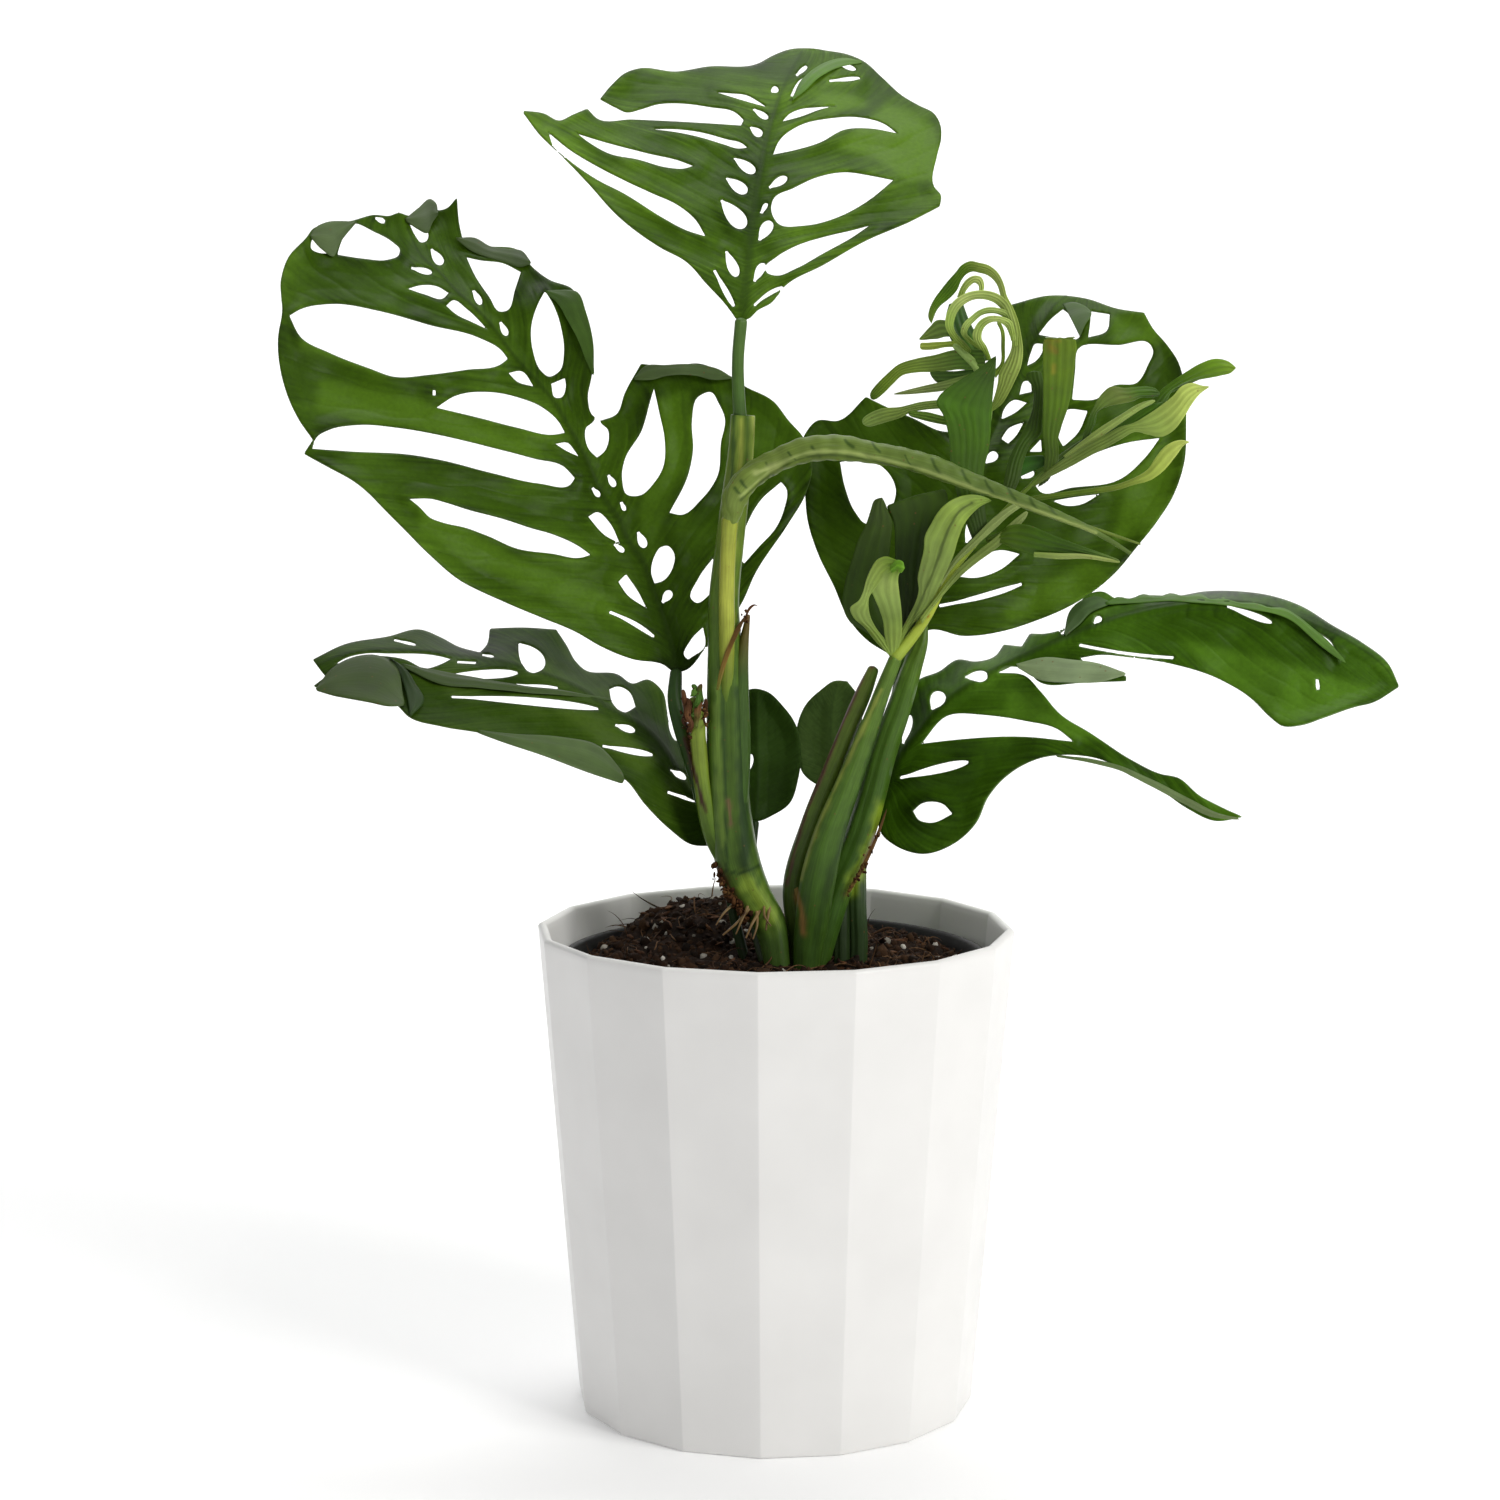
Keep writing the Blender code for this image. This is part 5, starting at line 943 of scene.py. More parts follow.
# %% The left leaf
LEFT_LEAF = {
    "rib": """678,670,12 671,645,13 662,615,16 652,588,19 641,560,22 627,540,25 618,519,27 602,496,31
    586,460,35 570,430,39 551,398,43 535,380,46 512,354,50 494,329,54 478,311,58 455,290,64 439,272,69
    421,256,75 407,228,84""",
    "left": """673,671,12 664,665,12 632,659,10 604,648,6 574,631,3 540,617,0 500,600,-3 455,577,-6
    430,555,-7 395,520,-6 352,480,-3 330,468,0 304,454,2 313,440,4 299,420,8 284,385,13 278,338,23
    282,313,30 281,279,39 288,258,46 307,237,53 313,229,56 329,225,60 352,221,65 375,215,71 389,216,75
    398,213,79""",
    "right": """683,671,12 705,649,15 740,606,20 756,572,24 788,524,30 806,493,34 812,469,36 804,439,38
    788,420,40 774,402,42 744,386,45 728,376,46 700,364,48 668,367,48 641,364,48 625,393,46 616,415,45
    601,421,44 592,415,44 588,400,45 592,374,48 592,341,53 581,313,59 573,290,64 549,280,70 532,267,75
    519,251,80 485,246,84 462,238,86 459,224,88 457,198,90 446,209,90 438,211,91 432,200,93 420,210,91
    410,216,88""",
    "slits": """375,218,385,222,6,0 431,249,442,265,10,0 473,290,481,305,7,0 500,322,507,336,7,0
    411,268,432,273,7,0 614,544,624,552,6,0 592,488,600,497,6,0 609,612,654,637,5,-2 608,475,615,487,7,0
    621,502,625,511,5,0 638,532,645,548,9,0 662,603,671,591,9,0 434,390,434,396,3,0""",
    "holes": """316,234 311,242 311,249 318,253 327,254 323,242 | 352,224 375,232 393,242 400,249 398,256
    388,260 363,259 337,255 342,240 | 409,224 420,229 428,233 427,241 421,243 415,236 | 466,257 480,260
    503,263 521,272 515,290 507,311 500,312 489,297 475,276 | 545,291 538,304 531,329 533,352 540,370
    549,377 560,371 564,354 561,327 552,302 | 551,384 565,378 566,386 561,398 555,398 | 407,289 421,285
    437,286 449,293 443,299 425,295 | 453,300 467,309 488,330 473,323 455,314 446,306 | 289,316 301,309
    329,304 384,312 430,325 480,338 501,350 508,359 500,365 467,370 430,375 393,377 370,369 329,353
    301,338 | 312,449 316,438 329,430 356,425 398,428 444,436 490,447 536,459 563,466 575,478 570,485
    540,484 490,473 439,460 409,455 352,452 | 409,499 419,507 430,518 443,523 465,528 487,536 517,549
    552,554 581,558 591,555 577,545 552,534 531,528 500,518 469,510 447,503 432,499 | 555,444 568,443
    574,450 579,457 566,451 | 508,373 521,371 534,387 517,382 | 436,408 455,396 490,392 517,397 542,407
    558,421 565,433 554,435 517,428 478,418 | 588,517 597,512 609,522 620,544 604,535 | 618,582 626,574
    636,588 647,609 627,595 | 668,546 674,553 672,570 663,581 654,584 651,574 655,555 661,547 | 654,388
    650,402 641,432 625,459 622,478 627,495 639,496 655,482 663,468 665,443 659,411 | 698,397 711,392
    719,404 725,418 721,443 718,475 701,500 682,515 669,513 687,478 693,450 692,420 | 713,558 698,579
    691,599 696,603 709,595 718,575 | 781,482 786,488 784,510 776,528 760,546 744,564 738,556 747,524
    760,501 | 703,627 705,646 688,660 684,656 690,641 | 586,428 593,422 597,414 601,423 608,430 609,440
    605,451 597,458 589,450 585,438""",
    "painted_sheen": """320,380 420,400 540,445 540,460 400,425 315,410 | 420,500 520,560 620,600 600,615
    470,565 420,530 | 300,290 310,330 370,350 470,350 480,362 380,375 300,350 | 655,400 690,390 695,440
    670,500 650,560 640,520""",
}

# %% The low left leaf
LOW_LEFT_LEAF = {
    "rib": """704,806,14 690,795,14 676,770,13 661,745,12 640,725,10 608,708,8 582,690,6 549,676,5
    505,662,4 464,656,3 420,651,0 373,650,-4 340,656,-8 318,666,-10""",
    "left": """710,812,13 711,846,10 693,845,5 670,829,-4 646,805,-13 625,779,-20 593,767,-27 549,754,-33
    520,744,-36 482,733,-38 441,726,-38 408,716,-36 397,705,-33 364,696,-29 338,689,-24 313,687,-18
    326,677,-14""",
    "right": """704,800,16 697,782,21 688,762,27 680,745,31 668,717,37 661,690,42 648,680,46 632,684,47
    618,675,48 584,670,48 574,660,48 567,647,50 556,630,54 523,628,54 490,629,52 487,645,47 480,653,43
    458,647,41 441,638,40 420,630,38 388,637,28 344,645,12 313,660,-6 321,671,-10""",
    "slits": """519,643,541,671,23,0 482,655,494,657,4,0 615,725,635,731,8,0 602,746,653,755,7,0
    670,769,686,779,8,0 667,792,697,802,4,0 668,714,677,741,8,0 443,676,518,673,10,0 457,662,476,663,3,0
    516,685,558,688,5,0 451,697,599,709,9,-2 394,640,416,645,4,0""",
    "holes": """609,689 618,686 629,691 636,707 624,713 612,703 | 335,664 345,658 365,653 388,653 441,656
    452,659 440,665 426,669 405,660 388,657 367,657 350,663""",
    "painted_sheen": "540,700 600,715 660,760 640,775 590,735",
}

# %% The back leaf
BACK_LEAF = {
    "rib": """905,641,22 918,600,28 935,560,34 955,515,42 975,470,50 991,436,57 1007,400,64 1025,362,72
    1040,330,80 1052,308,88 1066,296,98""",
    "left": """900,644,22 887,653,20 868,641,23 847,616,28 834,586,34 820,558,41 808,522,48 805,487,53
    804,436,57 817,421,59 838,421,60 866,397,62 882,405,61 912,418,60 945,432,60 975,425,61 1000,398,66
    1016,362,74 1011,330,80 1011,305,86 1049,296,95""",
    "right": """910,641,22 929,630,23 964,636,24 994,633,26 1038,620,30 1079,601,36 1115,573,42
    1136,548,46 1156,523,50 1174,494,54 1184,463,58 1186,424,62 1184,384,66 1178,362,70 1166,344,74
    1153,329,78 1144,313,82 1117,309,88 1086,299,96""",
    "slits": "939,606,1022,584,6,2 966,543,977,516,13,0 985,463,997,453,10,0 1021,478,1034,472,8,0",
    "holes": """840,462 862,460 881,466 896,490 893,505 880,520 866,524 855,512 845,488 | 1063,309
    1052,318 1038,335 1056,338 1079,338 1082,331 1075,319 | 1091,311 1110,314 1107,331 1088,338 1090,324
    | 1078,349 1119,345 1150,344 1153,350 1148,365 1137,383 1113,386 1097,399 1072,400 1075,372 |
    1067,410 1088,411 1078,433 1063,447 1058,437 | 1034,484 1056,474 1098,452 1126,443 1160,438 1145,458
    1121,479 1071,488 1040,492 | 1052,501 1076,497 1100,494 1080,505 1066,506 | 952,576 970,564 1000,550
    1020,554 1000,570 976,578 | 1001,439 1008,429 1024,422 1016,436 1008,444 | 1001,420 1003,411 1014,400
    1027,403 1015,413 | 1027,366 1031,352 1035,344 1044,344 1042,353 1035,362 | 1019,395 1025,381
    1029,381 1032,392 | 1029,452 1041,439 1042,452""",
    "painted_sheen": """1130,480 1160,450 1176,470 1160,520 1110,548 | 1000,612 1030,590 1090,562 1110,575
    1060,606 1010,624 | 1110,315 1150,320 1160,345 1115,345""",
}

# %% The low right leaf
LOW_RIGHT_LEAF = {
    "rib": """891,775,15 902,755,13 921,731,11 943,705,9 984,676,6 1025,656,4 1066,637,3 1106,621,2
    1147,609,1 1188,601,0 1229,601,-2 1270,607,-4 1310,623,-8 1351,643,-12 1388,672,-17 1397,687,-20""",
    "left": """888,770,15 898,740,20 902,716,24 908,690,26 919,680,27 939,672,27 958,660,28 976,662,26
    996,656,26 1004,645,26 1022,647,24 1030,634,25 1046,634,22 1068,626,20 1076,610,23 1088,595,25
    1102,592,26 1118,600,23 1143,596,22 1180,596,19 1204,592,18 1241,592,14 1270,596,10 1302,607,6
    1331,625,0 1362,643,-6 1388,664,-12""",
    "right": """888,782,15 881,800,13 882,834,8 898,847,2 923,854,-4 955,843,-8 988,797,-13 1041,758,-19
    1102,760,-24 1131,776,-26 1188,809,-30 1215,821,-32 1243,817,-32 1270,717,-36 1282,726,-37
    1302,725,-36 1323,718,-34 1355,707,-30 1372,703,-26""",
    "slits": """1227,606,1272,623,7,0 1311,631,1333,649,9,0 1317,679,1318,690,4,0 1079,645,1174,658,3,2
    965,677,988,676,12,0 932,710,942,692,16,0 903,744,910,715,10,0 1094,624,1101,617,8,0
    1061,634,1069,630,5,0 900,778,969,762,9,0""",
    "way_back": """1399,687 1372,703 1355,707 1323,718 1302,725 1282,726 1270,717 1253,700 1221,680
    1172,664 1127,657 1100,655 1080,658 1094,672 1126,676 1126,681 1080,683 1041,683 1022,668 1004,668
    998,673 1025,676 1041,692 1061,715 1090,733 1131,760 1160,774 1178,778 1200,796 1221,807 1243,817
    1215,821 1188,809 1160,790 1131,776 1102,760 1072,755 1041,758 1009,774 988,797 976,823 955,843
    923,854 898,847 882,834 881,800 888,782""",
    "holes": """921,744 947,716 984,715 1025,721 1057,729 1074,742 1025,737 955,740 | 913,811 921,804
    943,804 953,814 931,823 919,820""",
    "painted_sheen": """1180,640 1270,660 1380,690 1330,715 1280,722 1230,690 | 1010,690 1060,700 1120,740
    1060,740 1000,735""",
}

# %% The two small entire leaves
SMALL_LEFT_LEAF = {
    "rib": "755,821,22 757,790,24 757,750,27 757,715,28 757,692,27",
    "left": "752,821,22 738,806,24 727,780,27 722,750,29 727,720,30 738,698,29 751,689,27",
    "right": "758,821,22 773,815,24 789,804,25 798,779,26 801,751,26 796,725,26 783,706,26 766,691,26",
    "slits": "747,774,751,754,8,0",
}
SMALL_RIGHT_LEAF = {
    "rib": "836,790,24 833,760,26 831,730,27 833,700,27 838,682,25",
    "left": "832,789,24 816,784,26 803,773,28 798,754,29 797,728,30 805,706,30 822,689,28.5 834,681,26.5",
    "right": "840,789,24 852,776,26 860,750,27 862,720,27 858,696,27 847,681,26",
}

# %% Seven grown blades
# The low left leaf's finish is a darker copy of the waxy leaf, with painted shade; the small leaf turned to the
# light has a lighter copy, with painted light.
glossy_leaf = leaf_finish("waxy_leaf_deep_green", "#1d2f03", "#365206", "#4e7014", "#66784e", 0.42)
top_finish = leaf_finish("waxy_leaf_fresh_green", "#223805", "#3c5a08", "#5f841e", "#62763f", 0.46)
side_finish = leaf_finish("waxy_leaf_olive_green", "#1b2f04", "#345506", "#50781a", "#8c9e74", 0.42, shine=0.09)
shaded_leaf = leaf_finish("waxy_leaf_green_painted_shade", "#1a2a06", "#2e4609", "#465e1e", "#56683c", 0.5, shine=0.04)
dull_leaf = leaf_finish("small_matt_leaf", "#22380b", "#304a12", "#3c5a20", "#55683f", 0.5, 14.0, 0.12)
lit_leaf = leaf_finish("small_leaf_turned_to_light", "#3a5224", "#4e682e", "#5f7a3e", "#66784e", 0.52, 16.0,
                       0.12)
for name, leaf, seed, width, finish in (
        ("top_leaf", TOP_LEAF, 31, 1.7, top_finish), ("left_leaf", LEFT_LEAF, 41, 1.5, glossy_leaf),
        ("low_left_leaf", LOW_LEFT_LEAF, 51, 1.3, shaded_leaf), ("back_leaf", BACK_LEAF, 61, 1.4, glossy_leaf),
        ("low_right_leaf", LOW_RIGHT_LEAF, 71, 1.3, side_finish),
        ("small_left_leaf", SMALL_LEFT_LEAF, 81, 0.8, dull_leaf),
        ("small_right_leaf", SMALL_RIGHT_LEAF, 91, 0.8, lit_leaf)):
    piece(name + "_blade", blade_shape(leaf, seed, width), finish, "leaf", name)

# %% [markdown]
# ## Stems, stalks and sheaths
# A monstera's leaf stalk starts as a sheath that wraps the next one. It is channelled on its upper side,
# runs in fine lengthwise fibres, and dries to brown paper where it was torn or cut. Blender's curve tubes
# are perfectly round, so each stem is a ring of points carried along its path, and the ring is reshaped
# as it goes: channels, ridges, swellings at the joints.

# %% A ring carried along a path
def stem_shape(line, colours, rings, sides, section=None, stains=(), cup=False):
    """A stem along a smooth line of (across, down, back, radius in mm).

    point = middle + radius x section(along, angle) x (cos angle x side + sin angle x behind), where
    side is square to the path and to the line of sight, so that the viewer's side is at 270 degrees.
    Rounded ends shrink as a quarter circle; a cup's end turns in and goes back down.
    """
    run = spread(smooth_run(line, 12), rings)
    middle, radius = spots(run[:, :3]), run[:, 3] * MM
    ahead = unit(np.gradient(middle, axis=0))
    side = unit(np.cross(ahead, [0.0, 1.0, 0.0]))
    behind = np.cross(side, ahead)
    turn = np.radians([20, 40, 60, 80])[:, None]
    low = np.hstack([np.sin(turn), np.cos(turn)])
    steps = np.array([[0.10, 0.97], [0.06, 0.86], [-0.5, 0.80], [-1.4, 0.70]]) if cup else low
    low = low[::-1]
    middle = np.vstack([middle[0] - ahead[0] * radius[0] * low[:, :1] * 0.7, middle,
                        middle[-1] + ahead[-1] * radius[-1] * steps[:, :1] * 0.7])
    radius = np.concatenate([radius[0] * low[:, 1], radius, radius[-1] * steps[:, 1]])
    side, behind = [np.vstack([[v[0]] * 4, v, [v[-1]] * 4]) for v in (side, behind)]
    share = np.concatenate([np.zeros(4), np.linspace(0, 1, rings), np.ones(4)])[:, None]
    angle = np.linspace(0, 2 * math.pi, sides, endpoint=False)[None]
    factor = section(share, angle) if section else 1 + 0.02 * np.sin(5 * angle + 3 * share)
    reach = (radius[:, None] * factor)[..., None]
    verts = (middle[:, None] + reach * (np.cos(angle)[..., None] * side[:, None]
                                        + np.sin(angle)[..., None] * behind[:, None]))
    length = np.concatenate([[0.0], np.cumsum(np.linalg.norm(np.diff(middle, axis=0), axis=1))])[:, None]
    grain = np.stack([np.broadcast_to(length, reach.shape[:2]), np.cos(angle) * radius[:, None],
                      np.sin(angle) * radius[:, None]], -1)
    return skin(verts, paint=painted(verts, share * np.ones_like(angle), colours, stains), grain=grain)


def painted(verts, share, colours, stains):
    """Linear colours: a run of screen colours by share of the length, then stains along view lines.

    A stain's weight is 1 on its line and falls as exp(-(distance / reach)^2), in front and behind.
    """
    colours = colours.split()
    stops = np.linspace(0, 1, len(colours))
    tones = np.array([linear(code) for code in colours])
    paint = np.stack([np.interp(share, stops, tones[:, k]) for k in range(3)], -1)
    seen = on_view(verts).reshape(-1, 2)
    uneven = 1 + 0.5 * waves(verts.reshape(-1, 3), 0.006, 5)
    for line, code, reach in stains:
        path = spread(smooth_run(line, 6), 60)
        away = np.linalg.norm(seen - nearest_edge(seen, [np.vstack([path, path[-2:0:-1]])]), axis=1)
        weight = np.exp(-(away / (reach * np.clip(uneven, 0.4, 1.7))) ** 2).reshape(share.shape)[..., None]
        paint = paint + (linear(code) - paint) * np.clip(weight * 1.15, 0, 1)
    return paint


def channelled(at, width, depth, ridges=9, ridge=0.012):
    """A section with one lengthwise channel at an angle in degrees, and fine ridges all round."""
    def section(share, angle):
        off = np.angle(np.exp(1j * (angle - math.radians(at))))
        dip = depth * np.exp(-(off / math.radians(width)) ** 2) * np.clip(share * 4, 0, 1)
        return (1 - dip + ridge * np.sin(ridges * angle + 0.8 * np.sin(3 * share))
                + 0.012 * np.sin(2 * angle + 4 * share))
    return section


# %% Sheets between two edges: sheath flaps, straps and ribbons
def strap_shape(edge_a, edge_b, colours, along, across, thick, camber, pleats, pleat, tip, stains=(),
                wave=0.4, seed=1, streak=0.05):
    """A thin closed sheet between two edges, each smooth through its (across, down, back) points.

    middle(u, v) = a(u) + (b(u) - a(u)) (1/2 + (v - 1/2) w(u)), where w narrows as a quarter circle
    over the tip; then along the normal: camber x 4 v (1 - v) + pleat x cos(2 pi pleats v) + waves,
    and half the thickness to either side, thinner at both edges. Lengths are in millimetres.
    """
    a, b = [spread(smooth_run(edge, 10), along) for edge in (edge_a, edge_b)]
    u, v = np.linspace(0, 1, along)[:, None], np.linspace(0, 1, across)[None]
    near_tip = np.clip((u - 1 + tip) / tip, 0, 1)
    narrow = np.sqrt(np.clip(1 - near_tip ** 2.6, 0.0004, 1))
    middle = spots(a[:, None] + (b - a)[:, None] * (0.5 + (v - 0.5) * narrow)[..., None])
    normal = unit(np.cross(np.gradient(middle, axis=0), np.gradient(middle, axis=1)))
    normal *= np.sign((normal * (EYE - middle)).sum(-1).mean() + 1e-9)
    rise = camber * 4 * v * (1 - v) + pleat * np.cos(2 * math.pi * pleats * v) * np.sin(math.pi * v) ** 0.5
    rise = rise * narrow + wave * waves(middle / MM, 22.0, seed) * np.sin(math.pi * u) ** 0.5
    half = thick / 2 * (1 - 0.75 * np.abs(2 * v - 1) ** 6) * np.clip(narrow * 3, 0.25, 1)
    shape = (along, across)
    front = middle + normal * (np.broadcast_to(rise + half, shape) * MM)[..., None]
    back = middle + normal * (np.broadcast_to(rise - half, shape) * MM)[..., None]
    rings = np.concatenate([front, back[:, ::-1]], 1)
    share = np.broadcast_to(u, (along, 2 * across))
    paint = painted(rings, share, colours, stains)
    stripes = 1 + streak * np.cos(2 * math.pi * pleats * np.concatenate([v, v[:, ::-1]], 1))[..., None]
    steps = np.linalg.norm(np.diff(middle[:, across // 2], axis=0), axis=1)
    length = np.concatenate([[0.0], np.cumsum(steps)])
    grain = np.stack([np.broadcast_to(length[:, None], share.shape),
                      np.broadcast_to(np.concatenate([v, 1 - v], 1) * 0.01, share.shape),
                      np.zeros(share.shape)], -1)
    return skin(rings, paint=paint * stripes, grain=grain)


# %% Green stems with fibres under a thin wax
def stem_finish(name, rough=0.42, fibre=0.34, coat=0.04):
    """The painted colour, broken up by fibres and by brown specks 4 mm apart.

    Real fibres are about 0.2 mm wide and wouldn't show, so they are drawn 0.5 mm wide and 12 mm long.
    """
    made, tree, shader = new_finish(name, IOR=1.45, Specular_IOR_Level=0.28, Coat_Weight=coat,
                                    Coat_Roughness=0.3)
    where = add(tree, "TexCoord", out="Object")
    grain = add(tree, "Attribute", out="Vector", attribute_name="grain")
    grain = add(tree, "Mapping", {"Vector": grain,
                                  "Scale": (1 / (12 * MM), 1 / (0.5 * MM), 1 / (0.5 * MM))})
    strands = add(tree, "TexNoise", {"Vector": grain, "Scale": 1.0, "Detail": 3.0})
    cloud = add(tree, "TexNoise", {"Vector": where, "Scale": 1 / (7 * MM), "Detail": 4.0})
    shade = add(tree, "MapRange", {0: strands, 1: 0.3, 2: 0.7, 3: 1 - fibre / 2, 4: 1 + fibre / 2})
    cloudy = add(tree, "MapRange", {0: cloud, 1: 0.3, 2: 0.7, 3: 0.86, 4: 1.12})
    shade = add(tree, "Math", {0: shade, 1: cloudy}, operation="MULTIPLY")
    paint = add(tree, "Attribute", attribute_name="paint")
    colour = add(tree, "Mix", {0: 1.0, 6: paint, 7: shade}, out=2, data_type="RGBA", blend_type="MULTIPLY")
    specks = add(tree, "TexVoronoi", {"Vector": where, "Scale": 1 / (4.2 * MM)}, out="Distance")
    specks = add(tree, "MapRange", {0: specks, 1: 0.05, 2: 0.11, 3: 0.55, 4: 0.0})
    colour = add(tree, "Mix", {0: specks, 6: colour, 7: "#6b4a28"}, out=2, data_type="RGBA")
    wire(tree, shader, Base_Color=colour,
         Roughness=add(tree, "MapRange", {0: cloud, 1: 0.3, 2: 0.7, 3: rough - 0.05, 4: rough + 0.08}),
         Normal=add(tree, "Bump", {"Height": strands, "Strength": 0.5, "Distance": 0.18 * MM}))
    return made


green_stem = stem_finish("waxy_green_leaf_stalk")
dry_paper = stem_finish("dried_papery_sheath", 0.75, 0.55, 0.0)

# %% [markdown]
# ### Folded margins
# Where a strap has torn, its margin turns over and shows the paler underside. A fold is a sheet of its
# own between the margin and a free edge, held in front of the blade: painted patches would have no
# shadow under their edge.

# %% Flaps along the margins
MARGIN_LIFT, FREE_LIFT = 0.5, 1.3  # in mm, in front of the blade


def flap_shape(leaf, margin, free, tones, seed):
    """A sheet from the blade's margin to a free edge: back = the blade's depth there - its lift."""
    table = blade_table(leaf)
    edges = [np.column_stack([drawn(line), fitted(table, drawn(line))[:, 0] - lift])
             for line, lift in ((margin, MARGIN_LIFT), (free, FREE_LIFT))]
    return strap_shape(*edges, tones, 60, 14, 0.3, 0.5, 2, 0.10, 0.04, (), 0.25, seed)


grey, olive = "#44562a #50623a #415528", "#42601c #4c6a26 #3c5a14"
# Each fold: its line on the blade's margin, its free edge, its colours.
FOLDS = {
    "left_leaf": (LEFT_LEAF, [
        ("310,236 316,227 327,222 342,221 358,222",
         "311,238 322,250 333,257 340,243 356,223", grey),
        ("405,219 418,208 431,199 436,203 438,214",
         "406,221 417,229 427,233 433,222 438,215", grey),
        ("456,238 475,238 490,246 508,249 522,251 531,262",
         "457,240 472,251 488,257 505,262 520,267 531,264", grey),
        ("545,291 560,290 577,292 586,312 593,341 594,374",
         "546,293 557,303 567,320 578,340 585,358 593,376", olive),
        ("634,378 645,366 665,365 685,364 701,365 718,369 733,378",
         "635,380 652,380 667,376 682,375 696,376 712,380 732,379", grey)]),
    "top_leaf": (TOP_LEAF, [
        ("792,99 800,82 813,69 829,61 846,58 862,62",
         "793,100 806,90 820,77 834,69 848,65 862,63", "#4f7426 #5c8232 #5a7c34")]),
    "low_left_leaf": (LOW_LEFT_LEAF, [
        ("316,689 331,669 357,656 378,655 393,662 404,700",
         "317,691 334,696 352,699 370,702 388,706 405,706", "#3f5026 #384a1e #42542a"),
        ("389,657 397,668 403,682 407,698 410,716",
         "390,658 405,668 416,684 424,700 411,717", "#1d3208 #223a0a"),
        ("478,733 520,748 560,762 595,775 625,785",
         "479,730 520,734 560,737 598,745 624,774", "#3a4e22 #465a2e #4c6034 #42562a"),
        ("402,664 440,671 480,678 520,685 560,690 612,700",
         "403,667 440,684 480,688 520,692 560,695 612,701", "#3a4c22 #42552a")]),
    "low_right_leaf": (LOW_RIGHT_LEAF, [
        ("1016,664 1046,657 1070,659 1096,662.5 1126,673",
         "1018,668 1040,680 1070,682.5 1098,682 1126,675", "#74865a #80926a #7c8e64"),
        ("""1105,603 1118,597 1130,599 1143,594 1157,597 1171,593 1185,596.5 1198,594 1212,599 1226,597
         1240,602 1254,601 1268,607.5 1283,608 1298,616 1312,627 1328,641 1346,662""",
         "1106,605 1150,602 1200,603 1250,609 1292,621 1320,646 1346,664", "#44681c #4e7226 #52762a #4a6e20"),
        ("1064,634 1070,611 1082,600 1098,596 1110,602",
         "1066,636 1080,624 1090,613 1100,608 1110,604", "#40582a #486432"),
        ("1056,756 1090,759 1120,766 1150,779 1190,799 1215,812 1240,819",
         "1057,757 1090,763 1118,770 1146,784 1184,804 1208,816 1239,820", "#546a38 #647848 #627246")]),
    "back_leaf": (BACK_LEAF, [
        ("1063,304 1072,302 1085,306 1092,312",
         "1080,337 1083,330 1087,322 1091,317", "#42582a #4c6434")]),
}
underside = stem_finish("matt_leaf_underside", 0.56, 0.14, 0.0)
for name, (leaf, flaps) in FOLDS.items():
    sheets = [flap_shape(leaf, *flap, seed=300 + k) for k, flap in enumerate(flaps)]
    piece(name + "_folds", joined(sheets), underside, "leaf")

# %% Flakes of dried scale along a line
def flakes(line, count, sizes, wide, seed):
    """Small flat lumps: place = a point of the (across, down, back) line + a random push of the width."""
    chance = np.random.default_rng(seed)
    path = spread(line, 60)[chance.integers(0, 60, count)]
    places = spots(path + chance.normal(0, 1, (count, 3)) * wide)
    size = chance.uniform(*sizes, (count, 3)) * MM
    return scattered(lump(3, 5), size, places, turned_at_random(count, chance), chance, 0.35)


brown_scale = earthy_finish("dried_brown_leaf_scale", [(0.2, "#22120a"), (0.5, "#3d2413"), (0.8, "#5c3c20"),
                                                       (1.0, "#83693c")], 0.9, 0.7, 0.15)

# %% The left shoot
# A stem is (across, down, back, radius in mm) along its middle line; a mark is a line, a colour and a reach.
LEFT_MAIN = """781,1050,-4,3.8 780,1000,-3,4.2 777,960,-2,4.8 770,925,0,5.8 752,895,0,6.9 739,866,0,7.8
    732,828,0,7.5 727,760,0,7 726,700,0,6.7 725,650,0,6 724,600,0,5.3 729,550,0,5 735,500,1,4.8
    741,450,1,4.5 743,416,1,4.3"""
scar = ("718,868 727,883 735,899 744,913", "#3f2812", 4.2)
old_marks = ("728,800 730,812 731,824", "#6d5a3a", 2.2)
node_light = ("748,884 760,901 769,917", "#849e38", 9.0)
node_edge = ("724,871 741,873 761,865", "#273f12", 1.4)
left_light = ("719,690 719,770 724,845", "#5f7a2c", 4.5)
# A painted highlight: a pale yellow-green line down the front of the stem.
painted_highlight_line = ("729,640 728,580 730,512", "#848e2a", 5.0)
dark_side = ("745,866 743,760 742,690", "#253d15", 6.0)
# Painted shade: a dark line along the stem's channel.
painted_groove_shade = ("727,866 725,780 722,690", "#284113", 2.0)
lip_pale = ("753,413 755,440 752,478", "#8f9b48", 1.6)
lip_dark = ("747,412 747,445 744,480", "#445d16", 2.2)
lip_left = ("734,412 733,450 731,500", "#385316", 2.2)
lip_warm = ("741,420 741,450 739,480", "#859038", 2.4)
torn = ("684,738 693,770 702,803", "#3d2410", 2.0)
paper_edge = ("716,689 726,655 738,627", "#5f4a1c", 2.0)
brown_line = ("686,722 690,750 697,780 706,812", "#3d2712", 1.6)
left = [stem_shape(LEFT_MAIN, "#2a3510 #324a15 #46621e #47631d #415c19 #46621a #506b1d #647926 #687f2a",
                   220, 44, channelled(276, 24, 0.15),
                   [painted_highlight_line, left_light, dark_side, painted_groove_shade, node_light, node_edge, scar, old_marks,
                    lip_warm, lip_dark, lip_left, lip_pale], True)]
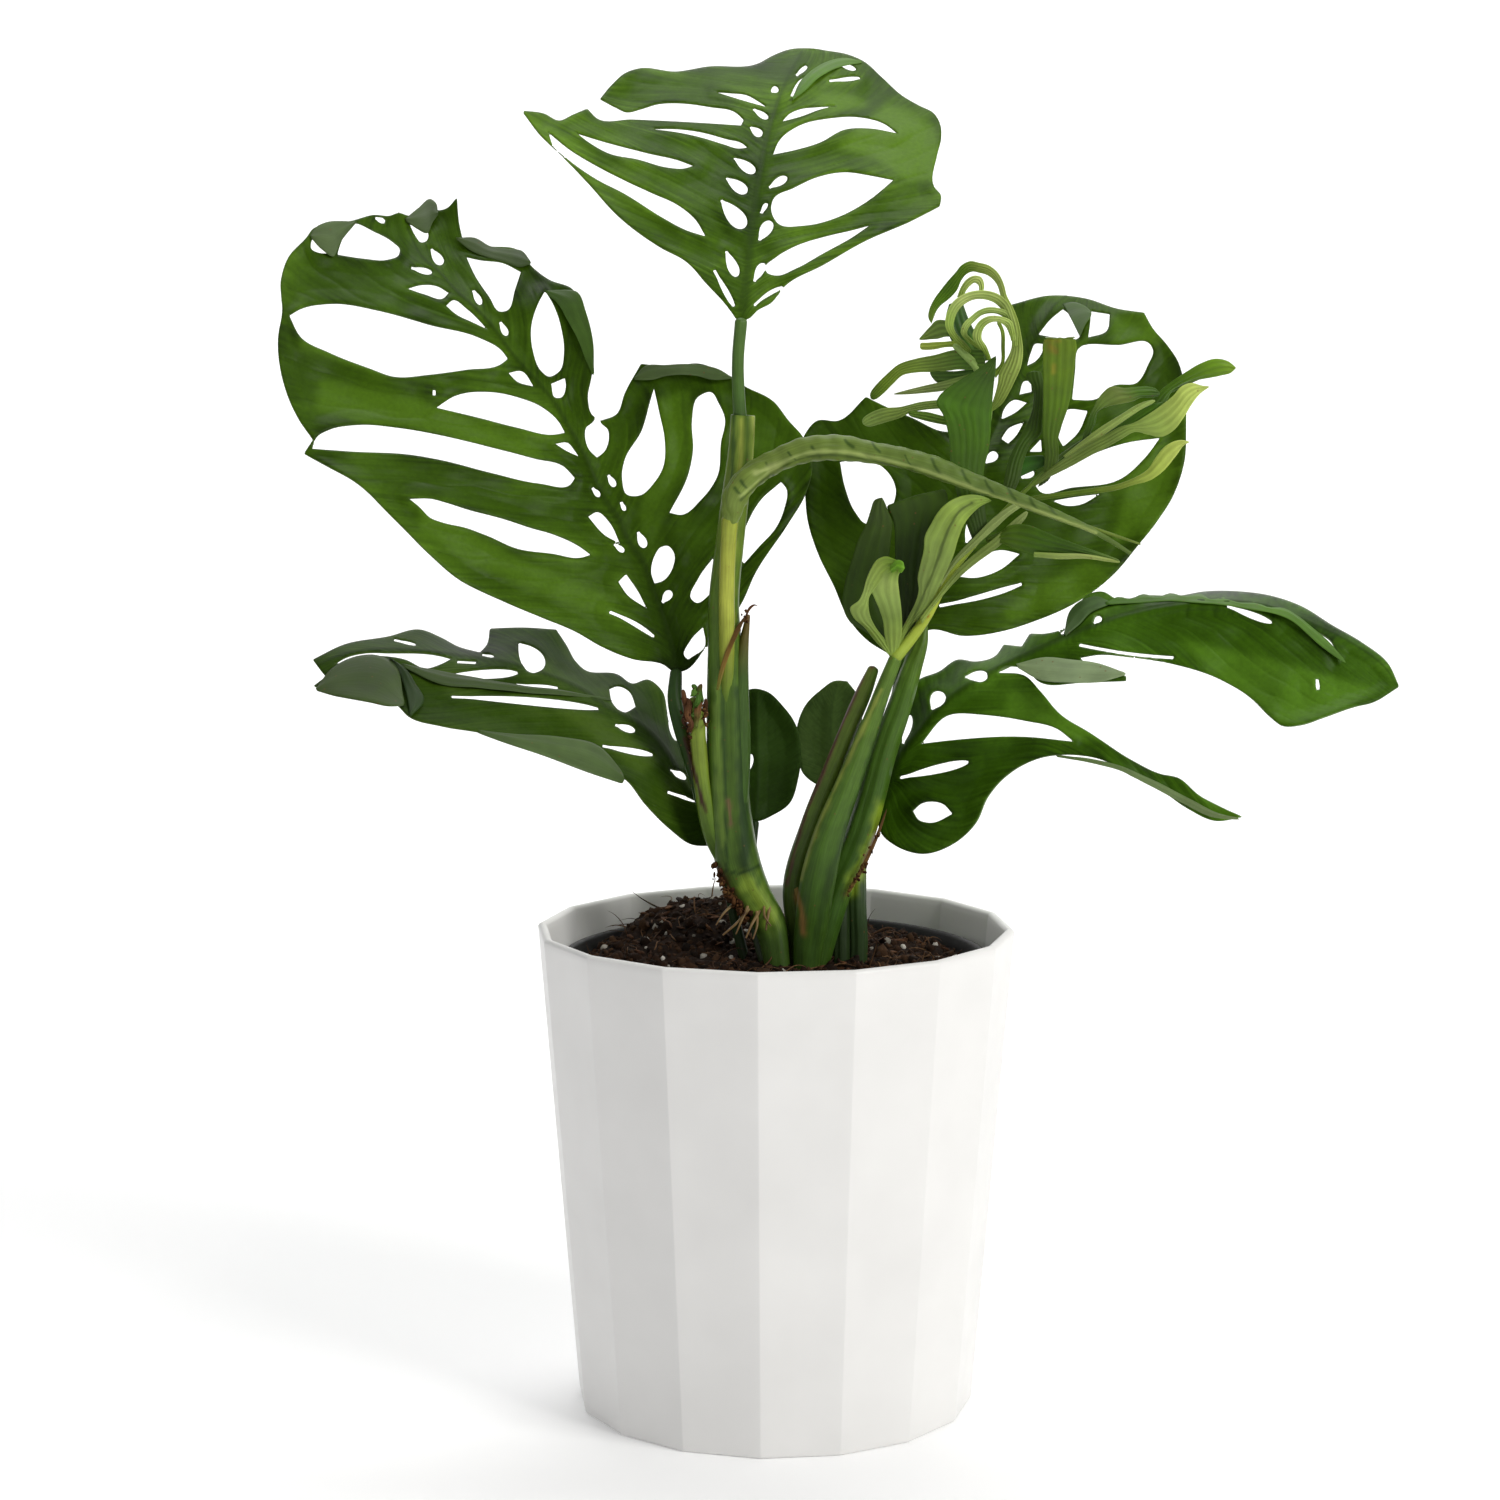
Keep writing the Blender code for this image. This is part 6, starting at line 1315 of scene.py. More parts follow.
LEFT_STALKS = [
    # The top leaf's stalk.
    ("742,440,1,2.4 739,400,1,2.2 738,360,1,2.1 741,322,0,2.2",
     "#38551e #436123 #466326"),
    # The rolled leaf's stalk, and its sheath. The stalk's pale yellow-green middle is partly its own young
    # colour and partly a painted highlight.
    ("""728,740,-2,2 727,700,-3.6,2.2 727,670,-4.6,2.5 727,640,-5.4,2.7 727,580,-6,2.7 729,535,-7,2.8
     730,520,-8.2,3""",
     "#375312 #56701a #828e2d #9fa640 #9ea43e #8f9936"),
    ("735,800,-1,5 740,740,-1,3.8 741,690,-2,2.8 743,650,-2,2 748,616,-2,0.8",
     "#375516 #355116 #39531a #5f4a1e"),
    # The left leaf's stalk.
    ("676,673,12,2.2 675,700,8,2.7 680,725,5,2.7 688,752,3,2.6 698,785,3,2.6 714,840,3,3 735,872,1,3.4",
     "#2c4816 #2b4616 #335113"),
    # The torn stub.
    ("693,700,-4,1.6 697,712,-4,2.2 698,740,-4,2.8 703,790,-3,3 714,836,-1,3.6 732,868,0,4",
     "#778833 #73862d #5c7823 #42621a"),
    # The low left leaf's stalk, in two parts.
    ("708,804,17.4,1.5 714,832,15.5,2 725,858,11,2.2 740,878,4,2.6",
     "#2a450d #2f4b0e"),
    ("755,823,22,1.5 752,850,19,1.6 752,890,12,1.7 757,935,6,1.8 768,975,1,1.9 777,1010,-2,2",
     "#223a0b #1f330c #28320d"),
    ("722,850,9,2 729,880,9,1.9 733,910,9,1.9 741,945,8,1.9 752,985,6,2",
     "#243816 #213513 #1c280e"),
]
ROOTLETS = """752,905,-4,0.65 738,922,-8,0.5 723,935,-10,0.3 | 762,908,-4,0.65 752,924,-9,0.5
    746,938,-11,0.3 | 770,905,-4,0.6 767,922,-8,0.45 766,930,-9,0.3 | 748,906,-5,0.6 741,922,-9,0.4
    736,934,-10,0.25 | 757,912,-5.5,0.6 757,926,-9,0.4 753,939,-11,0.25 | 764,905,-5,0.5 765,917,-8.6,0.4
    771,926,-9.4,0.2 | 735,903,-3,0.6 724,913,-6,0.4 716,925,-8,0.2"""
LEFT_STALKS += [(root, "#8a7448 #6b5232") for root in loops(ROOTLETS)]
for line, tones in LEFT_STALKS:
    left.append(stem_shape(line, tones, 70, 24, channelled(250, 26, 0.12, 7, 0.03),
                           [torn, paper_edge, scar, brown_line]))
paper_flaps = [
    strap_shape("716,690,-8.6 720,668,-8.4 728,645,-8 737,625,-6.5 743,616,-5",
                "719,690,-9 725,667,-8.9 733,645,-8.2 742,627,-6.6 747,617,-5",
                "#686b26 #7a5f28 #5c4118 #3f2a10", 40, 8, 0.3, 0.2, 1, 0.1, 0.4, wave=0.5, seed=3),
    strap_shape("744,622,-4 746,613,-4 749,607,-4 754,604,-4 758,605,-4",
                "747,622,-4 748,614,-4 751,609,-4 755,606,-4 758,606.5,-4",
                "#5c4118 #4a2818", 24, 6, 0.3, 0.2, 1, 0.1, 0.5, wave=0.3, seed=4)]


def shred(start, end, side, tones, seed):
    """A crumpled scrap between two (across, down, back) ends: middle line + bends, half as wide as side."""
    chance = np.random.default_rng(seed)
    start, end = drawn(start), drawn(end)
    t = np.linspace(0, 1, 6)[:, None]
    middle = start + (end - start) * t + chance.normal(0, [1.3, 1.0, 0.7], (6, 3))
    half = np.array([side, 0.6, 0.5]) * (0.35 + 0.75 * np.sin(math.pi * (0.15 + 0.7 * t)))
    return strap_shape(middle - half, middle + half, tones, 30, 10, 0.25, 0.8, 3, 0.3, 0.25, (), 0.8, seed)


# Each scrap: its two ends, its half width, its colours.
SCRAPS = [
    ("686,728,-5", "684,690,-4", 2.6, "#3c2414 #4e2f1a #5f3d22"),
    ("690,732,-6", "689,696,-6.4", 3.0, "#4a2c18 #6a4526 #3f2614"),
    ("697,727,-6.8", "699,694,-7", 3.2, "#5c6c2c #6b4a28 #4a2c18"),
    ("704,724,-5.6", "706,698,-5", 2.4, "#3f2614 #55361e #4a2c18"),
    ("693,716,-7.4", "701,690,-6", 2.6, "#52702a #466a22 #3f5f1e"),
    ("691,700,-6.4", "695,683,-4.6", 3.4, "#46681f #52762a #3c5a1c"),
    ("700,704,-6.6", "700,686,-4.6", 2.8, "#4c7024 #3f5f1e #54361e"),
]
paper_flaps += [shred(*scrap, 50 + k) for k, scrap in enumerate(SCRAPS)]
# Each row of flakes: line, count, sizes in mm, push across, down and back, seed.
FLAKES = [
    ("686,700,-5 685,712,-6 687,724,-6 693,742,-5", 26, (0.25, 0.9), (2.4, 4.0, 0.6), 31),
    ("704,704,-5 705,714,-6 703,726,-7", 12, (0.25, 0.9), (1.6, 3.0, 0.6), 32),
    ("717,868,-2.5 723,881,-3.5 731,896,-4.5 742,911,-5 748,922,-4.4", 110, (0.25, 1.5), (3.0, 2.6, 0.8), 33),
    ("690,745,-3.5 694,770,-3.2 702,800,-3", 30, (0.25, 0.8), (1.0, 3.0, 0.4), 34),
    ("740,625,-5 748,612,-4.4", 14, (0.25, 0.8), (1.6, 3.0, 0.5), 35),
]
piece("left_shoot_stalks", joined(left), green_stem, "shoot", "left_shoot")
piece("left_shoot_dry_sheath", joined(paper_flaps), dry_paper, "shoot")
piece("left_shoot_brown_scale", joined([flakes(*row) for row in FLAKES]), brown_scale, "shoot")

# %% The right shoot
RIGHT_MAIN = """812,1050,-3,4.2 808,1000,-3,4.6 807,965,-3,5 812,920,-3,6 818,880,-3,6.2 831,829,-3,5.4
    846,790,-3,4.6 859,756,-3,4 873,718,-3,3.2 885,685,-3,2.7 895,660,-3,2.4"""
# A painted highlight: a pale line along the stem's left edge.
painted_highlight_edge = ("881,690 850,756 817,829 801,880", "#82903d", 1.8)
right_edge = ("905,662 884,722 862,790 846,860", "#687f30", 1.4)
lime = ("850,890 863,864 876,830 882,810", "#86a02d", 6.0)
burnt = ("847,894 861,868 875,836 885,812", "#5f431c", 1.5)
rust = ("797,893 801,910 803,932", "#8a6a34", 2.8)
purple = ("787,884 802,826 823,772 843,722 856,692 865,670", "#54382c", 1.7)
cut_tip = ("872,667 880,663", "#5c4424", 2.2)
tip_green = ("876,672 872,688 866,704", "#597523", 2.6)
# Painted shade: a dark line along the stem's channel.
painted_groove_shade_right = ("822,900 846,830 868,765 889,700", "#304b16", 2.6)
dark_left = ("812,960 822,910 832,870", "#304a16", 4.0)
speck_top = ("926,612 930,618", "#72561c", 2.0)
# Each stem or stalk, its colours, a factor on its radius, and the height of its ridges.
RIGHT_STALKS = [
    ("""804,985,3,3.4 797,930,4,3.6 793,890,4,3.6 811,824,3,3.5 832,770,3,3.3 852,720,3,3 864,692,3,2.8
     873,670,3,2""",
     "#364015 #425819 #475e1a #4e631e #556720", 1.0, 0.025),
    ("""812,985,3,4 826,930,4,4.6 839,885,6,5.2 856,845,7,5.3 870,803,7,4.9 884,752,7,4.5 900,705,7,4.2
     913,665,8,3.4 922,640,9,2.2 925,624,10,1""",
     "#334a15 #3b5c1a #3c5c19 #40601a #47671d #536d20", 1.0, 0.025),
    ("906,646,22,1.7 903,665,19,2.1 896,705,14,2.4 884,752,9,2.8",
     "#325113 #375515", 1.0, 0.025),
    # The next two stalks stand behind the others, and their dark colours are painted shade.
    ("841,1020,5,2.2 841,960,6,2.3 841,900,9,2.3 842,850,15,2 838,806,22,1.7 836,792,24,1.6",
     "#243216 #27391a #2b421b", 1.3, 0.05),
    ("""818,1042,-2,2.4 845,1010,5,2.4 857,965,8,2.5 857,900,10,2.5 859,850,15,2.3 869,805,18,2.1
     878,788,17,2 882,781,15.5,1.8""",
     "#243216 #27391a #2e461b #3b5819", 1.3, 0.05),
    ("903,690,9,3 918,640,12,2.2 935,575,15,1.8 958,512,18,1.6 975.5,459.6,20,1.5",
     "#47671d #567223 #738833 #82913a", 1.0, 0.025),
]
right = [stem_shape(RIGHT_MAIN, "#2f3b15 #324b15 #3e5e19 #47671e #4d6b20 #537022", 180, 40,
                    channelled(250, 20, 0.14), [painted_highlight_edge, right_edge, painted_groove_shade_right, dark_left, rust])]
for line, tones, wider, ridge in RIGHT_STALKS:
    right.append(stem_shape(drawn(line) * [1, 1, 1, wider], tones, 90, 32, channelled(290, 22, 0.14, 8, ridge),
                            [lime, burnt, rust, purple, cut_tip, tip_green, speck_top]))
edges = [strap_shape("847,891,-0.5 862,865,0.5 877,832,1.5 886,808,2.5",
                     "850,893,-0.5 865,867,0.5 880,833,1.5 888,809,2.5",
                     "#6f5a28 #6a4a24 #4f381c", 50, 6, 0.3, 0.1, 1, 0.05, 0.3, wave=0.5, seed=7),
         strap_shape("794,889,0.2 797,900,0 800,914,0 801,930,0.4",
                     "798,887,-0.4 802,900,-0.6 804,914,-0.6 803,931,-0.2",
                     "#8f7a44 #96703a #6a4420", 40, 8, 0.3, 0.3, 1, 0.1, 0.3, wave=0.6, seed=8)]
edge_flakes = flakes("850,891,-1 864,866,0.2 880,830,1.2", 36, (0.2, 0.9), (1.2, 3.0, 0.4), 36)
piece("right_shoot_stalks", joined(right), green_stem, "shoot", "right_shoot")
piece("right_shoot_dry_edge", joined(edges), dry_paper, "shoot")
piece("right_shoot_brown_scale", edge_flakes, brown_scale, "shoot")

# %% [markdown]
# ## The leaf that is still rolled
# A new leaf comes out as a tight roll, pale because it has hardly seen light. Its outer edge winds round
# the roll, so the section isn't a circle but a spiral with one step, and the step wanders along the
# length. Fine cross ridges are the side veins pressing through.

# %% A spiral section with a wandering step
def rolled_section(share, angle):
    """The factor on the radius grows from 0.88 to 1.05 and drops back at a seam that winds along the roll."""
    seam = math.radians(232) + 1.5 * np.sin(7.5 * share + 0.4) + 0.5 * np.sin(23 * share)
    turn = np.mod(angle - seam, 2 * math.pi) / (2 * math.pi)
    spiral = 0.88 + 0.17 * np.clip(turn * 1.12, 0, 1) ** 0.8 - 0.17 * np.clip((turn - 0.955) / 0.045, 0, 1)
    return (spiral + 0.030 * np.sin(share * 170 + 3.0 * np.sin(angle))
            + 0.02 * np.sin(share * 61 + 2 * angle)) * (1 + 0.05 * np.sin(share * 26))


ROLLED_LEAF = """730.5,518.2,-8.5,3 734,499,-10,4.4 744,482,-10.5,4.5 757,471,-11,4.5 773,462,-12,4.5
    803,450,-15,4.5 832,447,-17,4.4 876,453,-20,3.9 920,463,-22,3.8 964,479,-24,3.4 1008,495,-26,2.6
    1052,513,-28,1.8 1096,532,-29,1.1 1130,553,-30,0.6"""
# Cross marks as across, top and bottom; then the roll's free edge.
ROLL_MARKS = """735,488,496 741,481,490 766,463,476 788,452,460 812,447,456 845,440,447 872,442,452
    905,455,468 932,459,474 962,470,484 985,480,492 1008,487,500 1030,498,510 1050,506,517"""
overlap = drawn("741,500 770,475 803,458 832,455 876,462 920,473 964,489 1008,505 1052,520 1096,537")
roll_marks = [([(x, top), (x + 3, (top + low) / 2), (x + 8, low)], "#3a5017", 1.3)
              for x, top, low in drawn(ROLL_MARKS)]
roll_marks += [(overlap - [0, 4], "#8c9c54", 1.8), (overlap, "#4a5c22", 1.2),
               ("756,473 775,466", "#9aa860", 3.4)]
rolled = stem_shape(ROLLED_LEAF, "#6c7f34 #687c32 #5f742e #586e2c #546a2a #526828", 420, 64, rolled_section,
                    roll_marks)
second = stem_shape("1080,524,-28.4,0.7 1110,534,-29,0.6 1140,544,-29.5,0.35", "#5e7125 #657829", 40, 14)
roll_finish = stem_finish("rolled_young_leaf", 0.46, 0.26, 0.04)
piece("rolled_leaf_roll", joined([rolled, second]), roll_finish, "rolled_leaf", "rolled_leaf")

# %% [markdown]
# ## The young leaf's loose straps
# On the youngest open leaf the margin has already torn through, so each strap between two holes hangs
# free. The straps that face the viewer show their pale underside; the ones behind are dark. Each is a
# pleated sheet between its two edges.

# %% Straps of the young leaf: two edges, colours from stalk to tip, pleats, tip share
YOUNG_RIB = """896,657,-3,2.5 910,640,-1,2.4 928,615,0,2.1 940,593,1,1.8 951,573,2,1.7 966,555,3,1.6
    985,533,4,1.5 1006,509,5,1.5 1031,485,6,1.4 1055,461,8,1.3 1086,439,10,1.2 1132,412,12,1
    1178,388,14,0.8 1215,372,15,0.6"""
YOUNG_LEAF_STRAPS = [
    # The pale lobe in front: two arms round an eye-shaped hole, and its curled green tip.
    ("""889,655,-3 876,642,-4 864,627,-6 853,617,-7.5 850,608,-8.5 859,600,-9.5 863,592,-10 866,581,-11
     871,569,-12 877,560,-12.5 885,556.5,-13 894,559,-13.5 902,563,-14""",
     """894,656,-3.5 884,638,-4 876,628,-5 870,616,-6 868,605,-7 869,597,-8 874,590,-9 880,582,-10
     885,576,-10.5 890,572,-11 895,571,-11.5 899,570,-12 903,568,-13""",
     "#7d943e #6c8232 #7a8f42 #879d4c #80963d #5e821c", 3, 0.04),
    ("""889,656,-3.6 884,632,-4.6 883,622,-5.5 879,609,-7 874,597,-8.5 871,590,-9.5 872,580,-10.5
     878,568,-11.5 886,559,-12.4""",
     """896,656,-3 901,640,-3.6 902,622,-4 901,608,-5 899,592,-6.5 898,580,-8 899,574,-9.5 902,570,-11
     904,566,-12.5""",
     "#7d943e #738837 #6c8236 #7f9547 #879b4c #5b7b1a", 3, 0.04),
    ("890,566,-14 897,560,-15 903,562,-15.5 905,567,-15",
     "892,573,-13.5 897,571,-14.5 901,573,-15 904,570,-15",
     "#59821a #64941e", 2, 0.3),
    # The long pale strap with its dark middle crease.
    ("""893,654,-2.6 900,634,-2.2 909,615,-2 915,603,-3 918.8,589,-4 917.6,579,-4.5 920,565,-5
     923.6,550,-5.5 925,536,-6 931,524,-6 938,512,-5.5 947.6,502.5,-4.5 959.6,496.5,-3 971.6,494.5,-2
     983.6,496.5,-1 992,500,0""",
     """898,655,-2.6 904,638,-1.6 913,624,-1 926,610.5,-1 935.6,594,-1.5 943,579,-2 947.6,569.5,-2.5
     953.6,555,-3 958.4,538.5,-3.5 964.4,524,-3 971.6,514.4,-2 981,506,-1 990.8,501.5,0""",
     "#8ba444 #637631 #6e823c #7d9443 #839b3f #6f8834", 4, 0.03),
    # Two dark straps behind them.
    ("""890,652,0 868,634,3 850,622,4 843,608,5 844.4,584,6 851.6,560,7 858.8,538.4,7 866,524,7
     870.8,509.6,6 874.4,500,5 880.4,496.4,4""",
     "897,650,-1 890,625,2 886,600,4 887,580,5 889,560,6 891,541,6.5 892,521.6,6 887.6,509.6,5 884,498.8,4",
     "#2b3f07 #2f4607 #2b4107 #344a0f #40551a", 3, 0.05),
    ("899,648,1 899,625,2.5 896,584,4.5 894.8,550,6 893,521.6,7 887.6,509.6,7 886.4,503.6,6.5",
     "914,636,0.4 918,612,1.5 926,584,3 930,555,4.5 936,531,5.5 942,512,6.5 948,498,6.5 944,487,6",
     "#213106 #253705 #233705 #2b4106 #334a08", 4, 0.02),
    # The broad dark strap in front of the curly leaf.
    ("""975,547,4 960,505,4 951,468,2 948.5,434.9,0 943,415,-2 936.4,400.7,-4 938.4,396.7,-4
     946.5,388.7,-5 958.5,380.6,-6 968.6,374.6,-6.6 978.6,368.6,-7 988.7,360.5,-7.6 995.7,355.5,-8""",
     """988,531,4 985,505,4 984,472,4 988.7,449,3 990.7,430.9,2 991.7,410.8,0 993,395,-2 994.6,380,-4
     995.7,370.6,-5.6 996.3,356.5,-8""",
     "#2b4106 #2e4605 #345105 #3b5d05 #3f6606 #345306 #324d05", 6, 0.01),
    # The yellow-green strap with its tip folded back, and the darker one behind it.
    ("""1038,487,7 1043,470,6.5 1045,455,5.5 1042.7,433,4.5 1043,415,3 1043,395,1 1043,375,-2
     1042.8,355,-4.5 1043,343,-6 1045,338,-6.5""",
     """1050,478,8 1058,462,7 1059,450,6.5 1058,440.6,6 1061,428,5.5 1069,403,3.5 1072,385,1.5
     1075,362,-2 1076.6,345,-5 1075,337.5,-6.5""",
     "#324503 #3a5105 #435f05 #4b6805 #536e08 #59720b", 4, 0.01),
    ("1045,338,-6.6 1046,336.6,-4 1047,340,-1",
     "1075,337.5,-6.6 1074,336.6,-4 1073,340,-1",
     "#59720b #4d660a", 3, 0.2),
    ("""1002.5,490,6 1005,476,6.5 1010,456,7.5 1015,445.6,8 1025,428,9 1033,405,10 1033,388,10
     1026,376,10 1027,371.5,10""",
     """1014,492,6 1019,481,6.5 1024,461,7.5 1030,445.6,8 1041,433,8.5 1042,420,8.5 1043,395,8.5
     1043,380,9 1041,370,9.5""",
     "#2b3e05 #304a06 #344f06 #2f4606 #3a5707", 4, 0.02),
    ("1008,470,9 1022,458,9.5 1045,455,9",
     "1010,482,9 1024,475,9.5 1045,466,9",
     "#2b5911 #2b510c", 2, 0.1),
    # The arch near the end of the rib.
    ("""1082,440,9 1088,420,8 1093,408,7 1100.5,395,6.4 1110.5,386.6,6 1125.6,388,6.5 1138,387,7
     1148,386.6,8 1158,389,9.5""",
     """1090,434,9.6 1095.5,423,9 1098,411,8.4 1107,406.7,8 1120,404,8 1134,401,8.6 1141,398,9
     1152,398,10 1161,395.5,11""",
     "#2f4606 #365508 #597028 #657632 #436612 #36550a", 3, 0.04),
    # Pale and dark parts of the strap that runs out to the right of the rib.
    ("1063,456,8 1078,444,8 1095.5,430.6,7 1120,415,6.5 1138,404,6.5 1151,399,7",
     "1066,460,7.6 1082,450,7.4 1100,438,6.4 1124,421,6 1142,409,6 1158,401,6.5",
     "#7a8d41 #879b4d #90a756", 2, 0.1),
    ("1082,450,8 1100,438,7.5 1124,421,7.5 1142,409,7.5 1160,401,8",
     "1084,452,7.6 1105,441,7 1130,430,7 1148,418,7 1166,404,7",
     "#2b4305 #345306 #3f6608", 2, 0.1),
    ("""1030,486,7 1045,472,6.5 1060,461,6 1080,449,5.5 1105,435,5 1120,427,4.5 1133,423,4 1146,415.5,3.6
     1161,405.4,3.2 1173.4,395.4,3 1181,386.6,3 1191,382.8,3.4 1203.6,385.8,4 1210,386,4.4""",
     """1034,487,6.4 1050,477,5.6 1068,468,5 1090,456,4 1110,446,3.4 1122,439,3 1135.7,432,2.6
     1148,434.5,2.2 1161,437,2 1173.4,430.6,2 1183.4,418,2 1191,405.4,2.6 1201,393,3.4 1209,387.4,4.4""",
     "#586a2c #637632 #5e722c #6e8439 #879d48 #a6b856 #aaba5b", 4, 0.02),
    # The lime tip at the far right.
    ("""1150,402,12 1161,390.4,12 1173.4,380.3,11.5 1186,371.5,11 1201,362.7,10.4 1216,358.4,10
     1228.7,361.5,10.6 1235.7,367.2,11""",
     """1166,402,13 1173.4,390,13.4 1183.4,384,13.2 1196,380.3,12.8 1211,377.3,12.4 1221,375.3,12
     1231,372.8,11.6 1236,368,11.2""",
     "#385708 #436509 #4b6e08 #577b0b #608411 #6f8d1b", 3, 0.02),
    # The narrow strap below it, with a pale twisted tip.
    ("""1012,502,5 1032.7,496,3 1064,492,1 1092,488,-1 1118,484,-3 1136,477,-4 1148,469,-4.4 1156,457,-5
     1166,445.6,-6 1181,440,-6.6 1190,441.6,-7""",
     """1014,507,5 1037.7,501,2.6 1075,496,0.6 1100,493,-1.4 1118,490,-3.2 1133,485.4,-4.4 1151,480,-5
     1163.4,471,-5.4 1176,456,-6 1186,444,-6.6 1190,442.4,-7""",
     "#42590c #4e660f #577018 #76872e #9eb04a #b2c05d", 2, 0.02),
    # The lowest strap on the right, with its pale rolled edge.
    ("""986,538,4 1000,531.5,2 1008,526,0 1018,524,-1 1030,525.5,-3 1044.5,531.5,-5 1063,539,-7
     1086,547.5,-9.4 1107,555,-11.4 1120,560,-12.4""",
     """988,544,3.4 1000,543,1 1013,548.5,-2 1034,555.5,-5 1057.6,557,-7 1075,557,-8.4 1090,558,-9.6
     1107,560.6,-11.4 1120,563,-12.6""",
     "#48610e #435f0b #385708 #34510b #43611c #657d35", 4, 0.02),
    ("1034,552,-6.6 1057,553,-8.6 1086,554,-10.8 1107,558,-12.4 1120,561,-13",
     "1034,557,-6 1057.6,559,-8 1086,558.6,-10.2 1107,561.6,-12 1120,563.4,-12.8",
     "#7f9643 #9aa95d #8d9d4f", 1, 0.1),
    # Pale bands on both sides of the rib.
    ("940,580,-1 956,556,0 974,537,1 992,519,2 1008,507,3 1024,498,4",
     "940,588,-1 957,563,0 977,545,1 996,528,2 1010,515,3 1026,504,4",
     "#7d8d4e #738445 #869657", 2, 0.05),
    ("920,618,-3 938,594,-2 957,570,-1 978,551,0 998,535,1 1014,520,2 1028,509,3",
     "922,624,-3 936,604,-2 957,580,-1 978,562,0 996,549,1 1012,534,2 1028,516,3",
     "#8da249 #6f823c #657734 #7d8d4e", 2, 0.05),
]
young_marks = [("905,640 921,600 932,575 941,549 949,528 961,510 972,503", "#44551a", 1.5),
               ("1050,346 1056,352", "#6d6815", 3.0), ("1046,341 1060,341", "#686e15", 2.4),
               ("1054,366 1053,372", "#757713", 2.0)]
slim_rib = drawn(YOUNG_RIB)
slim_rib[:, 3] *= 0.9 - 0.35 * np.minimum(1.0, np.arange(len(slim_rib)) / 6)
rosette = [stem_shape(slim_rib, "#8b9f38 #a6b43d #94a93d #5e7621 #364d09 #2e4506 #324d07 #3e5d09", 120, 20,
                      channelled(270, 30, 0.15, 5, 0.02), [("925,612 928,616", "#8f6224", 2.0)])]
for k, (edge_a, edge_b, tones, pleats, tip) in enumerate(YOUNG_LEAF_STRAPS):
    rosette.append(strap_shape(edge_a, edge_b, tones, 90, 22, 0.40, 0.55, pleats, 0.16, tip, young_marks,
                               0.35, 100 + k, 0.09))
print(len(YOUNG_LEAF_STRAPS), "straps")
strap_finish = stem_finish("soft_young_leaf", 0.46, 0.16, 0.0)
piece("young_leaf_straps", joined(rosette), strap_finish, "young_leaf", "young_leaf")

# %% [markdown]
# ## The curly leaf
# The palest leaf has opened as a bunch of ribbons that curl round each other like wood shavings, with
# pleats along them. Every ribbon is a sheet between its outer and its inner edge. Along a curl one edge
# lies further back than the other, and that is what twists the ribbon.

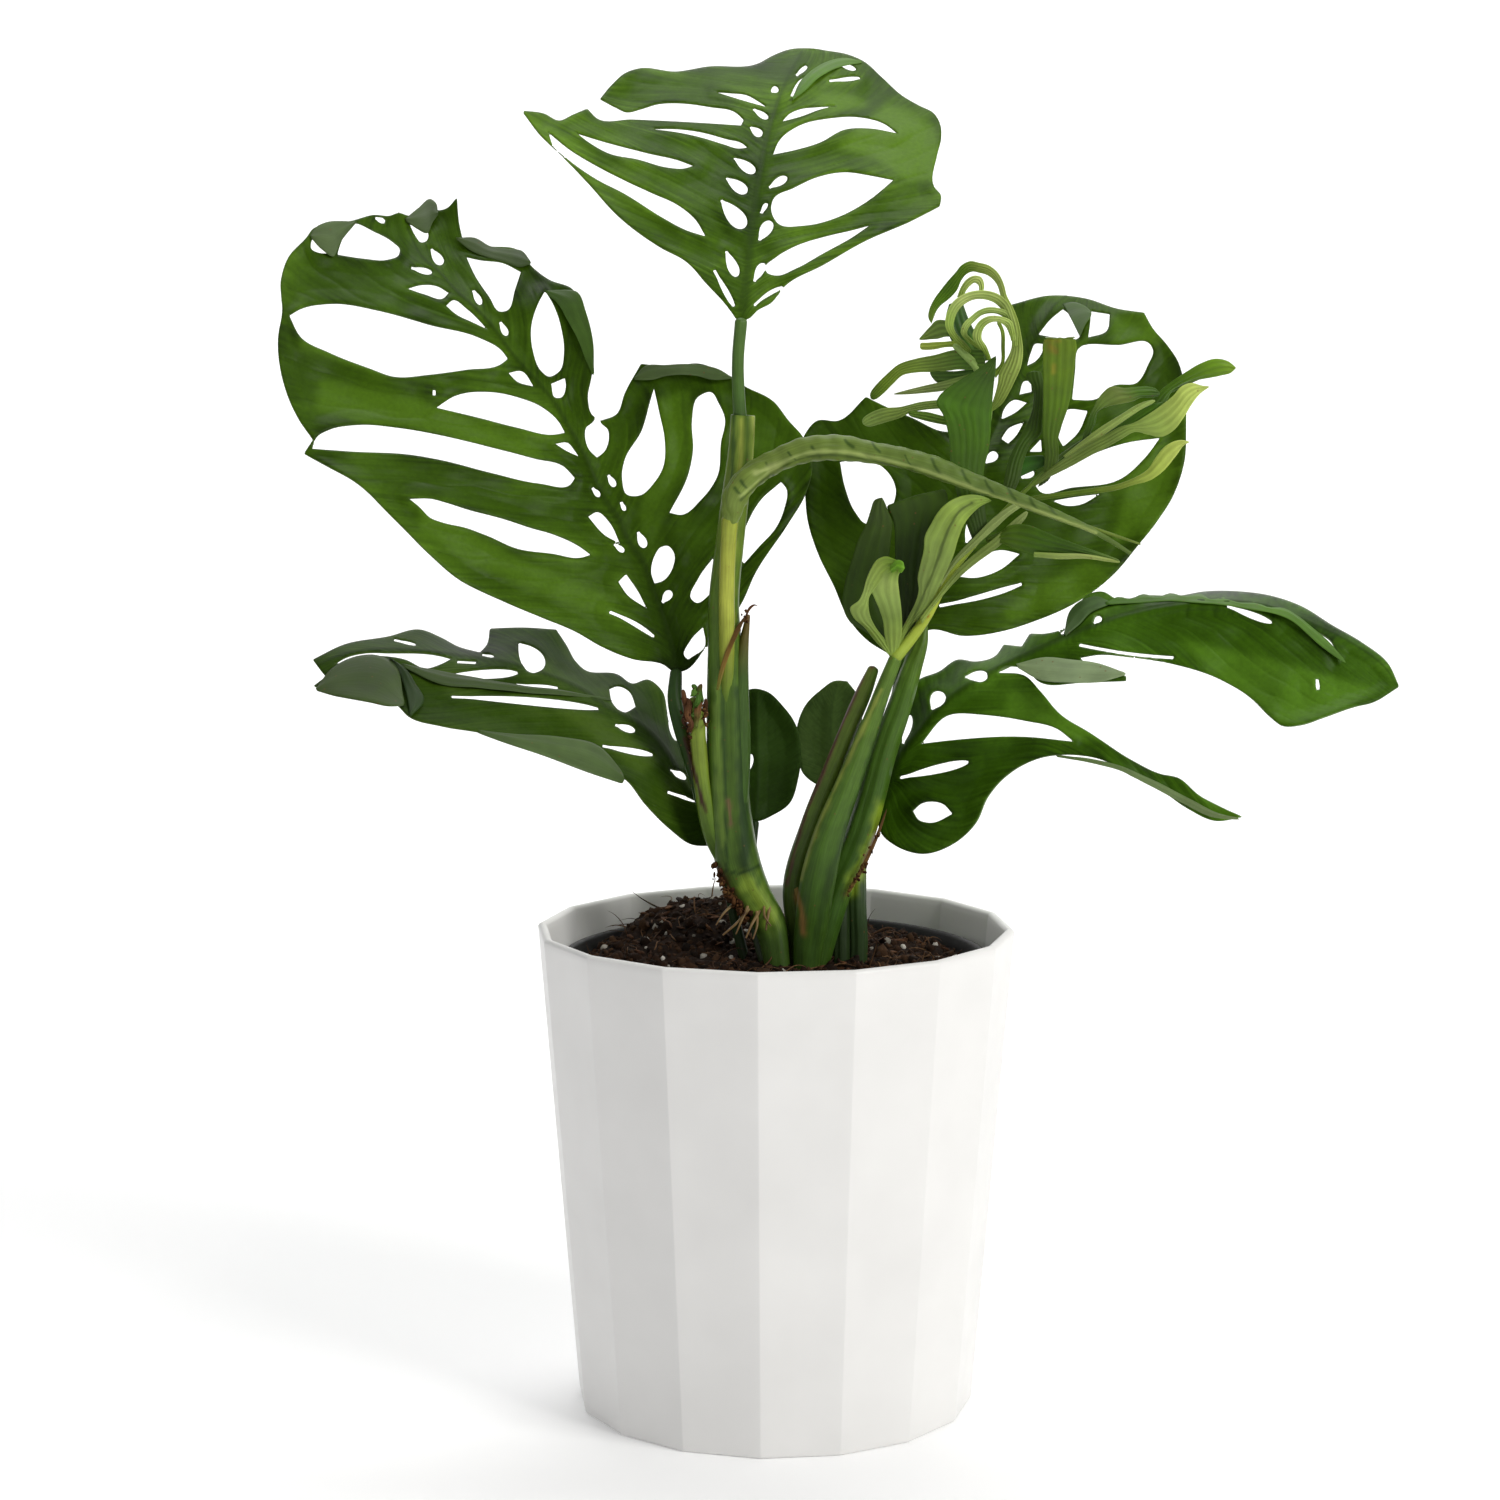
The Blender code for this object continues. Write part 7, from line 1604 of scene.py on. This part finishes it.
# %% Outer and inner edges of the ribbons, with their colours from stalk to tip
CURLY_RIB = """976,458,20,1.5 984,435,21,1.5 988,410,22,1.6 984,385,23,1.7 976,366,22,1.6 964,354,20,1.3
    955,346,18,1"""
RINGLETS = [
    # The right arm, over the top and down to the left, with a thin strand beside it.
    ("""992.7,411,20 1000.8,405,18 1008.8,393,16 1014.8,381,15 1020.9,366.6,14 1022.9,350.5,14
     1020.9,334.4,14 1017.8,320.3,15 1012,306,17 1006.5,295,18 1004.5,286,18.5 997.7,272.1,20
     988.7,265.1,21 978.6,262.5,22 970.6,261,23 961.6,265.1,24 955,273,25.5 948.5,280.2,27 940.5,290.2,28
     933.4,300.3,28.6 929,310.3,29 928,318.3,29 930.4,323.4,29""",
     """990,409,21 994.7,395,20 997.7,383,19 999,373,18.6 1004.8,362.6,18 1010.8,350.5,17.6 1012,338,17.6
     1008.8,324,18 1004,308,19.6 1001,298,20.6 998.7,288.2,21.6 992.7,279,22.6 986,274.5,23.4
     980,273,24.2 972.6,271.6,25 966.6,274.1,26 961.6,280,27 957,290.2,27.6 949,299,28.2 940,306.3,28.6
     936,312,28.9 934,318,29 932.4,324.4,29""",
     "#8da846 #9cb152 #a5bb5a #a8bc60 #a2b65a #9aae50 #a6b860 #9aae50 #597d12 #496e0c #537913 #768f36", 5),
    ("992,372,20 999.7,364.6,19 1001,346.5,17 1000,330,15 996,322,14",
     "996,378,19.6 1003.5,366,18.6 1005,347,16.6 1004,330,14.6 1000,321,13.6",
     "#6f8829 #637b1f #839d3b", 2),
    # Three rings inside each other, the nearest one smallest.
    ("""1018,346,13 1017,330,10 1013,315,8 1009,304.3,7 998.7,294.2,6 986.7,290.2,5.6 974.6,290.2,5.6
     962.6,294.2,6 952.5,302.3,7 946.5,314.3,8.4 945.5,326.4,10 950.5,336.4,12 958.5,345,15 968,354,18""",
     """1012,346,14.6 1011,331,12.4 1006,318,11 1001,309,10.4 993,302,10 984,299,10 975,299,10
     967,302.3,10.2 960,308.3,10.6 955,318.3,11.4 954,327,12.6 958,335,14 965,342,16.4 973,351,19""",
     "#9ab252 #a5b960 #98ac55 #a2b660 #aaba6a #91ab4e #81983d #6f882f", 4),
    ("""1016,340,11 1012,323,9 1008.8,312.3,8.4 998.7,308.3,8 988.7,307.3,8 978.6,310.3,8.4 970.6,316.3,9
     962.6,324.4,10 960.6,332.4,11.6 965.6,340,14 975,347,17 984,352,20""",
     """1011,340,12.6 1008,327,11 1004,318,10.6 997,314,10.4 989,313.4,10.4 981,315.5,10.6 975,320.5,11
     969,327,12 967,333,13 970.6,338,15 978,343.5,17.6 987,348,20.6""",
     "#9cb456 #8fa74b #a2b862 #91ab52 #a2b860 #859d40 #6f882f", 4),
    ("""1015,334,9 1010.8,320.3,8 1004,317,7.6 996,315.6,7.4 988.7,316,7.4 980.7,320,8 974.6,328.4,9
     972.6,336.4,10.4 976.6,344.5,13 982.7,351,16 988,362,19.6""",
     """1010,336,11 1005,326,10 1000.7,322.9,9.8 996,321.5,9.6 992,322,9.6 987,324.6,10 982.7,330.4,10.8
     981.7,338.4,12 986.4,346,14.6 989.6,354,17 993,364,20""",
     "#93ac48 #a4ba5e #aec06a #95ae50 #a2b65e #859f3c #6f8d29", 4),
    # Darker leaf seen through the rings, and the pale strand at the top.
    ("949,304,26 946,316,26 947,330,25.6 954,345,24 966,360,22",
     "962,300,26.4 966,312,26.4 972,326,26 982,342,24.4 990,362,22",
     "#456625 #395b25 #33551a #49701d #4f701d", 4),
    ("957,297,27 961,287,27 966,280,27 974.6,275.6,27 981,277,27 984,283,27 984,291,27.4",
     "963,298,27.5 966,291,27.5 970,286,27.5 975,283,27.5 978,285,27.5 979,289,27.5 978,294,27.5",
     "#7a9438 #a2b65a #b6c670 #9eb453", 3),
    # Small lobes on the left.
    ("955,326,26 944,320,27 936.4,320.3,27.6 930.4,326,28 924,333,28.6 919,338.6,29",
     "955,337,25.6 944.5,337,26.4 938,338.8,27 930.4,339.4,28 924,340,28.6 919.3,340,29",
     "#59792c #5e7631 #6b8239 #7a923c", 3),
    ("960,340,24 945,341.5,25 935,342,26 927,342.6,27 920,342.5,28",
     "958,347,24 944,347.5,25 935,349.4,26 926,350,27 920,349.6,28",
     "#809a34 #9cb042 #a8ba4e", 2),
    # The long arm to the left, and the thinner ones under it.
    ("""984,350,20 964.6,348.5,23 950.5,350.5,25 936.4,354.5,27 916.3,358.5,29 898.2,364.6,31
     886.2,374.6,32 876.1,384.7,33 868.1,394.7,34""",
     """986,368,20 970.6,370,22 958,369.6,24 950,370.6,25 933,372,27.4 916.3,372.6,29 902.3,375.6,30.4
     893,384,31.6 883,394,33 873,402,34""",
     "#4b6a1a #557728 #698233 #809a3e #7c9632 #6d8823 #496614", 5),
    ("975,368,23.5 956,371,25.5 940,371,26.5 928.4,372,27",
     "975,381,23.5 958,382.7,25.5 945,384,26.5 935,382,27",
     "#456625 #38541a #435f20", 3),
    ("982,370,22 956.5,377.6,24.6 940,382,26 925,385.4,27.4 908,389.6,28.4 893.2,393.6,29",
     "984,384,22 960,388,24.4 943,391,26 925,393,27.4 908,394.4,28.4 893.4,394.8,29",
     "#557728 #6e843f #869655 #8b9b57", 3),
    ("984,396,21 960,399,24 938,400,26 920,402,28 900.3,406.8,31 880.2,408.8,33 870,413,35 860,420,37",
     """984,405,21 960,408,24 938.4,408.8,26 924,410,28 910.3,412.8,29.6 900,418,31 890.2,420.9,33
     878,424.6,35 866,428,37""",
     "#4f7020 #698233 #7a9244 #7f9643 #8da853", 4),
    ("986,416,21 962,419,24 944,416,26 926.4,411.8,28 908.3,410.8,29.4",
     "986,426,21 962,428,24 944.5,424.9,26 926,421,28 908.3,416,29.4",
     "#496a1f #496617 #63822b", 3),
]
ringlets = [stem_shape(CURLY_RIB, "#84a450 #90ae5a #9cb866", 60, 16)]
for k, (outer, inner, tones, pleats) in enumerate(RINGLETS):
    ringlets.append(strap_shape(outer, inner, tones, 110, 22, 0.34, 0.5, pleats, 0.20, 0.06, (), 0.15,
                                200 + k, 0.20))
print(len(RINGLETS), "ribbons")
curly_finish = stem_finish("pale_unfurling_leaf", 0.50, 0.14, 0.0)
piece("curly_leaf_ribbons", joined(ringlets), curly_finish, "curly_leaf", "curly_leaf")
triangles = sum(len(face.vertices) - 2 for made in made_pieces for face in made.data.polygons)
print(len(made_pieces), "pieces,", triangles, "triangles")

# %% [markdown]
# ## Floor, light and camera
# The plant stands on a white studio sweep: a floor that curves up into a wall, so no horizon shows. A
# large soft lamp stands to the front right, a weaker one fills from the left, and a white sky evens out
# the rest. The camera stands where the front view's lines of sight meet.

# %% A white sweep
def sweep_shape():
    """A profile of floor, quarter circle and wall, carried sideways: (x, y(s), z(s))."""
    bend = np.linspace(0, math.pi / 2, 24)
    radius, back = 1.1, 2.2
    y = np.concatenate([[-14.0, -1.0, 0.0, 1.0], back + radius * np.sin(bend), [back + radius]])
    z = np.concatenate([[0.0] * 4, radius - radius * np.cos(bend), [4.5]]) - 0.00005
    x = np.linspace(-14, 14, 21)
    verts = np.stack(np.broadcast_arrays(x[None], y[:, None], z[:, None]), -1).reshape(-1, 3)
    r, c = np.meshgrid(np.arange(len(y) - 1), np.arange(len(x) - 1), indexing="ij")
    first = (r * len(x) + c).ravel()
    return verts, np.column_stack([first, first + 1, first + len(x) + 1, first + len(x)])


sweep_verts, sweep_faces = sweep_shape()
sweep_mesh = bpy.data.meshes.new("studio_sweep")
sweep_mesh.from_pydata(sweep_verts.tolist(), [], sweep_faces.tolist())
sweep_mesh.polygons.foreach_set("use_smooth", np.ones(len(sweep_mesh.polygons), bool))
sweep = bpy.data.objects.new("studio_sweep", sweep_mesh)
bpy.context.scene.collection.objects.link(sweep)
paper, paper_tree, paper_shader = new_finish("white_background_paper", Roughness=0.9, Emission_Strength=0.13)
paper_shader.inputs["Emission Color"].default_value = rgba("#ffffff")
where = add(paper_tree, "TexCoord", out="Object")
fleck = add(paper_tree, "TexNoise", {"Vector": where, "Scale": 3.0, "Detail": 2.0})
fleck = add(paper_tree, "ValToRGB", {0: fleck}, [(0.3, "#f6f6f6"), (0.7, "#f9f9f9")])
wire(paper_tree, paper_shader, Base_Color=fleck)
sweep_mesh.materials.append(paper)


# %% Lamps and sky
def soft_lamp(name, place, aim, width, power, colour="#ffffff"):
    """A square area lamp at a place, turned to face its aim."""
    light = bpy.data.lights.new(name, "AREA")
    light.size, light.energy, light.color = width, power, linear(colour)
    made = bpy.data.objects.new(name, light)
    made.location = place
    made.rotation_euler = (Vector(aim) - Vector(place)).to_track_quat("-Z", "Y").to_euler()
    bpy.context.scene.collection.objects.link(made)


soft_lamp("key_front_right", (1.6, -1.3, 1.45), (0.0, 0.0, 0.25), 1.0, 35.0, "#fffefb")
soft_lamp("fill_left", (-1.9, -1.2, 1.0), (0.0, 0.0, 0.2), 1.6, 2.5, "#f6f9ff")
soft_lamp("background_wash", (0.0, 1.2, 3.2), (0.0, 3.3, 0.9), 1.8, 75.0)
world = bpy.data.worlds.new("white_sky")
world.use_nodes = True
world.node_tree.nodes["Background"].inputs["Color"].default_value = rgba("#ffffff")
world.node_tree.nodes["Background"].inputs["Strength"].default_value = 0.36
bpy.context.scene.world = world
bpy.context.scene.view_settings.view_transform = "Standard"

# %% Camera on the front view's eye
SENSOR_MM = 36.0
camera_data = bpy.data.cameras.new("front_view")
camera_data.sensor_width = SENSOR_MM
camera_data.lens = SENSOR_MM * FRAME_REACH / FRAME_SIZE
camera_data.clip_start, camera_data.clip_end = 0.05, 50.0
camera = bpy.data.objects.new("front_view", camera_data)
camera.location = EYE
camera.rotation_euler = (math.pi / 2 - EYE_DOWN, 0.0, 0.0)
bpy.context.scene.collection.objects.link(camera)
bpy.context.scene.camera = camera
